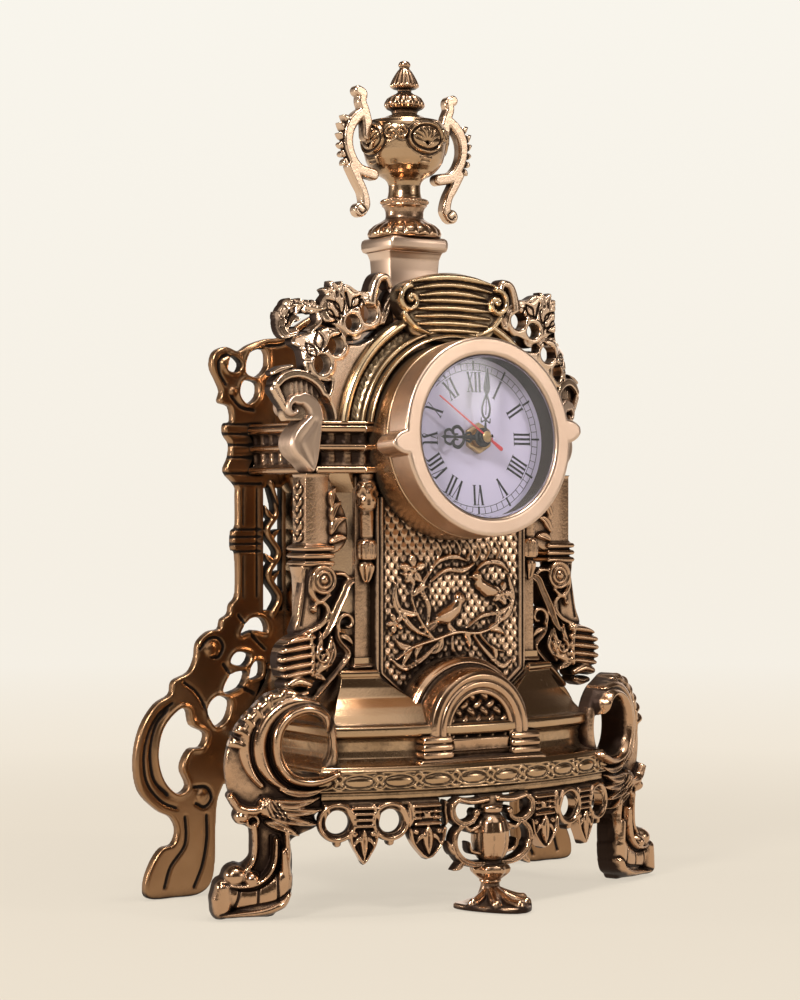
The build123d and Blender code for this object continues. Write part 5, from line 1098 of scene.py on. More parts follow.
def buildApron():
    sheet = Sheet(-80, -20, 18, 50, 0.28)
    sheet.shape([(-78, 46.2), (-26, 46.2), (-26, 49.2), (-78, 49.2)], 0.8, 1)
    for u in (-48.1, -71.4):
        sheet.ring(u, 40.2, 7.5, 2.6, 2.4, 0.2)
        sheet.ring(u, 40.2, 5.6, 1.5, 1.2, 0)
        sheet.ball(u, 31.2, 1.7, 2, 0.4, cut=True)
    for u in (-53.9, -65.8, -42.4):
        sheet.stroke([(u - 1.6, 47), (u, 43.6), (u + 1.4, 39.6)], [2.4, 3, 2], 2, 0.4)
    pointedDrop(sheet, -60, 6.6, 4.6, 21.5)
    pointedDrop(sheet, -31.2, 9, 6.4, 22.6)
    sheet.shape([(-36.4, 37.6), (-26, 37.6), (-26, 47.4), (-36.4, 47.4)], 1.4, 1)
    sheet.shape([(-34.6, 39.2), (-27.8, 39.2), (-27.8, 45.8), (-34.6, 45.8)], 0, 1)
    inner = sheet.field([(-34.4, 39.6), (-28, 39.6), (-28, 45.4), (-34.4, 45.4)], 1)
    sheet.high -= 1.3 * smoothStep(-inner, 0, 0.5)
    sheet.ball(-31.2, 42.5, 1.9, 1.4, 0.6)
    for u in (-76.5, -39.6, -22.6):
        sheet.leaf((u, 47.5), (u, 37), 4.2, 2, 0.1, 0.4)
    for u in (-48.1, -71.4):
        sheet.drill(u, 40.2, 5.1)
    return cast("apronCast", sheet, -2.2, 1, bowPlane(3), 0.7, mirror=True, gain=0.5)


footLook = {"y": -68.0}


def buildCentreFoot():
    sheet = Sheet(-25, 25, 9, 50, 0.28)
    sheet.shape([(-6.6, 49.4), (6.6, 49.4), (6.6, 43), (-6.6, 43)], 1.2, 1)
    bands = (
        ([(3, 47.4), (11, 46.8), (18, 48.2)], [3, 3, 2.6], 2.4, 0.6),
        ([(8, 36), (12, 34.6), (15, 36.6)], [2.2, 2.6, 2], 2.2, 0.5),
        ([(7, 24), (11.4, 25.4), (12.6, 29)], [2, 2.2, 1.4], 2, 0.5),
        ([(17.6, 48.4), (21.2, 45.4), (20.6, 40.6), (16.4, 37.6), (11, 38.4), (8.6, 41.6)],
         [2.4, 3.2, 3.4, 3.2, 2.8, 2.4], 2.8, 0.6, "rim"),
        ([(14.6, 37.6), (19.4, 33.6), (20.2, 27.6), (16.6, 22.2), (10.4, 19.6), (5, 19.4)],
         [2.4, 3, 3.4, 3.6, 3.2, 2.6], 2.8, 0.6, "rim"),
    )
    for side in (-1, 1):
        for path, *band in bands:
            sheet.stroke([(side * u, v) for u, v in path], *band)
        sheet.ball(side * 8.8, 42, 2, 2.4, 0.8, True)
        sheet.leaf((side * 18, 24), (side * 23.6, 30.6), 3.4, 2, 0.1, 0.4)
        sheet.leaf((side * 15.6, 21), (side * 20.6, 17.6), 3.2, 2, 0.1, 0.4)
    sheet.stroke([(-9, 34), (9, 34)], [3.2, 3.2], 1.6, 0.4, "flat")
    scroll = cast("hangingScrolls", sheet, -3, 0.6, facing(footLook["y"]), 0.8, gain=0.45)

    def vaseLeaves(angle, z, r):
        body = between(z, 21.5, 23, 38.5, 40)
        foot = 0.4 * np.cos(8 * angle) * smoothStep(z, 13, 14.4) * (1 - smoothStep(z, 18, 19))
        return 0.55 * np.abs(np.cos(4 * angle)) * body + foot

    place = (0, footLook["y"])
    vase = turned("hangingVase", [
        (0.4, 11.6), (4.4, 11.8), (6.4, 13.4), (8.4, 15.4), (8.8, 17), (8, 18.4), (5, 19.2), (4.8, 20.4), (6, 21.6),
        (7.2, 24.6), (8, 29), (8, 33.4), (7, 37.6), (5.2, 40.2), (4.4, 41.2), (5.4, 42), (5.6, 43.6), (5, 44.6),
        (0.4, 44.8),
    ], vaseLeaves, 120, place, 0.35)
    shaft = turned("footShaft", [
        (0.4, 4), (6.2, 4), (5.2, 6.4), (4.3, 9), (4.1, 10.6), (5, 11.4), (4.6, 12.4), (0.4, 12.6),
    ], None, 72, place, 0.35)
    # flared foot with a split toe
    sheet = Sheet(-19, 19, -27, 9, 0.3)
    sheet.shape(bothSides([
        (0, -24.4), (-3, -24), (-7.6, -20.4), (-12, -14), (-15.8, -6), (-17.2, 1), (-15.6, 5.6),
        (-9, 7.4), (0, 7.8),
    ]), 0.2, 4)
    for u, v in ((0, -22), (-8, -16.4), (8, -16.4), (-13.4, -6), (13.4, -6)):
        sheet.relief([(u * 0.18, v * 0.16), (u * 0.6, v * 0.6), (u, v)], [4.4, 5.2, 4.6], 2.6, 0.6)
    sheet.high += 5 * np.clip(1 - np.hypot(sheet.gridU / 13, (sheet.gridV + 2) / 14), 0, 1) ** 1.3

    def lying(local):
        return local + np.array([0, footLook["y"], 0])

    foot = cast("centreToe", sheet, 0.05, 2.4, lying, 1, gain=0.4)
    return [scroll, vase, shaft, foot]


scrollLegs = buildLeg()
aprons = buildApron()
centreFoot = buildCentreFoot()
print("legs, aprons and centre foot")


# back plate
def buildBack():
    sheet = Sheet(-126, 3, -1, 276, 0.5)
    half = [(0, 272), (-20, 269), (-36, 262), (-48, 254), (-57, 252.5), (-66, 249.5), (-71.5, 246.4), (-78, 248.2),
        (-84, 245.5), (-85.5, 239), (-82.6, 233), (-80.4, 228), (-81.4, 223), (-76, 221), (-75, 214.5),
        (-78.3, 213.2), (-78.5, 208.5), (-75.5, 204), (-76, 198), (-78.3, 191.4), (-72.4, 185), (-72, 180),
        (-72, 167), (-74.3, 164), (-74.4, 156), (-72.2, 153.6), (-72, 136), (-75.3, 131), (-76.4, 126.6),
        (-80, 124.2), (-81.4, 120), (-87, 118.8), (-92.4, 114), (-93.6, 107), (-97, 100.8), (-104.8, 97.2),
        (-106.6, 91.2), (-114, 87), (-121, 77), (-124.2, 63), (-122, 49), (-113, 39.8), (-106, 36), (-103.2, 30),
        (-105.4, 24), (-111, 22.4), (-116, 16), (-119.2, 7), (-117.4, 0.6), (-104, 0), (-92.6, 0.4), (-86, 5),
        (-83.8, 15), (-83.5, 30), (-82.5, 42), (-79.4, 49.4)]
    corners = np.vstack([smoothPath(half, 4), [(-40, 49), (0.5, 49), (8, 49), (8, 272)]])
    sheet.shape(corners, 0.4, 1)
    sheet.hole([(-103, 84), (-110.5, 76), (-113, 64), (-110, 53), (-103, 46.5), (-98, 50), (-101, 58), (-97, 66),
        (-91, 67), (-89, 73), (-96, 77), (-98, 84)], 4, 1.4)
    for points in ([(-71, 117), (-66, 124), (-59, 124), (-57, 118), (-64, 119)],
            [(-80, 91), (-76, 99), (-68, 100), (-71, 93)], [(-88, 84), (-83, 89.5), (-76, 87), (-78, 79),
            (-84, 76)], [(-67, 97), (-64, 104), (-60, 104), (-60.5, 98)], [(-76, 104.5), (-73, 109), (-66, 108),
            (-69, 103)], [(-77.5, 238), (-75.5, 244), (-71, 241), (-72.5, 237)], [(-68, 237), (-66, 245.5),
            (-58, 247.5), (-57, 240), (-62, 235)], [(-71, 227), (-69, 233), (-62, 232), (-62, 226), (-67, 222.5)]):
        sheet.hole(points, 4, 1.2)
    sheet.hole([(-58.8, 128), (-49.2, 128), (-49.2, 184), (-58.8, 184)], 1, 0.6)
    vine = [(-54, 126), (-50.5, 134), (-56.5, 144), (-51, 154), (-57, 164), (-52, 173), (-55, 186)]
    sheet.stroke(vine, [3.6, 3.4, 3.2, 3], 2, 0.2)
    for root, tip in (((-55, 140), (-50, 146)), ((-53, 150), (-58, 154)), ((-55, 160), (-50, 165)),
            ((-54, 170), (-58, 176))):
        sheet.leaf(root, tip, 3, 1.6, 0.1, 0.2)
    # engraved bands, capital and post lines
    for z in (213, 208.6, 203.6, 198, 190.6, 165, 161.6, 158.4, 155, 186):
        sheet.groove([(-79, z), (-60, z)], 0.9, 0.9, 0.7)
    sheet.groove([(-69.6, 184), (-69.6, 167)], 0.8, 0.7, 0.6)
    sheet.groove([(-69.6, 153), (-69.6, 134)], 0.8, 0.7, 0.6)
    sheet.groove([(-62.4, 184), (-62.4, 134)], 0.8, 0.7, 0.6)
    for line in ([(-72, 241.6), (-78, 244.4), (-82, 241.8), (-82, 236.4), (-78.6, 231)], [(-66, 246), (-57, 249.2),
            (-48, 250.6), (-36, 258.4)], [(-76, 226), (-71, 221), (-64, 219.6)], [(-92, 111), (-88, 115.4),
            (-83, 116), (-80, 112), (-82.4, 107.4), (-86.4, 107.6)],
            [(-100, 96.4), (-94, 92), (-90, 86), (-88, 80)], [(-106, 87.4), (-113.6, 82), (-118.6, 73),
            (-120.4, 63), (-118.6, 52), (-111.4, 43.6), (-104, 40.2)], [(-108.4, 84.6), (-114, 78.4), (-116.8, 70),
            (-117.2, 62), (-115, 53), (-108.6, 46.4)], [(-95, 49), (-88.6, 48.6), (-86, 43.6), (-89.4, 39.8),
            (-94, 41.6)], [(-99.6, 36), (-99, 28), (-100.4, 22), (-107, 14), (-110, 5)],
            [(-88.6, 36), (-88.4, 26), (-90.6, 14), (-95, 4)], [(-72, 126), (-64, 115.6), (-58, 110)],
            [(-80, 104), (-73, 95), (-64, 90)], [(-57, 185), (-50, 172)]):
        sheet.groove(line, 1.1, 1.1, 0.75)
    for u, v, r in ((-79.2, 240.4, 2.6), (-86.2, 110.6, 3.2), (-91, 45, 2.8), (-95, 78, 2.4), (-75, 228, 2)):
        sheet.ball(u, v, r, 1.6, 0.3)
    sheet.drill(0, archCentre, 42)
    # each half runs a little past the middle, where it thins and hides inside the other
    sheet.cutAt = 1.6
    flat = facing(28.1)

    def meeting(local):
        thinner = 1 - 0.14 * smoothStep(local[:, 0], 0, 1.2)
        return flat(np.column_stack([local[:, :2], (local[:, 2] + 2.7) * thinner - 2.7]))

    return cast("piercedBack", sheet, -4.9, -0.5, meeting, 1, mirror=True, gain=0.5)


# pedestal, abacus and urn
urnLook = {"gadroons": 16, "beads": 40, "medallions": 4, "lidLobes": 14, "flutes": 14}


def buildUrn():
    # the pedestal has hollowed sides and stands on a small plinth between the crests
    pedestal = squared("pedestalBlock", (0, 0), [
        (15.6, 11, 262), (15.6, 11, 271.4), (15, 10.4, 272.6), (14, 9.2, 274.6), (13.4, 8.8, 278), (13.3, 8.7, 284),
        (13.6, 9, 289), (14.4, 9.8, 291.8), (14.8, 10.2, 292.5),
    ], 0.9, 0.5)
    abacus = squared("abacusSlab", (0, 0), [
        (14.4, 12.6, 292.5), (15.4, 13.4, 293), (15.9, 13.9, 294.4), (16, 14, 296.6), (15.7, 13.7, 298.2),
        (14.8, 12.8, 299), (13.6, 11.6, 299.1),
    ], 2.4, 0.3)
    # each turned part stands on the one below: levels count from its own foot
    z, base, top, tip = 299.0, 317.5, 356.5, 367.0

    def gadroon(angle, h, r):
        lobe = np.abs(np.cos(angle * urnLook["gadroons"] / 2))
        beads = bell(h, z + 16.9, 0.75)
        body = between(h, z + 0.8, z + 2, z + 6.2, z + 8.2)
        return body * (0.9 * lobe ** 0.6 - 0.6) + beads * 0.45 * np.cos(angle * urnLook["beads"])

    foot = turned("urnFootCast", [
        (0.4, 0.05), (16, 0.1), (16.9, 0.8), (17.1, 2), (16.4, 4), (14.2, 6), (11, 7.8), (9.9, 8.6), (9, 9.2),
        (8.7, 10.4), (8.8, 12.4), (9.3, 14), (10, 14.8), (10.7, 15.2), (10.2, 15.8), (10.9, 16.4), (11, 17.6),
        (10.4, 18.2), (8.6, 18.5), (0.4, 18.5),
    ], gadroon, 320, step=0.35, low=z)

    # relief drawn flat and wrapped round the bowl: medallions with leaves, scroll ovals between,
    # small tablets below
    drawing = Sheet(-16, 16, 330, 354, 0.25)
    drawing.ball(0, 344, 8.6, 1.4, flat=0.68)
    drawing.relief(oval(0, 344, 9.4, 6.6), [1.3], 1.5, perSpan=3)
    drawing.groove(oval(0, 344, 10.6, 7.8), 0.9, 0.7)
    drawing.groove(oval(0, 344, 8.2, 5.4), 0.8, 0.9)
    for i in range(7):
        a = radians(200 - 36 * i)
        vein = [(0, 341), (3.4 * cos(a), 343.4 + 2.6 * sin(a)), (6.4 * cos(a), 345 + 3.4 * sin(a))]
        drawing.groove(vein, 0.75, 1.1)
    tablet = [(-3.4, 334.4), (3.4, 334.4), (3.4, 332.6), (-3.4, 332.6), (-3.4, 334.4)]
    drawing.relief(tablet, [0.8], 1, perSpan=1)
    for side in (-1, 1):
        turns = (90, 90 + side * 400, 20)
        drawing.relief(curl(side * 13.2, 345.6, 2.8, 0.8, *turns), [1.3, 1.1, 0.8], 1.3, perSpan=3)
        drawing.groove(curl(side * 13.2, 345.6, 3.8, 1.8, *turns), 0.6, 0.5)
    medallion = blur(drawing.high, 1, 1)

    def bowlRelief(angle, h, r):
        turn = ((angle / (2 * pi) * urnLook["medallions"] + 0.5) % 1.0 - 0.5) * 32.0
        u = np.clip(turn, -15.9, 15.9)
        value = sample(medallion, (u + 16) / drawing.pixel, (np.clip(h, 330, 353.9) - 330) / drawing.pixel)
        lines = 0.3 * bell(h, 328.6, 0.5) + 0.35 * bell(h, 353.6, 0.4)
        return value * between(h, 331, 333, 352, 353.4) * 0.9 + lines

    bowl = turned("urnBowlCast", [
        (0.4, 0.05), (8.2, 0.1), (7.8, 1.4), (7.45, 3.4), (7.4, 6), (8, 7.8), (9.2, 9.2), (11.4, 10.6), (14, 12.2),
        (16.2, 14.4), (17.9, 17.2), (18.9, 21), (19.4, 25), (19.6, 29), (19.3, 32), (18.4, 34), (17, 35),
        (16.8, 35.6), (13.6, 36.3), (10.6, 37), (8.8, 38), (7.2, 38.6), (6, 39), (0.4, 39),
    ], bowlRelief, 420, step=0.33, low=base)

    def lobes(angle, h, r):
        body = between(h, top + 2, top + 3.4, top + 7.6, top + 9.4)
        return body * (0.8 * np.abs(np.cos(angle * urnLook["lidLobes"] / 2)) - 0.6)

    lid = turned("urnLidCast", [
        (0.4, 0.05), (5.8, 0.1), (6, 1), (6.4, 1.8), (8.4, 2.8), (9.3, 4), (9.2, 5.4), (8, 7.4),
        (6, 8.8), (4.2, 9.6), (3.2, 10.4), (0.4, 10.5),
    ], lobes, 200, step=0.3, low=top)

    def fluted(angle, h, r):
        body = between(h, tip + 1.6, tip + 2.8, tip + 9, tip + 10.6)
        return body * (0.7 * np.abs(np.cos(angle * urnLook["flutes"] / 2)) - 0.55) * np.clip(r / 6.7, 0.3, 1)

    finial = turned("urnFinialCast", [
        (0.4, 0.05), (3.3, 0.1), (3.2, 1), (5.6, 1.6), (6.6, 2.4), (6.7, 3.2), (5.9, 5.2), (4.6, 7.6), (3.2, 9.8),
        (2.3, 10.9), (2.2, 11.3), (2.8, 12), (2.9, 12.8), (2.3, 13.9), (1.2, 14.4), (0.4, 14.5),
    ], fluted, 160, step=0.28, low=tip)

    sheet = Sheet(-41, -14, 305, 371, 0.26)
    for path, widths in (
        ([(-21.6, 345), (-21.6, 351), (-22.8, 356.4), (-24.4, 360.6), (-24, 364), (-26.2, 365.2)],
         [4.6, 5.4, 4.8, 4.6, 5, 5]),
        ([(-22.6, 356.6), (-27.4, 352.8), (-31.2, 347.4), (-31.8, 340.6), (-29.6, 334.2), (-25.4, 329.4),
          (-18, 327.6)], [4.4, 5.2, 5.6, 5, 4.8, 5.2, 5.4]),
        ([(-29.6, 330.4), (-26.6, 324.6), (-23.6, 319.4), (-22.4, 313.8), (-24, 310.6)], [5.4, 4.8, 4.4, 4.8, 4.6]),
    ):
        sheet.stroke(path, widths, 0.4, 0, "flat")
    sheet.ball(-25.4, 310.9, 3.3, 0.4, 0, True)
    sheet.groove([(-24.6, 313.2), (-22.6, 311.2), (-24.8, 309.4), (-26.6, 311)], 0.6, 0.7)
    for root, end, width in (
        ((-31, 350), (-34.6, 353.4), 3.4), ((-33, 346), (-36.4, 349.8), 3.4), ((-33.4, 342.6), (-36.8, 345), 3.2),
        ((-33.2, 339.2), (-36.4, 340), 3.2), ((-32.6, 336), (-35.6, 335.2), 3.2), ((-31.4, 333), (-34.2, 330.8), 3),
    ):
        sheet.leaf(root, end, width, 0.2, -0.1, -0.5)
    sheet.groove([(-32.4, 351), (-34.2, 346), (-34.2, 339), (-31.6, 332.4)], 0.7, 0.7)
    handles = cast("urnHandle", sheet, 0, 2.5, facing(0), 1.1, twoSided=True, mirror=True, gain=0.35)
    return pedestal, abacus, foot, bowl, lid, finial, handles


backPieces = buildBack()
pedestalBlock, abacusSlab, urnFootCast, urnBowlCast, urnLidCast, urnFinialCast, urnHandles = buildUrn()
print("back plate and urn")


# drum, bezel, glass, dial and hands, on an axis that leans back a little
dialLook = {
    "y": -56.9, "z": 205.7, "tilt": 4.0, "bezel": 44.1, "lugTurn": 4.0,
    "opening": 36.2, "face": 11.7, "depth": 14.9,
}


def dialPlane(local):
    a = radians(dialLook["tilt"])
    u, v, w = local.T
    return np.stack([u, dialLook["y"] + v * sin(a) - w * cos(a),
                     dialLook["z"] + v * cos(a) + w * sin(a)], 1)


def ringSkin(name, line, around=260, step=0.5, soften=1):
    # a ring about the dial's axis from a closed profile of radius and level
    loop = fineLine(line, step, soften, loop=True)
    a = np.linspace(0, tau, around, endpoint=False)[:, None]
    rows = np.stack([np.cos(a) * loop[:, 0], np.sin(a) * loop[:, 0], 0 * a + loop[:, 1]], -1)
    return skin(name, dialPlane(rows.reshape(-1, 3)).reshape(rows.shape), 0.2, caps=False, wrap=True)


def buildDrum():
    face, opening = dialLook["face"], dialLook["opening"]
    back = face - dialLook["depth"]
    drum = ringSkin("drumBody", [
        (44.1, back - 0.1), (44.3, back - 0.9), (44.2, back - 1.6), (43.6, back - 2), (43.9, back - 2.6),
        (44, back - 8), (44, -22.4), (40.2, -22.4), (40, back - 1), (41, back - 0.2), (43.4, back - 0.1),
    ], step=0.9)
    # ring with its two lugs, flat on its face with soft edges
    sheet = Sheet(-52, 52, -46, 46, 0.42)
    radius = np.hypot(sheet.gridU, sheet.gridV)
    sheet.edge = radius - dialLook["bezel"]
    a = radians(dialLook["lugTurn"])
    cu = sheet.gridU * cos(a) + sheet.gridV * sin(a)
    cv = -sheet.gridU * sin(a) + sheet.gridV * cos(a)
    for side in (-1, 1):
        reach = side * cu - 40.5
        half = 5.6 * np.clip(1 - np.clip(reach / 10.4, 0, 1) ** 2.4, 0, 1) ** 0.62
        lug = np.maximum(np.abs(cv) - np.maximum(half, 0.01), reach - 10.2)
        sheet.edge = np.minimum(sheet.edge, np.where(reach < -2, 9.0, lug))
    sheet.edge = np.maximum(sheet.edge, opening - radius)
    ring = cast("bezelCast", sheet, back, face, dialPlane, 1.5, gain=0.2)
    # a near-black ring over the bezel's inner wall behind the glass: painted shade, where that wall lies in shadow
    low, high, outer, inner = back + 0.2, face - 2.6, opening - 0.02, opening - 0.3
    wall = [(outer, low), (outer, high), (inner, high), (inner, low)]
    return drum, ring, ringSkin("bezelShadeRing", wall, 200, 0.8, soften=0)


glassLook = {"radius": 36.0, "rise": 2.2, "thick": 1.2, "setBack": 1.25}


def buildGlass():
    r, rise, thick = glassLook["radius"], glassLook["rise"], glassLook["thick"]
    level = dialLook["face"] - glassLook["setBack"]
    sphere = (r ** 2 + rise ** 2) / (2 * rise)
    outer = [(r * t, level + sqrt(sphere ** 2 - (r * t) ** 2) - sphere + rise) for t in np.linspace(0.012, 1, 30)]
    return ringSkin("watchGlass", outer + [(u, w - thick) for u, w in outer[::-1]], 200, 1.2, soften=0)


def buildDial():
    card = [(4.3, -0.55), (38.1, -0.55), (38.1, 0), (20, 0.02), (4.3, 0)]
    wall = [(38.2, 0.2), (38.2, 9.1), (36.5, 9.1), (36.5, 0.2)]
    return ringSkin("dialCard", card, 160, 1.5, soften=0), ringSkin("blackSleeve", wall, 200, 0.8, soften=0)


printLook = {
    "numerals": (20.6, 29.6),
    "thick": 1.0,
    "thin": 0.34,
    "serif": 0.3,
    "gap": 0.15,
    "widths": {"I": 1.9, "V": 3.9, "X": 3.9},
    "track": (30.5, 33.5),
    "line": 0.24,
}


def printedDial():
    # numerals and minute track as thin raised ink
    quads = []
    low, high = printLook["numerals"]
    thick, thin, serif = printLook["thick"], printLook["thin"], printLook["serif"]
    gap, track = printLook["gap"], printLook["line"]

    def bar(p, q, width, wideEnd=None):
        p, q = np.asarray(p, float), np.asarray(q, float)
        d = (q - p) / max(np.hypot(*(q - p)), 1e-6)
        n = np.array([-d[1], d[0]])
        wideEnd = width if wideEnd is None else wideEnd
        quads.append([p - n * width / 2, q - n * wideEnd / 2, q + n * wideEnd / 2, p + n * width / 2])

    for hour, text in enumerate(("XII", "I", "II", "III", "IIII", "V", "VI", "VII", "VIII", "IX", "X", "XI")):
        widths = [printLook["widths"][c] for c in text]
        at = -(sum(widths) + gap * (len(text) - 1)) / 2
        start = len(quads)
        for c, w in zip(text, widths):
            l, r = at, at + w
            m = (l + r) / 2
            down, up = low + serif / 2, high - serif / 2
            for bars in {
                "I": (((m, low), (m, high), thick), ((m - 0.9, down), (m + 0.9, down), serif),
                      ((m - 0.9, up), (m + 0.9, up), serif)),
                "V": (((l + 0.75, high), (m, low), thick), ((r - 0.6, high), (m, low), thin),
                      ((l, up), (l + 1.6, up), serif), ((r - 1.3, up), (r, up), serif)),
                "X": (((l + 0.75, high), (r - 0.75, low), thick), ((r - 0.6, high), (l + 0.6, low), thin),
                      ((l, down), (l + 1.5, down), serif), ((r - 1.5, down), (r, down), serif),
                      ((l, up), (l + 1.5, up), serif), ((r - 1.5, up), (r, up), serif)),
            }[c]:
                bar(*bars)
            at = r + gap
        turn = -radians(30 * hour)
        spin = np.array([[cos(turn), -sin(turn)], [sin(turn), cos(turn)]])
        for i in range(start, len(quads)):
            quads[i] = [spin @ q for q in quads[i]]
    inner, outer = printLook["track"]
    for radius in (inner, outer):
        for i in range(180):
            a0, a1 = 2 * pi * i / 180, 2 * pi * (i + 1) / 180
            quads.append([np.array([(radius + o) * sin(a), (radius + o) * cos(a)]) for o, a in
                          ((-track / 2, a0), (-track / 2, a1), (track / 2, a1), (track / 2, a0))])
    for minute in range(60):
        a = 2 * pi * minute / 60
        d = np.array([sin(a), cos(a)])
        if minute % 5:
            bar(d * inner, d * outer, track)
        else:
            bar(d * 30.2, d * 34.6, 0.8, 0.9)
    flat = np.array(quads).reshape(-1, 2)
    n = len(flat)
    points = np.vstack([np.column_stack([flat, np.full(n, level)]) for level in (0.09, -0.02)])
    b = 4 * np.arange(len(quads))[:, None]
    faces = [b + [0, 1, 2, 3], b + [n + 3, n + 2, n + 1, n]]
    faces += [b + [f, e, n + e, n + f] for e, f in ((0, 1), (1, 2), (2, 3), (3, 0))]
    return meshObject("dialInk", toScene(dialPlane(points)), np.stack(faces, 1).reshape(-1, 4))


handLook = {"hour": 270.4, "minute": 5.1, "second": 306.0}  # degrees from XII at rest


def buildHands():
    def turnedTo(degrees):
        a = radians(degrees)

        def mapping(local):
            u, v, w = local.T
            return dialPlane(np.stack([u * cos(a) + v * sin(a), -u * sin(a) + v * cos(a), w], 1))
        return mapping

    def cutOut(sheet, path, *widths, lift=0.2, perSpan=8):
        sheet.stroke(path, widths, lift, 0, "flat", perSpan=perSpan)

    hour = Sheet(-5.5, 5.5, -10, 24, 0.11)
    hour.ball(0, 0, 3.5, 0.25, 0, True)
    cutOut(hour, [(0, 2), (0, 8), (0, 11)], 3, 1.7, 1.5)
    for s in (-1, 1):
        cutOut(hour, [(0, 5.6), (s * 1.9, 6.8), (s * 1.5, 8.8), (0, 9.4)], 0.9, 1.2, 1.1, 0.8)
        cutOut(hour, [(0, 10.2), (s * 2.4, 10.6), (s * 4.5, 13), (s * 3.6, 15.6), (s * 1.3, 15.4), (s * 1.2, 13.4)],
               1.2, 1.4, 1.7, 1.5, 1.2, 0.8)
        cutOut(hour, [(s * 1.2, 15.6), (s * 3.2, 17.4), (s * 2.4, 19.8), (s * 0.4, 20.2)], 0.9, 1.3, 1.2, 0.9)
    cutOut(hour, [(0, 11), (0, 16), (0, 20)], 1.4, 1.1, 1.5)
    hour.shape([(-1.3, 19.8), (0, 22.4), (1.3, 19.8), (0, 19.2)], 0.2, 1, 0.4)
    hour.drill(0, 0, 1.9)
    hourPiece = cast("hourHandCut", hour, 5, 5.25, turnedTo(handLook["hour"]), 0.2)

    minute = Sheet(-5.5, 5.5, -10, 31.5, 0.11)
    minute.ball(0, 0, 2.7, 0.25, 0, True)
    cutOut(minute, [(0, 2), (0, 8.4)], 1.6, 0.8)
    for s in (-1, 1):
        cutOut(minute, [(0, 8), (s * 1.5, 9.4), (s * 2.1, 12.4), (s * 1.5, 15.4), (0, 19.6)], 0.8, 1.1, 1.1, 1, 0.8)
        cutOut(minute, [(s * 0.4, 7.6), (s * 2.2, 6.6), (s * 2.4, 8.4)], 0.6, 0.8, 0.5)
    cutOut(minute, [(0, 10), (0, 14), (0, 20)], 0.5, 0.5, 0.9)
    minute.shape([(-0.7, 19), (-1.8, 22.4), (-0.4, 30.2), (0, 30.6), (0.4, 30.2), (1.8, 22.4), (0.7, 19)],
        0.2, 2, 0.4)
    minute.drill(0, 0, 0.95)
    minutePiece = cast("minuteHandCut", minute, 6.8, 7.05, turnedTo(handLook["minute"]), 0.2)

    second = Sheet(-3, 3, -10, 31, 0.1)
    cutOut(second, [(0, -9), (0, -3), (0, 0)], 1.9, 1.2, 1, lift=0.12, perSpan=2)
    cutOut(second, [(0, 0), (0, 30)], 1, 0.7, lift=0.12, perSpan=2)
    secondPiece = cast("secondsHandCut", second, 8.4, 8.66, turnedTo(handLook["second"]), 0.15)

    capLine = [(0.05, 8.05), (1.9, 8.05), (1.9, 8.35), (2.5, 8.45), (2.6, 8.9), (2.3, 9.35), (1.4, 9.72),
        (0.05, 9.8)]
    collarLine = [(2.05, 4.68), (3.9, 4.72), (4.3, 4.95), (4.3, 5.9), (3.6, 6.3), (2.05, 6.3)]
    minuteLine = [(1.02, 6.5), (2.8, 6.5), (3.1, 6.8), (3.1, 7.4), (2.4, 7.8), (1.02, 7.8)]
    cap = ringSkin("handCap", capLine, 64, 0.2)
    collar = ringSkin("hourCollar", collarLine, 64, 0.25)
    minuteRing = ringSkin("minuteCollar", minuteLine, 64, 0.25)
    return hourPiece, minutePiece, secondPiece, cap, collar, minuteRing


nutLook = {
    "half": 6.0,
    "section": ((4.1, 0.55), (6.0, 0.52), (6.8, 0.55), (7.2, 0.8), (7.2, 2.3), (6.7, 2.62), (6.2, 2.7), (4.6, 2.7),
                (4.1, 2.5)),
}


def buildNut():
    # hexagon nut with turned-down corners over its washer
    a = np.linspace(0, tau, 96, endpoint=False)
    hexagon = nutLook["half"] / np.cos((a + pi / 6) % (pi / 3) - pi / 6)
    rows = []
    for radius, level in nutLook["section"]:
        r = np.minimum(hexagon, radius)
        rows.append(dialPlane(np.column_stack([r * np.cos(a), r * np.sin(a), np.full(len(a), level)])))
    return skin("nutCut", np.array(rows + rows[:1]), caps=False)


drumBody, bezelCast, bezelShadeRing = buildDrum()
watchGlass = buildGlass()
dialCard, blackSleeve = buildDial()
dialInk = printedDial()
hourHandCut, minuteHandCut, secondsHandCut, handCap, hourCollar, minuteCollar = buildHands()
nutCut = buildNut()
print("drum, dial and hands")


# finishes
def wire(tree, value, socket):
    # a link where the value is another socket, or else the plain value
    if hasattr(value, "is_output"):
        tree.links.new(value, socket)
    else:
        socket.default_value = value


def newGroup(name, inputs, *outputs):
    group = bpy.data.node_groups.new(name, "ShaderNodeTree")
    for label, value in inputs.items():
        socket = group.interface.new_socket(label, in_out="INPUT", socket_type="NodeSocketFloat")
        socket.default_value = value
    for label in outputs:
        group.interface.new_socket(label, in_out="OUTPUT", socket_type="NodeSocketFloat")
    given, out = group.nodes.new("NodeGroupInput"), group.nodes.new("NodeGroupOutput")
    return group, given.outputs, out.inputs


def mathNode(tree, kind, first, second=0.0, clamp=False):
    node = tree.nodes.new("ShaderNodeMath")
    node.operation = kind
    node.use_clamp = clamp
    wire(tree, first, node.inputs[0])
    wire(tree, second, node.inputs[1])
    return node.outputs[0]


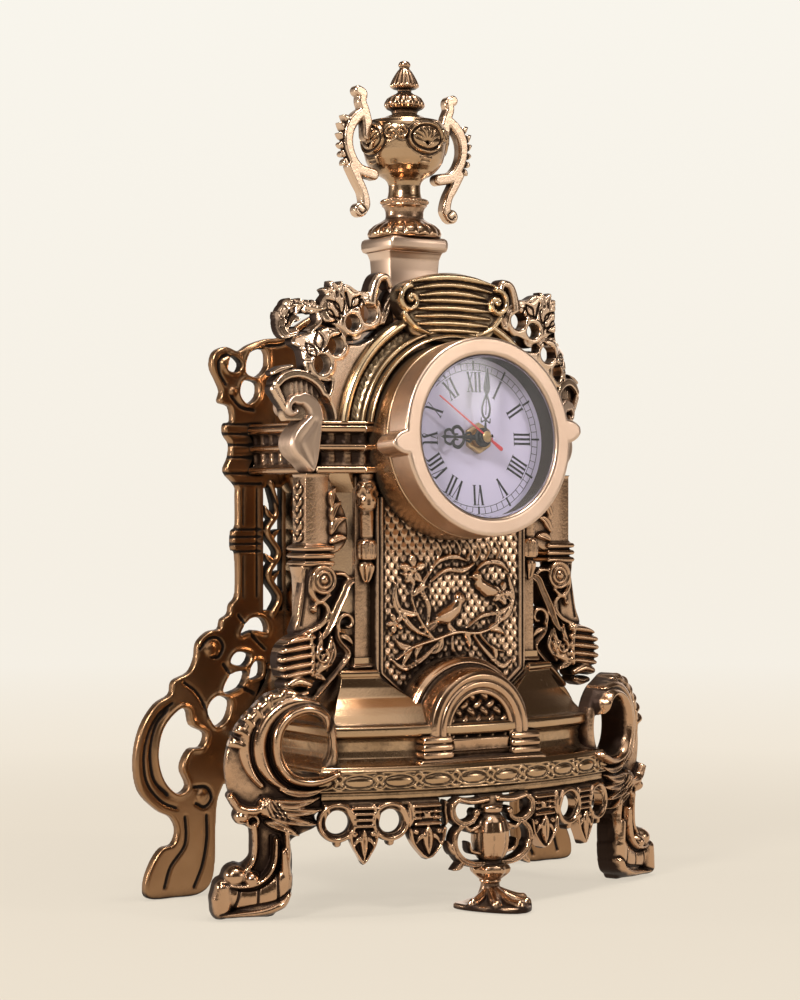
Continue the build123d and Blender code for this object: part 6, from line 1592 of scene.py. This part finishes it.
def noiseNode(tree, scale, detail=3.0, stretch=(1, 1, 1)):
    coords = tree.nodes.new("ShaderNodeTexCoord")
    mapping = tree.nodes.new("ShaderNodeMapping")
    mapping.inputs["Scale"].default_value = stretch
    tree.links.new(coords.outputs["Object"], mapping.inputs["Vector"])
    node = tree.nodes.new("ShaderNodeTexNoise")
    node.inputs["Detail"].default_value = detail
    tree.links.new(mapping.outputs["Vector"], node.inputs["Vector"])
    wire(tree, scale, node.inputs["Scale"])
    return node.outputs["Fac"]


def buildPatinaAndShade():
    # dark patina in the hollows, from the soil of each mesh and blotches, and painted shade in shut-in corners and
    # between pieces from ambient occlusion
    settings = {"Strength": 1.0, "Start": 0.3, "Blotches": 0.3, "Corners": 0.7}
    group, given, out = newGroup("recessPatinaAndShade", settings, "Mask", "Tone")
    soil = group.nodes.new("ShaderNodeAttribute")
    soil.attribute_name = "soil"
    # ambient occlusion darkens shut-in corners and the gaps between pieces: painted shade
    corner = group.nodes.new("ShaderNodeAmbientOcclusion")
    corner.samples = 6
    corner.inputs["Distance"].default_value = 0.007
    occlusionShade = mathNode(group, "SUBTRACT", 1.0, corner.outputs["AO"])
    occlusionShade = mathNode(group, "MULTIPLY", occlusionShade, given["Corners"])
    fine = noiseNode(group, 420.0, 4.0)
    broad = noiseNode(group, 60.0, 2.0)
    both = mathNode(group, "SUBTRACT", mathNode(group, "ADD", fine, broad), 1.0)
    both = mathNode(group, "MULTIPLY", both, given["Blotches"])
    total = mathNode(group, "ADD", mathNode(group, "ADD", soil.outputs["Fac"], occlusionShade), both)
    total = mathNode(group, "SUBTRACT", total, given["Start"])
    group.links.new(mathNode(group, "MULTIPLY", total, given["Strength"], True), out["Mask"])
    group.links.new(broad, out["Tone"])
    return group


def buildGrain():
    # fine pits and lumps of a sand casting
    group, given, out = newGroup("castGrain", {"Scale": 900.0, "Lumps": 0.4}, "Height")
    pits = noiseNode(group, given["Scale"], 4.0)
    lumps = mathNode(group, "MULTIPLY", noiseNode(group, 170.0, 2.0), given["Lumps"])
    group.links.new(mathNode(group, "ADD", pits, lumps), out["Height"])
    return group


def buildBrushing():
    # hairlines that run along X
    group, given, out = newGroup("brushedHairlines", {"Scale": 60.0, "Spread": 0.12}, "Height", "Roughness")
    lines = noiseNode(group, given["Scale"], 5.0, (1.0, 40.0, 40.0))
    cloud = noiseNode(group, 25.0, 2.0)
    group.links.new(lines, out["Height"])
    rough = [mathNode(group, "MULTIPLY", fac, given["Spread"]) for fac in (lines, cloud)]
    group.links.new(mathNode(group, "ADD", *rough), out["Roughness"])
    return group


def buildDust():
    # settled dust on faces that look up
    group, given, out = newGroup("settledDust", {"Amount": 0.1}, "Mask")
    shape = group.nodes.new("ShaderNodeNewGeometry")
    axes = group.nodes.new("ShaderNodeSeparateXYZ")
    group.links.new(shape.outputs["Normal"], axes.inputs["Vector"])
    up = mathNode(group, "MULTIPLY", mathNode(group, "SUBTRACT", axes.outputs["Z"], 0.5), 2.0, True)
    specks = mathNode(group, "MULTIPLY", up, noiseNode(group, 700.0, 3.0))
    group.links.new(mathNode(group, "MULTIPLY", specks, given["Amount"], True), out["Mask"])
    return group


patinaAndShade, grain, brushing, dust = buildPatinaAndShade(), buildGrain(), buildBrushing(), buildDust()


def placeGroup(tree, group, **values):
    node = tree.nodes.new("ShaderNodeGroup")
    node.node_tree = group
    for label, value in values.items():
        node.inputs[label].default_value = value
    return node.outputs


def newMaterial(name, colour, metallic=0.0, roughness=0.5):
    material = bpy.data.materials.new(name)
    material.use_nodes = True
    tree = material.node_tree
    shader = tree.nodes["Principled BSDF"]
    shader.inputs["Base Color"].default_value = (*colour, 1)
    shader.inputs["Metallic"].default_value = metallic
    shader.inputs["Roughness"].default_value = roughness
    material.diffuse_color = (*colour, 1)
    return material, tree, shader


def mixColour(tree, factor, first, second):
    node = tree.nodes.new("ShaderNodeMix")
    node.data_type = "RGBA"
    tree.links.new(factor, node.inputs[0])
    for socket, value in ((node.inputs[6], first), (node.inputs[7], second)):
        wire(tree, value if hasattr(value, "is_output") else (*value, 1), socket)
    return node.outputs[2]


def rangeNode(tree, value, low, high, fromLow=0.0, fromHigh=1.0, kind="LINEAR"):
    node = tree.nodes.new("ShaderNodeMapRange")
    node.interpolation_type = kind
    tree.links.new(value, node.inputs["Value"])
    for label, number in (("From Min", fromLow), ("From Max", fromHigh), ("To Min", low), ("To Max", high)):
        node.inputs[label].default_value = number
    return node.outputs["Result"]


def bump(tree, shader, height, strength, distance):
    node = tree.nodes.new("ShaderNodeBump")
    node.inputs["Strength"].default_value = strength
    node.inputs["Distance"].default_value = distance
    tree.links.new(height, node.inputs["Height"])
    tree.links.new(node.outputs["Normal"], shader.inputs["Normal"])


def showMixed(tree, amount, first, second):
    # the surface is the first shader, or the second where the amount is 1
    mix = tree.nodes.new("ShaderNodeMixShader")
    tree.links.new(amount, mix.inputs["Fac"])
    tree.links.new(first, mix.inputs[1])
    tree.links.new(second, mix.inputs[2])
    tree.links.new(mix.outputs["Shader"], tree.nodes["Material Output"].inputs["Surface"])


brassFinishes = {
    # bright and second tone of the high places, colour of the hollows, roughness high and low,
    # patina and painted shade: strength, start, blotches and corner shade from ambient occlusion, then the depth of
    # the grain in metres
    "castBrass": ((0.67, 0.44, 0.285), (0.45, 0.265, 0.15), (0.028, 0.013, 0.007), (0.17, 0.5),
                  3.1, 0.32, 0.38, 0.75, 0.00012),
    "hoodBrass": ((0.76, 0.565, 0.36), (0.60, 0.42, 0.24), (0.035, 0.018, 0.010), (0.2, 0.5),
                  2.6, 0.40, 0.34, 0.75, 0.0001),
    "crestBrass": ((0.80, 0.59, 0.43), (0.66, 0.45, 0.30), (0.028, 0.013, 0.007), (0.22, 0.5),
                   3.0, 0.40, 0.3, 0.7, 0.00008),
    "panelBrass": ((0.68, 0.46, 0.31), (0.48, 0.295, 0.175), (0.022, 0.011, 0.006), (0.19, 0.5),
                   3.0, 0.29, 0.4, 0.9, 0.00008),
    "baseBrass": ((0.58, 0.39, 0.24), (0.44, 0.275, 0.15), (0.030, 0.015, 0.008), (0.17, 0.45),
                  2.4, 0.36, 0.4, 0.85, 0.00008),
    # the back plate's brass is darker than the front's: its own darker patina, and painted shade for the shadow it
    # lies in behind the front
    "backBrass": ((0.42, 0.245, 0.13), (0.28, 0.15, 0.072), (0.012, 0.007, 0.005), (0.28, 0.6),
                  2.6, 0.33, 0.2, 0.7, 0.00006),
    "polishedBrass": ((0.78, 0.575, 0.44), (0.67, 0.475, 0.345), (0.10, 0.055, 0.035), (0.24, 0.42),
                      1.6, 0.40, 0.26, 0.6, 0.00006),
    "drumBrass": ((0.64, 0.43, 0.27), (0.50, 0.31, 0.18), (0.02, 0.011, 0.007), (0.18, 0.4),
                  1.7, 0.36, 0.35, 0.9, 0.00004),
    "plainBrass": ((0.56, 0.385, 0.20), (0.48, 0.32, 0.15), (0.08, 0.05, 0.02), (0.22, 0.4),
                   1.0, 0.45, 0.2, 0.5, 0.00003),
}
dustLook = {"amount": 0.12, "colour": (0.36, 0.27, 0.19)}


def brassMaterial(name, high, second, low, rough, strength, start, blotches, corners, depth):
    material, tree, shader = newMaterial(name, high, 1.0, rough[0])
    # the mask darkens the colour with patina in the hollows and with painted shade in shut-in corners
    mask = placeGroup(tree, patinaAndShade, Strength=strength, Start=start, Blotches=blotches, Corners=corners)
    colour = mixColour(tree, mask["Mask"], mixColour(tree, mask["Tone"], high, second), low)
    settled = placeGroup(tree, dust, Amount=dustLook["amount"])
    colour = mixColour(tree, settled["Mask"], colour, dustLook["colour"])
    tree.links.new(colour, shader.inputs["Base Color"])
    roughness = rangeNode(tree, mask["Mask"], *rough)
    if name in ("polishedBrass", "drumBrass", "plainBrass"):
        hairs = placeGroup(tree, brushing, Scale=60.0, Spread=0.10)
        roughness = mathNode(tree, "ADD", roughness, hairs["Roughness"])
        bump(tree, shader, hairs["Height"], 0.3, depth)
    else:
        bump(tree, shader, placeGroup(tree, grain, Scale=900.0, Lumps=0.5)["Height"], 0.5, depth)
    tree.links.new(roughness, shader.inputs["Roughness"])
    tree.links.new(rangeNode(tree, mask["Mask"], 1.0, 0.75), shader.inputs["Metallic"])
    return material


plainFinishes = {
    # colour, metallic, roughness, how much the colour and the roughness vary
    "steel": ((0.50, 0.50, 0.49), 1.0, 0.3, 0.1, 0.15),
    # near-black for the ring over the bezel's inner wall: painted shade where that wall lies in shadow
    "throatPatina": ((0.020, 0.011, 0.006), 0.0, 0.8, 0.3, 0.1),
    "blackSleeve": ((0.012, 0.012, 0.014), 0.0, 0.5, 0.2, 0.1),
    "blackRubber": ((0.02, 0.02, 0.02), 0.0, 0.75, 0.2, 0.1),
    "blackHands": ((0.005, 0.005, 0.006), 0.0, 0.5, 0.2, 0.1),
    "redHand": ((0.55, 0.03, 0.04), 0.0, 0.35, 0.1, 0.1),
    "ink": ((0.006, 0.006, 0.010), 0.0, 0.7, 0.2, 0.1),
    "blackPlastic": ((0.02, 0.02, 0.022), 0.0, 0.45, 0.2, 0.2),
    "whitePlastic": ((0.72, 0.72, 0.69), 0.0, 0.4, 0.05, 0.1),
    "magnet": ((0.14, 0.14, 0.15), 0.6, 0.5, 0.2, 0.1),
    "copperCoil": ((0.50, 0.18, 0.07), 0.8, 0.35, 0.2, 0.1),
    "board": ((0.02, 0.13, 0.05), 0.0, 0.4, 0.15, 0.1),
    "batterySkin": ((0.05, 0.055, 0.065), 0.2, 0.3, 0.15, 0.1),
}


def plainMaterial(name, colour, metallic, roughness, varied, roughVaried):
    material, tree, shader = newMaterial(name, colour, metallic, roughness)
    cloud = noiseNode(tree, 150.0, 3.0)
    darker = tuple(c * (1 - varied) for c in colour)
    tree.links.new(mixColour(tree, cloud, colour, darker), shader.inputs["Base Color"])
    spread = rangeNode(tree, cloud, roughness - roughVaried / 2, roughness + roughVaried / 2)
    tree.links.new(spread, shader.inputs["Roughness"])
    if name != "ink":
        bump(tree, shader, placeGroup(tree, grain, Scale=1500.0, Lumps=0.3)["Height"], 0.25, 0.00004)
    return material


cardLook = {"base": (0.62, 0.57, 0.77), "light": (0.64, 0.59, 0.79), "shade": (0.60, 0.55, 0.75)}


def dialMaterial():
    material, tree, shader = newMaterial("dialCardPaint", cardLook["base"], 0.0, 0.5)
    cloud = noiseNode(tree, 40.0, 3.0)
    tree.links.new(mixColour(tree, cloud, cardLook["light"], cardLook["shade"]), shader.inputs["Base Color"])
    bump(tree, shader, noiseNode(tree, 2500.0, 2.0), 0.15, 0.00002)
    return material


def glassMaterial():
    # lamps and daylight pass it, so the dial behind it isn't dark
    material, tree, shader = newMaterial("clearGlass", (1.0, 1.0, 1.0), 0.0, 0.0)
    shader.inputs["IOR"].default_value = 1.45
    shader.inputs["Transmission Weight"].default_value = 1.0
    tree.links.new(rangeNode(tree, noiseNode(tree, 30.0, 3.0), 0.0, 0.03), shader.inputs["Roughness"])
    rays = tree.nodes.new("ShaderNodeLightPath")
    through = mathNode(tree, "MAXIMUM", rays.outputs["Is Shadow Ray"], rays.outputs["Is Diffuse Ray"])
    clear = tree.nodes.new("ShaderNodeBsdfTransparent")
    showMixed(tree, through, shader.outputs["BSDF"], clear.outputs["BSDF"])
    return material


materials = {name: brassMaterial(name, *look) for name, look in brassFinishes.items()}
materials.update({name: plainMaterial(name, *look) for name, look in plainFinishes.items()})
materials["dialCard"] = dialMaterial()
materials["clearGlass"] = glassMaterial()
print("finishes")


# which piece is which part of the clock: pieces, finish, slot, the nodes that they replace, body
placed = (
    (bowBase, "baseBrass", "cast_brass", ["base_body"]),
    (archPieces, "castBrass", "cast_brass", ["arch_surround"]),
    (grilleWeave, "castBrass", "cast_brass", ["arch_grille"]),
    (fishScalePanel, "panelBrass", "cast_brass", ["relief_panel"]),
    (caseTrim, "castBrass", "cast_brass"),
    (hoodMoulding, "hoodBrass", "cast_brass", ["hood_arch"]),
    (pedimentCast, "hoodBrass", "cast_brass", ["pediment"]),
    (cornices, "castBrass", "cast_brass", ["cornice_left", "cornice_right"]),
    (crests, "crestBrass", "cast_brass", ["cresting_left", "cresting_right"]),
    (scrollBrackets, "polishedBrass", "polished_brass"),
    (sideFrames, "castBrass", "cast_brass", ["side_frame_left", "side_frame_right"]),
    (scrollLegs, "castBrass", "cast_brass", ["front_leg_left", "front_leg_right"]),
    (aprons, "castBrass", "cast_brass", ["apron_left", "apron_right"]),
    (centreFoot, "castBrass", "cast_brass", ["centre_foot"]),
    (backPieces, "backBrass", "back_brass", ["back_plate"]),
    (pedestalBlock, "polishedBrass", "polished_brass", ["pedestal"]),
    (abacusSlab, "polishedBrass", "polished_brass", ["abacus"]),
    (urnFootCast, "castBrass", "cast_brass", ["urn_foot"]),
    (urnBowlCast, "baseBrass", "cast_brass", ["urn_bowl"]),
    (urnLidCast, "castBrass", "cast_brass", ["urn_lid"]),
    (urnFinialCast, "castBrass", "cast_brass", ["urn_finial"]),
    (urnHandles, "crestBrass", "polished_brass", ["urn_handle_left", "urn_handle_right"]),
    (drumBody, "drumBrass", "plain_brass", ["drum"]),
    (bezelCast, "polishedBrass", "polished_brass", ["bezel_ring"]),
    (bezelShadeRing, "throatPatina", "plain_brass"),
    (watchGlass, "clearGlass", "clear_glass", ["dial_glass"]),
    (dialCard, "dialCard", "dial_card", ["dial"]),
    (blackSleeve, "blackSleeve", "black_sleeve", ["glass_retainer"]),
    (dialInk, "ink", "black_hands"),
    (nutCut, "plainBrass", "plain_brass", ["hex_nut", "nut_washer"]),
    (hourHandCut, "blackHands", "black_hands", ["hour_hand"], "hour_train"),
    (hourCollar, "blackHands", "black_hands", [], "hour_train"),
    (minuteHandCut, "blackHands", "black_hands", ["minute_hand"], "minute_train"),
    (minuteCollar, "blackHands", "black_hands", [], "minute_train"),
    (secondsHandCut, "redHand", "red_hand", ["seconds_hand"], "seconds_train"),
    (handCap, "plainBrass", "plain_brass", [], "seconds_train"),
)


def setPiece(pieces, finish, slot, names=(), body="clock"):
    pieces = pieces if isinstance(pieces, list) else [pieces]
    for piece in pieces:
        piece.data.materials.clear()
        piece.data.materials.append(materials[finish])
        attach(piece, body)
    if len(names) == len(pieces):
        for piece, name in zip(pieces, names):
            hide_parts(name)
    elif names:
        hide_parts(*names)


for row in placed:
    setPiece(*row)

slotFinish = {
    "cast_brass": "baseBrass", "back_brass": "backBrass", "polished_brass": "polishedBrass",
    "plain_brass": "plainBrass", "steel": "steel", "dial_card": "dialCard", "clear_glass": "clearGlass",
    "black_sleeve": "blackSleeve", "black_rubber": "blackRubber", "black_hands": "blackHands",
    "red_hand": "redHand", "black_plastic": "blackPlastic", "white_plastic": "whitePlastic", "magnet": "magnet",
    "copper_coil": "copperCoil", "board": "board", "battery_skin": "batterySkin",
}
slotOf = {part["node"]: part["material_slot"] for part in frame["record"]["subparts"]}
for name, piece in frame["nodes"].items():
    piece.data.materials.clear()
    piece.data.materials.append(materials[slotFinish[slotOf[name]]])
print("pieces placed")


# floor, backdrop, lamps and camera
stageLook = {
    "top": (0.95, 0.925, 0.855),
    "horizon": (0.915, 0.865, 0.775),
    "bottom": (0.86, 0.77, 0.64),
    "floorPaint": (0.5, 0.46, 0.39),
    "floorHalf": 6.0,
    "floorHeight": -0.0004,
}


def rayMask(tree):
    # camera and transmission rays, and glossy rays
    rays = tree.nodes.new("ShaderNodeLightPath").outputs
    return mathNode(tree, "MAXIMUM", rays["Is Camera Ray"], rays["Is Transmission Ray"]), rays["Is Glossy Ray"]


def buildFloor():
    mesh = bpy.data.meshes.new("floor")
    half, z = stageLook["floorHalf"], stageLook["floorHeight"]
    corners = [(u * half, v * half, z) for u, v in ((-1, -1), (1, -1), (1, 1), (-1, 1))]
    mesh.from_pydata(corners, [], [(0, 1, 2, 3)])
    floor = bpy.data.objects.new("floor", mesh)
    bpy.context.scene.collection.objects.link(floor)
    material, tree, shader = newMaterial("floorPaper", stageLook["floorPaint"], 0.0, 0.9)
    shader.inputs["Specular IOR Level"].default_value = 0.0
    shape = tree.nodes.new("ShaderNodeNewGeometry")
    length = tree.nodes.new("ShaderNodeVectorMath")
    length.operation = "LENGTH"
    tree.links.new(shape.outputs["Position"], length.inputs[0])
    away = length.outputs["Value"]
    glow = mixColour(tree, rangeNode(tree, away, 0.0, 1.0, 0.35, 1.6), stageLook["bottom"], stageLook["horizon"])
    plain = tree.nodes.new("ShaderNodeEmission")
    tree.links.new(glow, plain.inputs["Color"])
    both = mathNode(tree, "MAXIMUM", *rayMask(tree))
    amount = mathNode(tree, "MULTIPLY", both, rangeNode(tree, away, 0.72, 1.0, 0.15, 0.7))
    showMixed(tree, amount, shader.outputs["BSDF"], plain.outputs["Emission"])
    mesh.materials.append(material)


roomLook = {
    "dark": (0.075, 0.058, 0.044),
    "box": (1.0, 0.95, 0.90),
    "glow": ((0.20, 0.19, 0.18), (0.46, 0.45, 0.44)),  # from the left back to the right front
    # direction, sharp inside this angle, faded out at that angle, strength
    "boxes": [
        ((0.55, -0.83, 0.24), 6, 25, 0.80),
        ((0.52, -0.81, 0.285), 1.5, 8, 7.0),
        ((-0.1, -0.3, 0.95), 12, 36, 1.15),
        ((-0.86, -0.34, 0.42), 4, 20, 1.3),
        ((-0.62, 0.72, 0.22), 4, 24, 0.42),
        ((0.80, 0.45, 0.15), 8, 34, 0.6),
        ((0.55, 0.83, 0.10), 12, 44, 0.85),  # the pale backdrop behind the clock, as its metal and glass show it
    ],
}


def buildWorld():
    world = bpy.data.worlds.new("studio")
    world.use_nodes = True
    bpy.context.scene.world = world
    tree = world.node_tree
    back = tree.nodes["Background"]
    coords = tree.nodes.new("ShaderNodeTexCoord")
    axes = tree.nodes.new("ShaderNodeSeparateXYZ")
    tree.links.new(coords.outputs["Generated"], axes.inputs["Vector"])
    height = rangeNode(tree, axes.outputs["Z"], 0.0, 1.0, -0.02, 0.25)
    pale = mixColour(tree, height, stageLook["horizon"], stageLook["top"])
    # a dark room with soft boxes for the metal, and an even glow for what isn't metal
    total = None
    for axis, inner, outer, strength in roomLook["boxes"]:
        towards = tree.nodes.new("ShaderNodeVectorMath")
        towards.operation = "DOT_PRODUCT"
        tree.links.new(coords.outputs["Generated"], towards.inputs[0])
        size = sqrt(sum(c * c for c in axis))
        towards.inputs[1].default_value = tuple(c / size for c in axis)
        spot = rangeNode(tree, towards.outputs["Value"], 0.0, strength, cos(radians(outer)), cos(radians(inner)),
                         "SMOOTHSTEP")
        total = spot if total is None else mathNode(tree, "ADD", total, spot)
    shade = mixColour(tree, total, roomLook["dark"], roomLook["box"])
    shade.node.clamp_factor = False
    seen, glossy = rayMask(tree)
    lean = [mathNode(tree, "MULTIPLY", axes.outputs[axis], share) for axis, share in (("X", 0.4), ("Y", -0.6))]
    lean = rangeNode(tree, mathNode(tree, "ADD", *lean), 0.0, 1.0, -0.6, 0.8)
    light = mixColour(tree, glossy, mixColour(tree, lean, *roomLook["glow"]), shade)
    tree.links.new(mixColour(tree, seen, light, pale), back.inputs["Color"])
    back.inputs["Strength"].default_value = 1.0


lampLook = {
    # place, width, power, colour; all aim at the middle of the clock
    "rightFront": ((0.80, -1.15, 0.80), 0.17, 7.0, (1.0, 0.97, 0.93)),
    "leftHigh": ((-1.15, -0.55, 1.05), 0.3, 16.0, (1.0, 0.97, 0.93)),
    "above": ((0.05, -0.1, 1.5), 0.4, 12.5, (1.0, 0.97, 0.94)),
    "leftEdge": ((-1.2, 0.75, 0.35), 0.2, 6.0, (1.0, 0.95, 0.9)),
}
lampAim = (0, 0, 0.2)


def buildLamps():
    for name, (place, width, power, colour) in lampLook.items():
        lamp = bpy.data.lights.new(name, "AREA")
        lamp.shape = "ELLIPSE"
        lamp.size = lamp.size_y = width
        lamp.energy = power
        lamp.color = colour
        holder = bpy.data.objects.new(name, lamp)
        holder.location = place
        holder.rotation_euler = (Vector(lampAim) - Vector(place)).to_track_quat("-Z", "Y").to_euler()
        # on metal and glass, a soft box of the room stands for this lamp
        holder.visible_glossy = holder.visible_transmission = name != "rightFront"
        bpy.context.scene.collection.objects.link(holder)


cameraLook = {"place": (-0.6292, -0.9178, 0.1785), "turn": -33.5, "lens": 88.5, "film": 36}


def buildCamera():
    camera = bpy.data.cameras.new("camera")
    camera.lens = cameraLook["lens"]
    camera.sensor_width = cameraLook["film"]
    holder = bpy.data.objects.new("camera", camera)
    holder.location = cameraLook["place"]
    holder.rotation_euler = (pi / 2, 0, radians(cameraLook["turn"]))
    bpy.context.scene.collection.objects.link(holder)
    bpy.context.scene.camera = holder


buildFloor()
buildWorld()
buildLamps()
buildCamera()
bpy.context.scene.view_settings.view_transform = "Standard"
print("stage, lamps and camera")
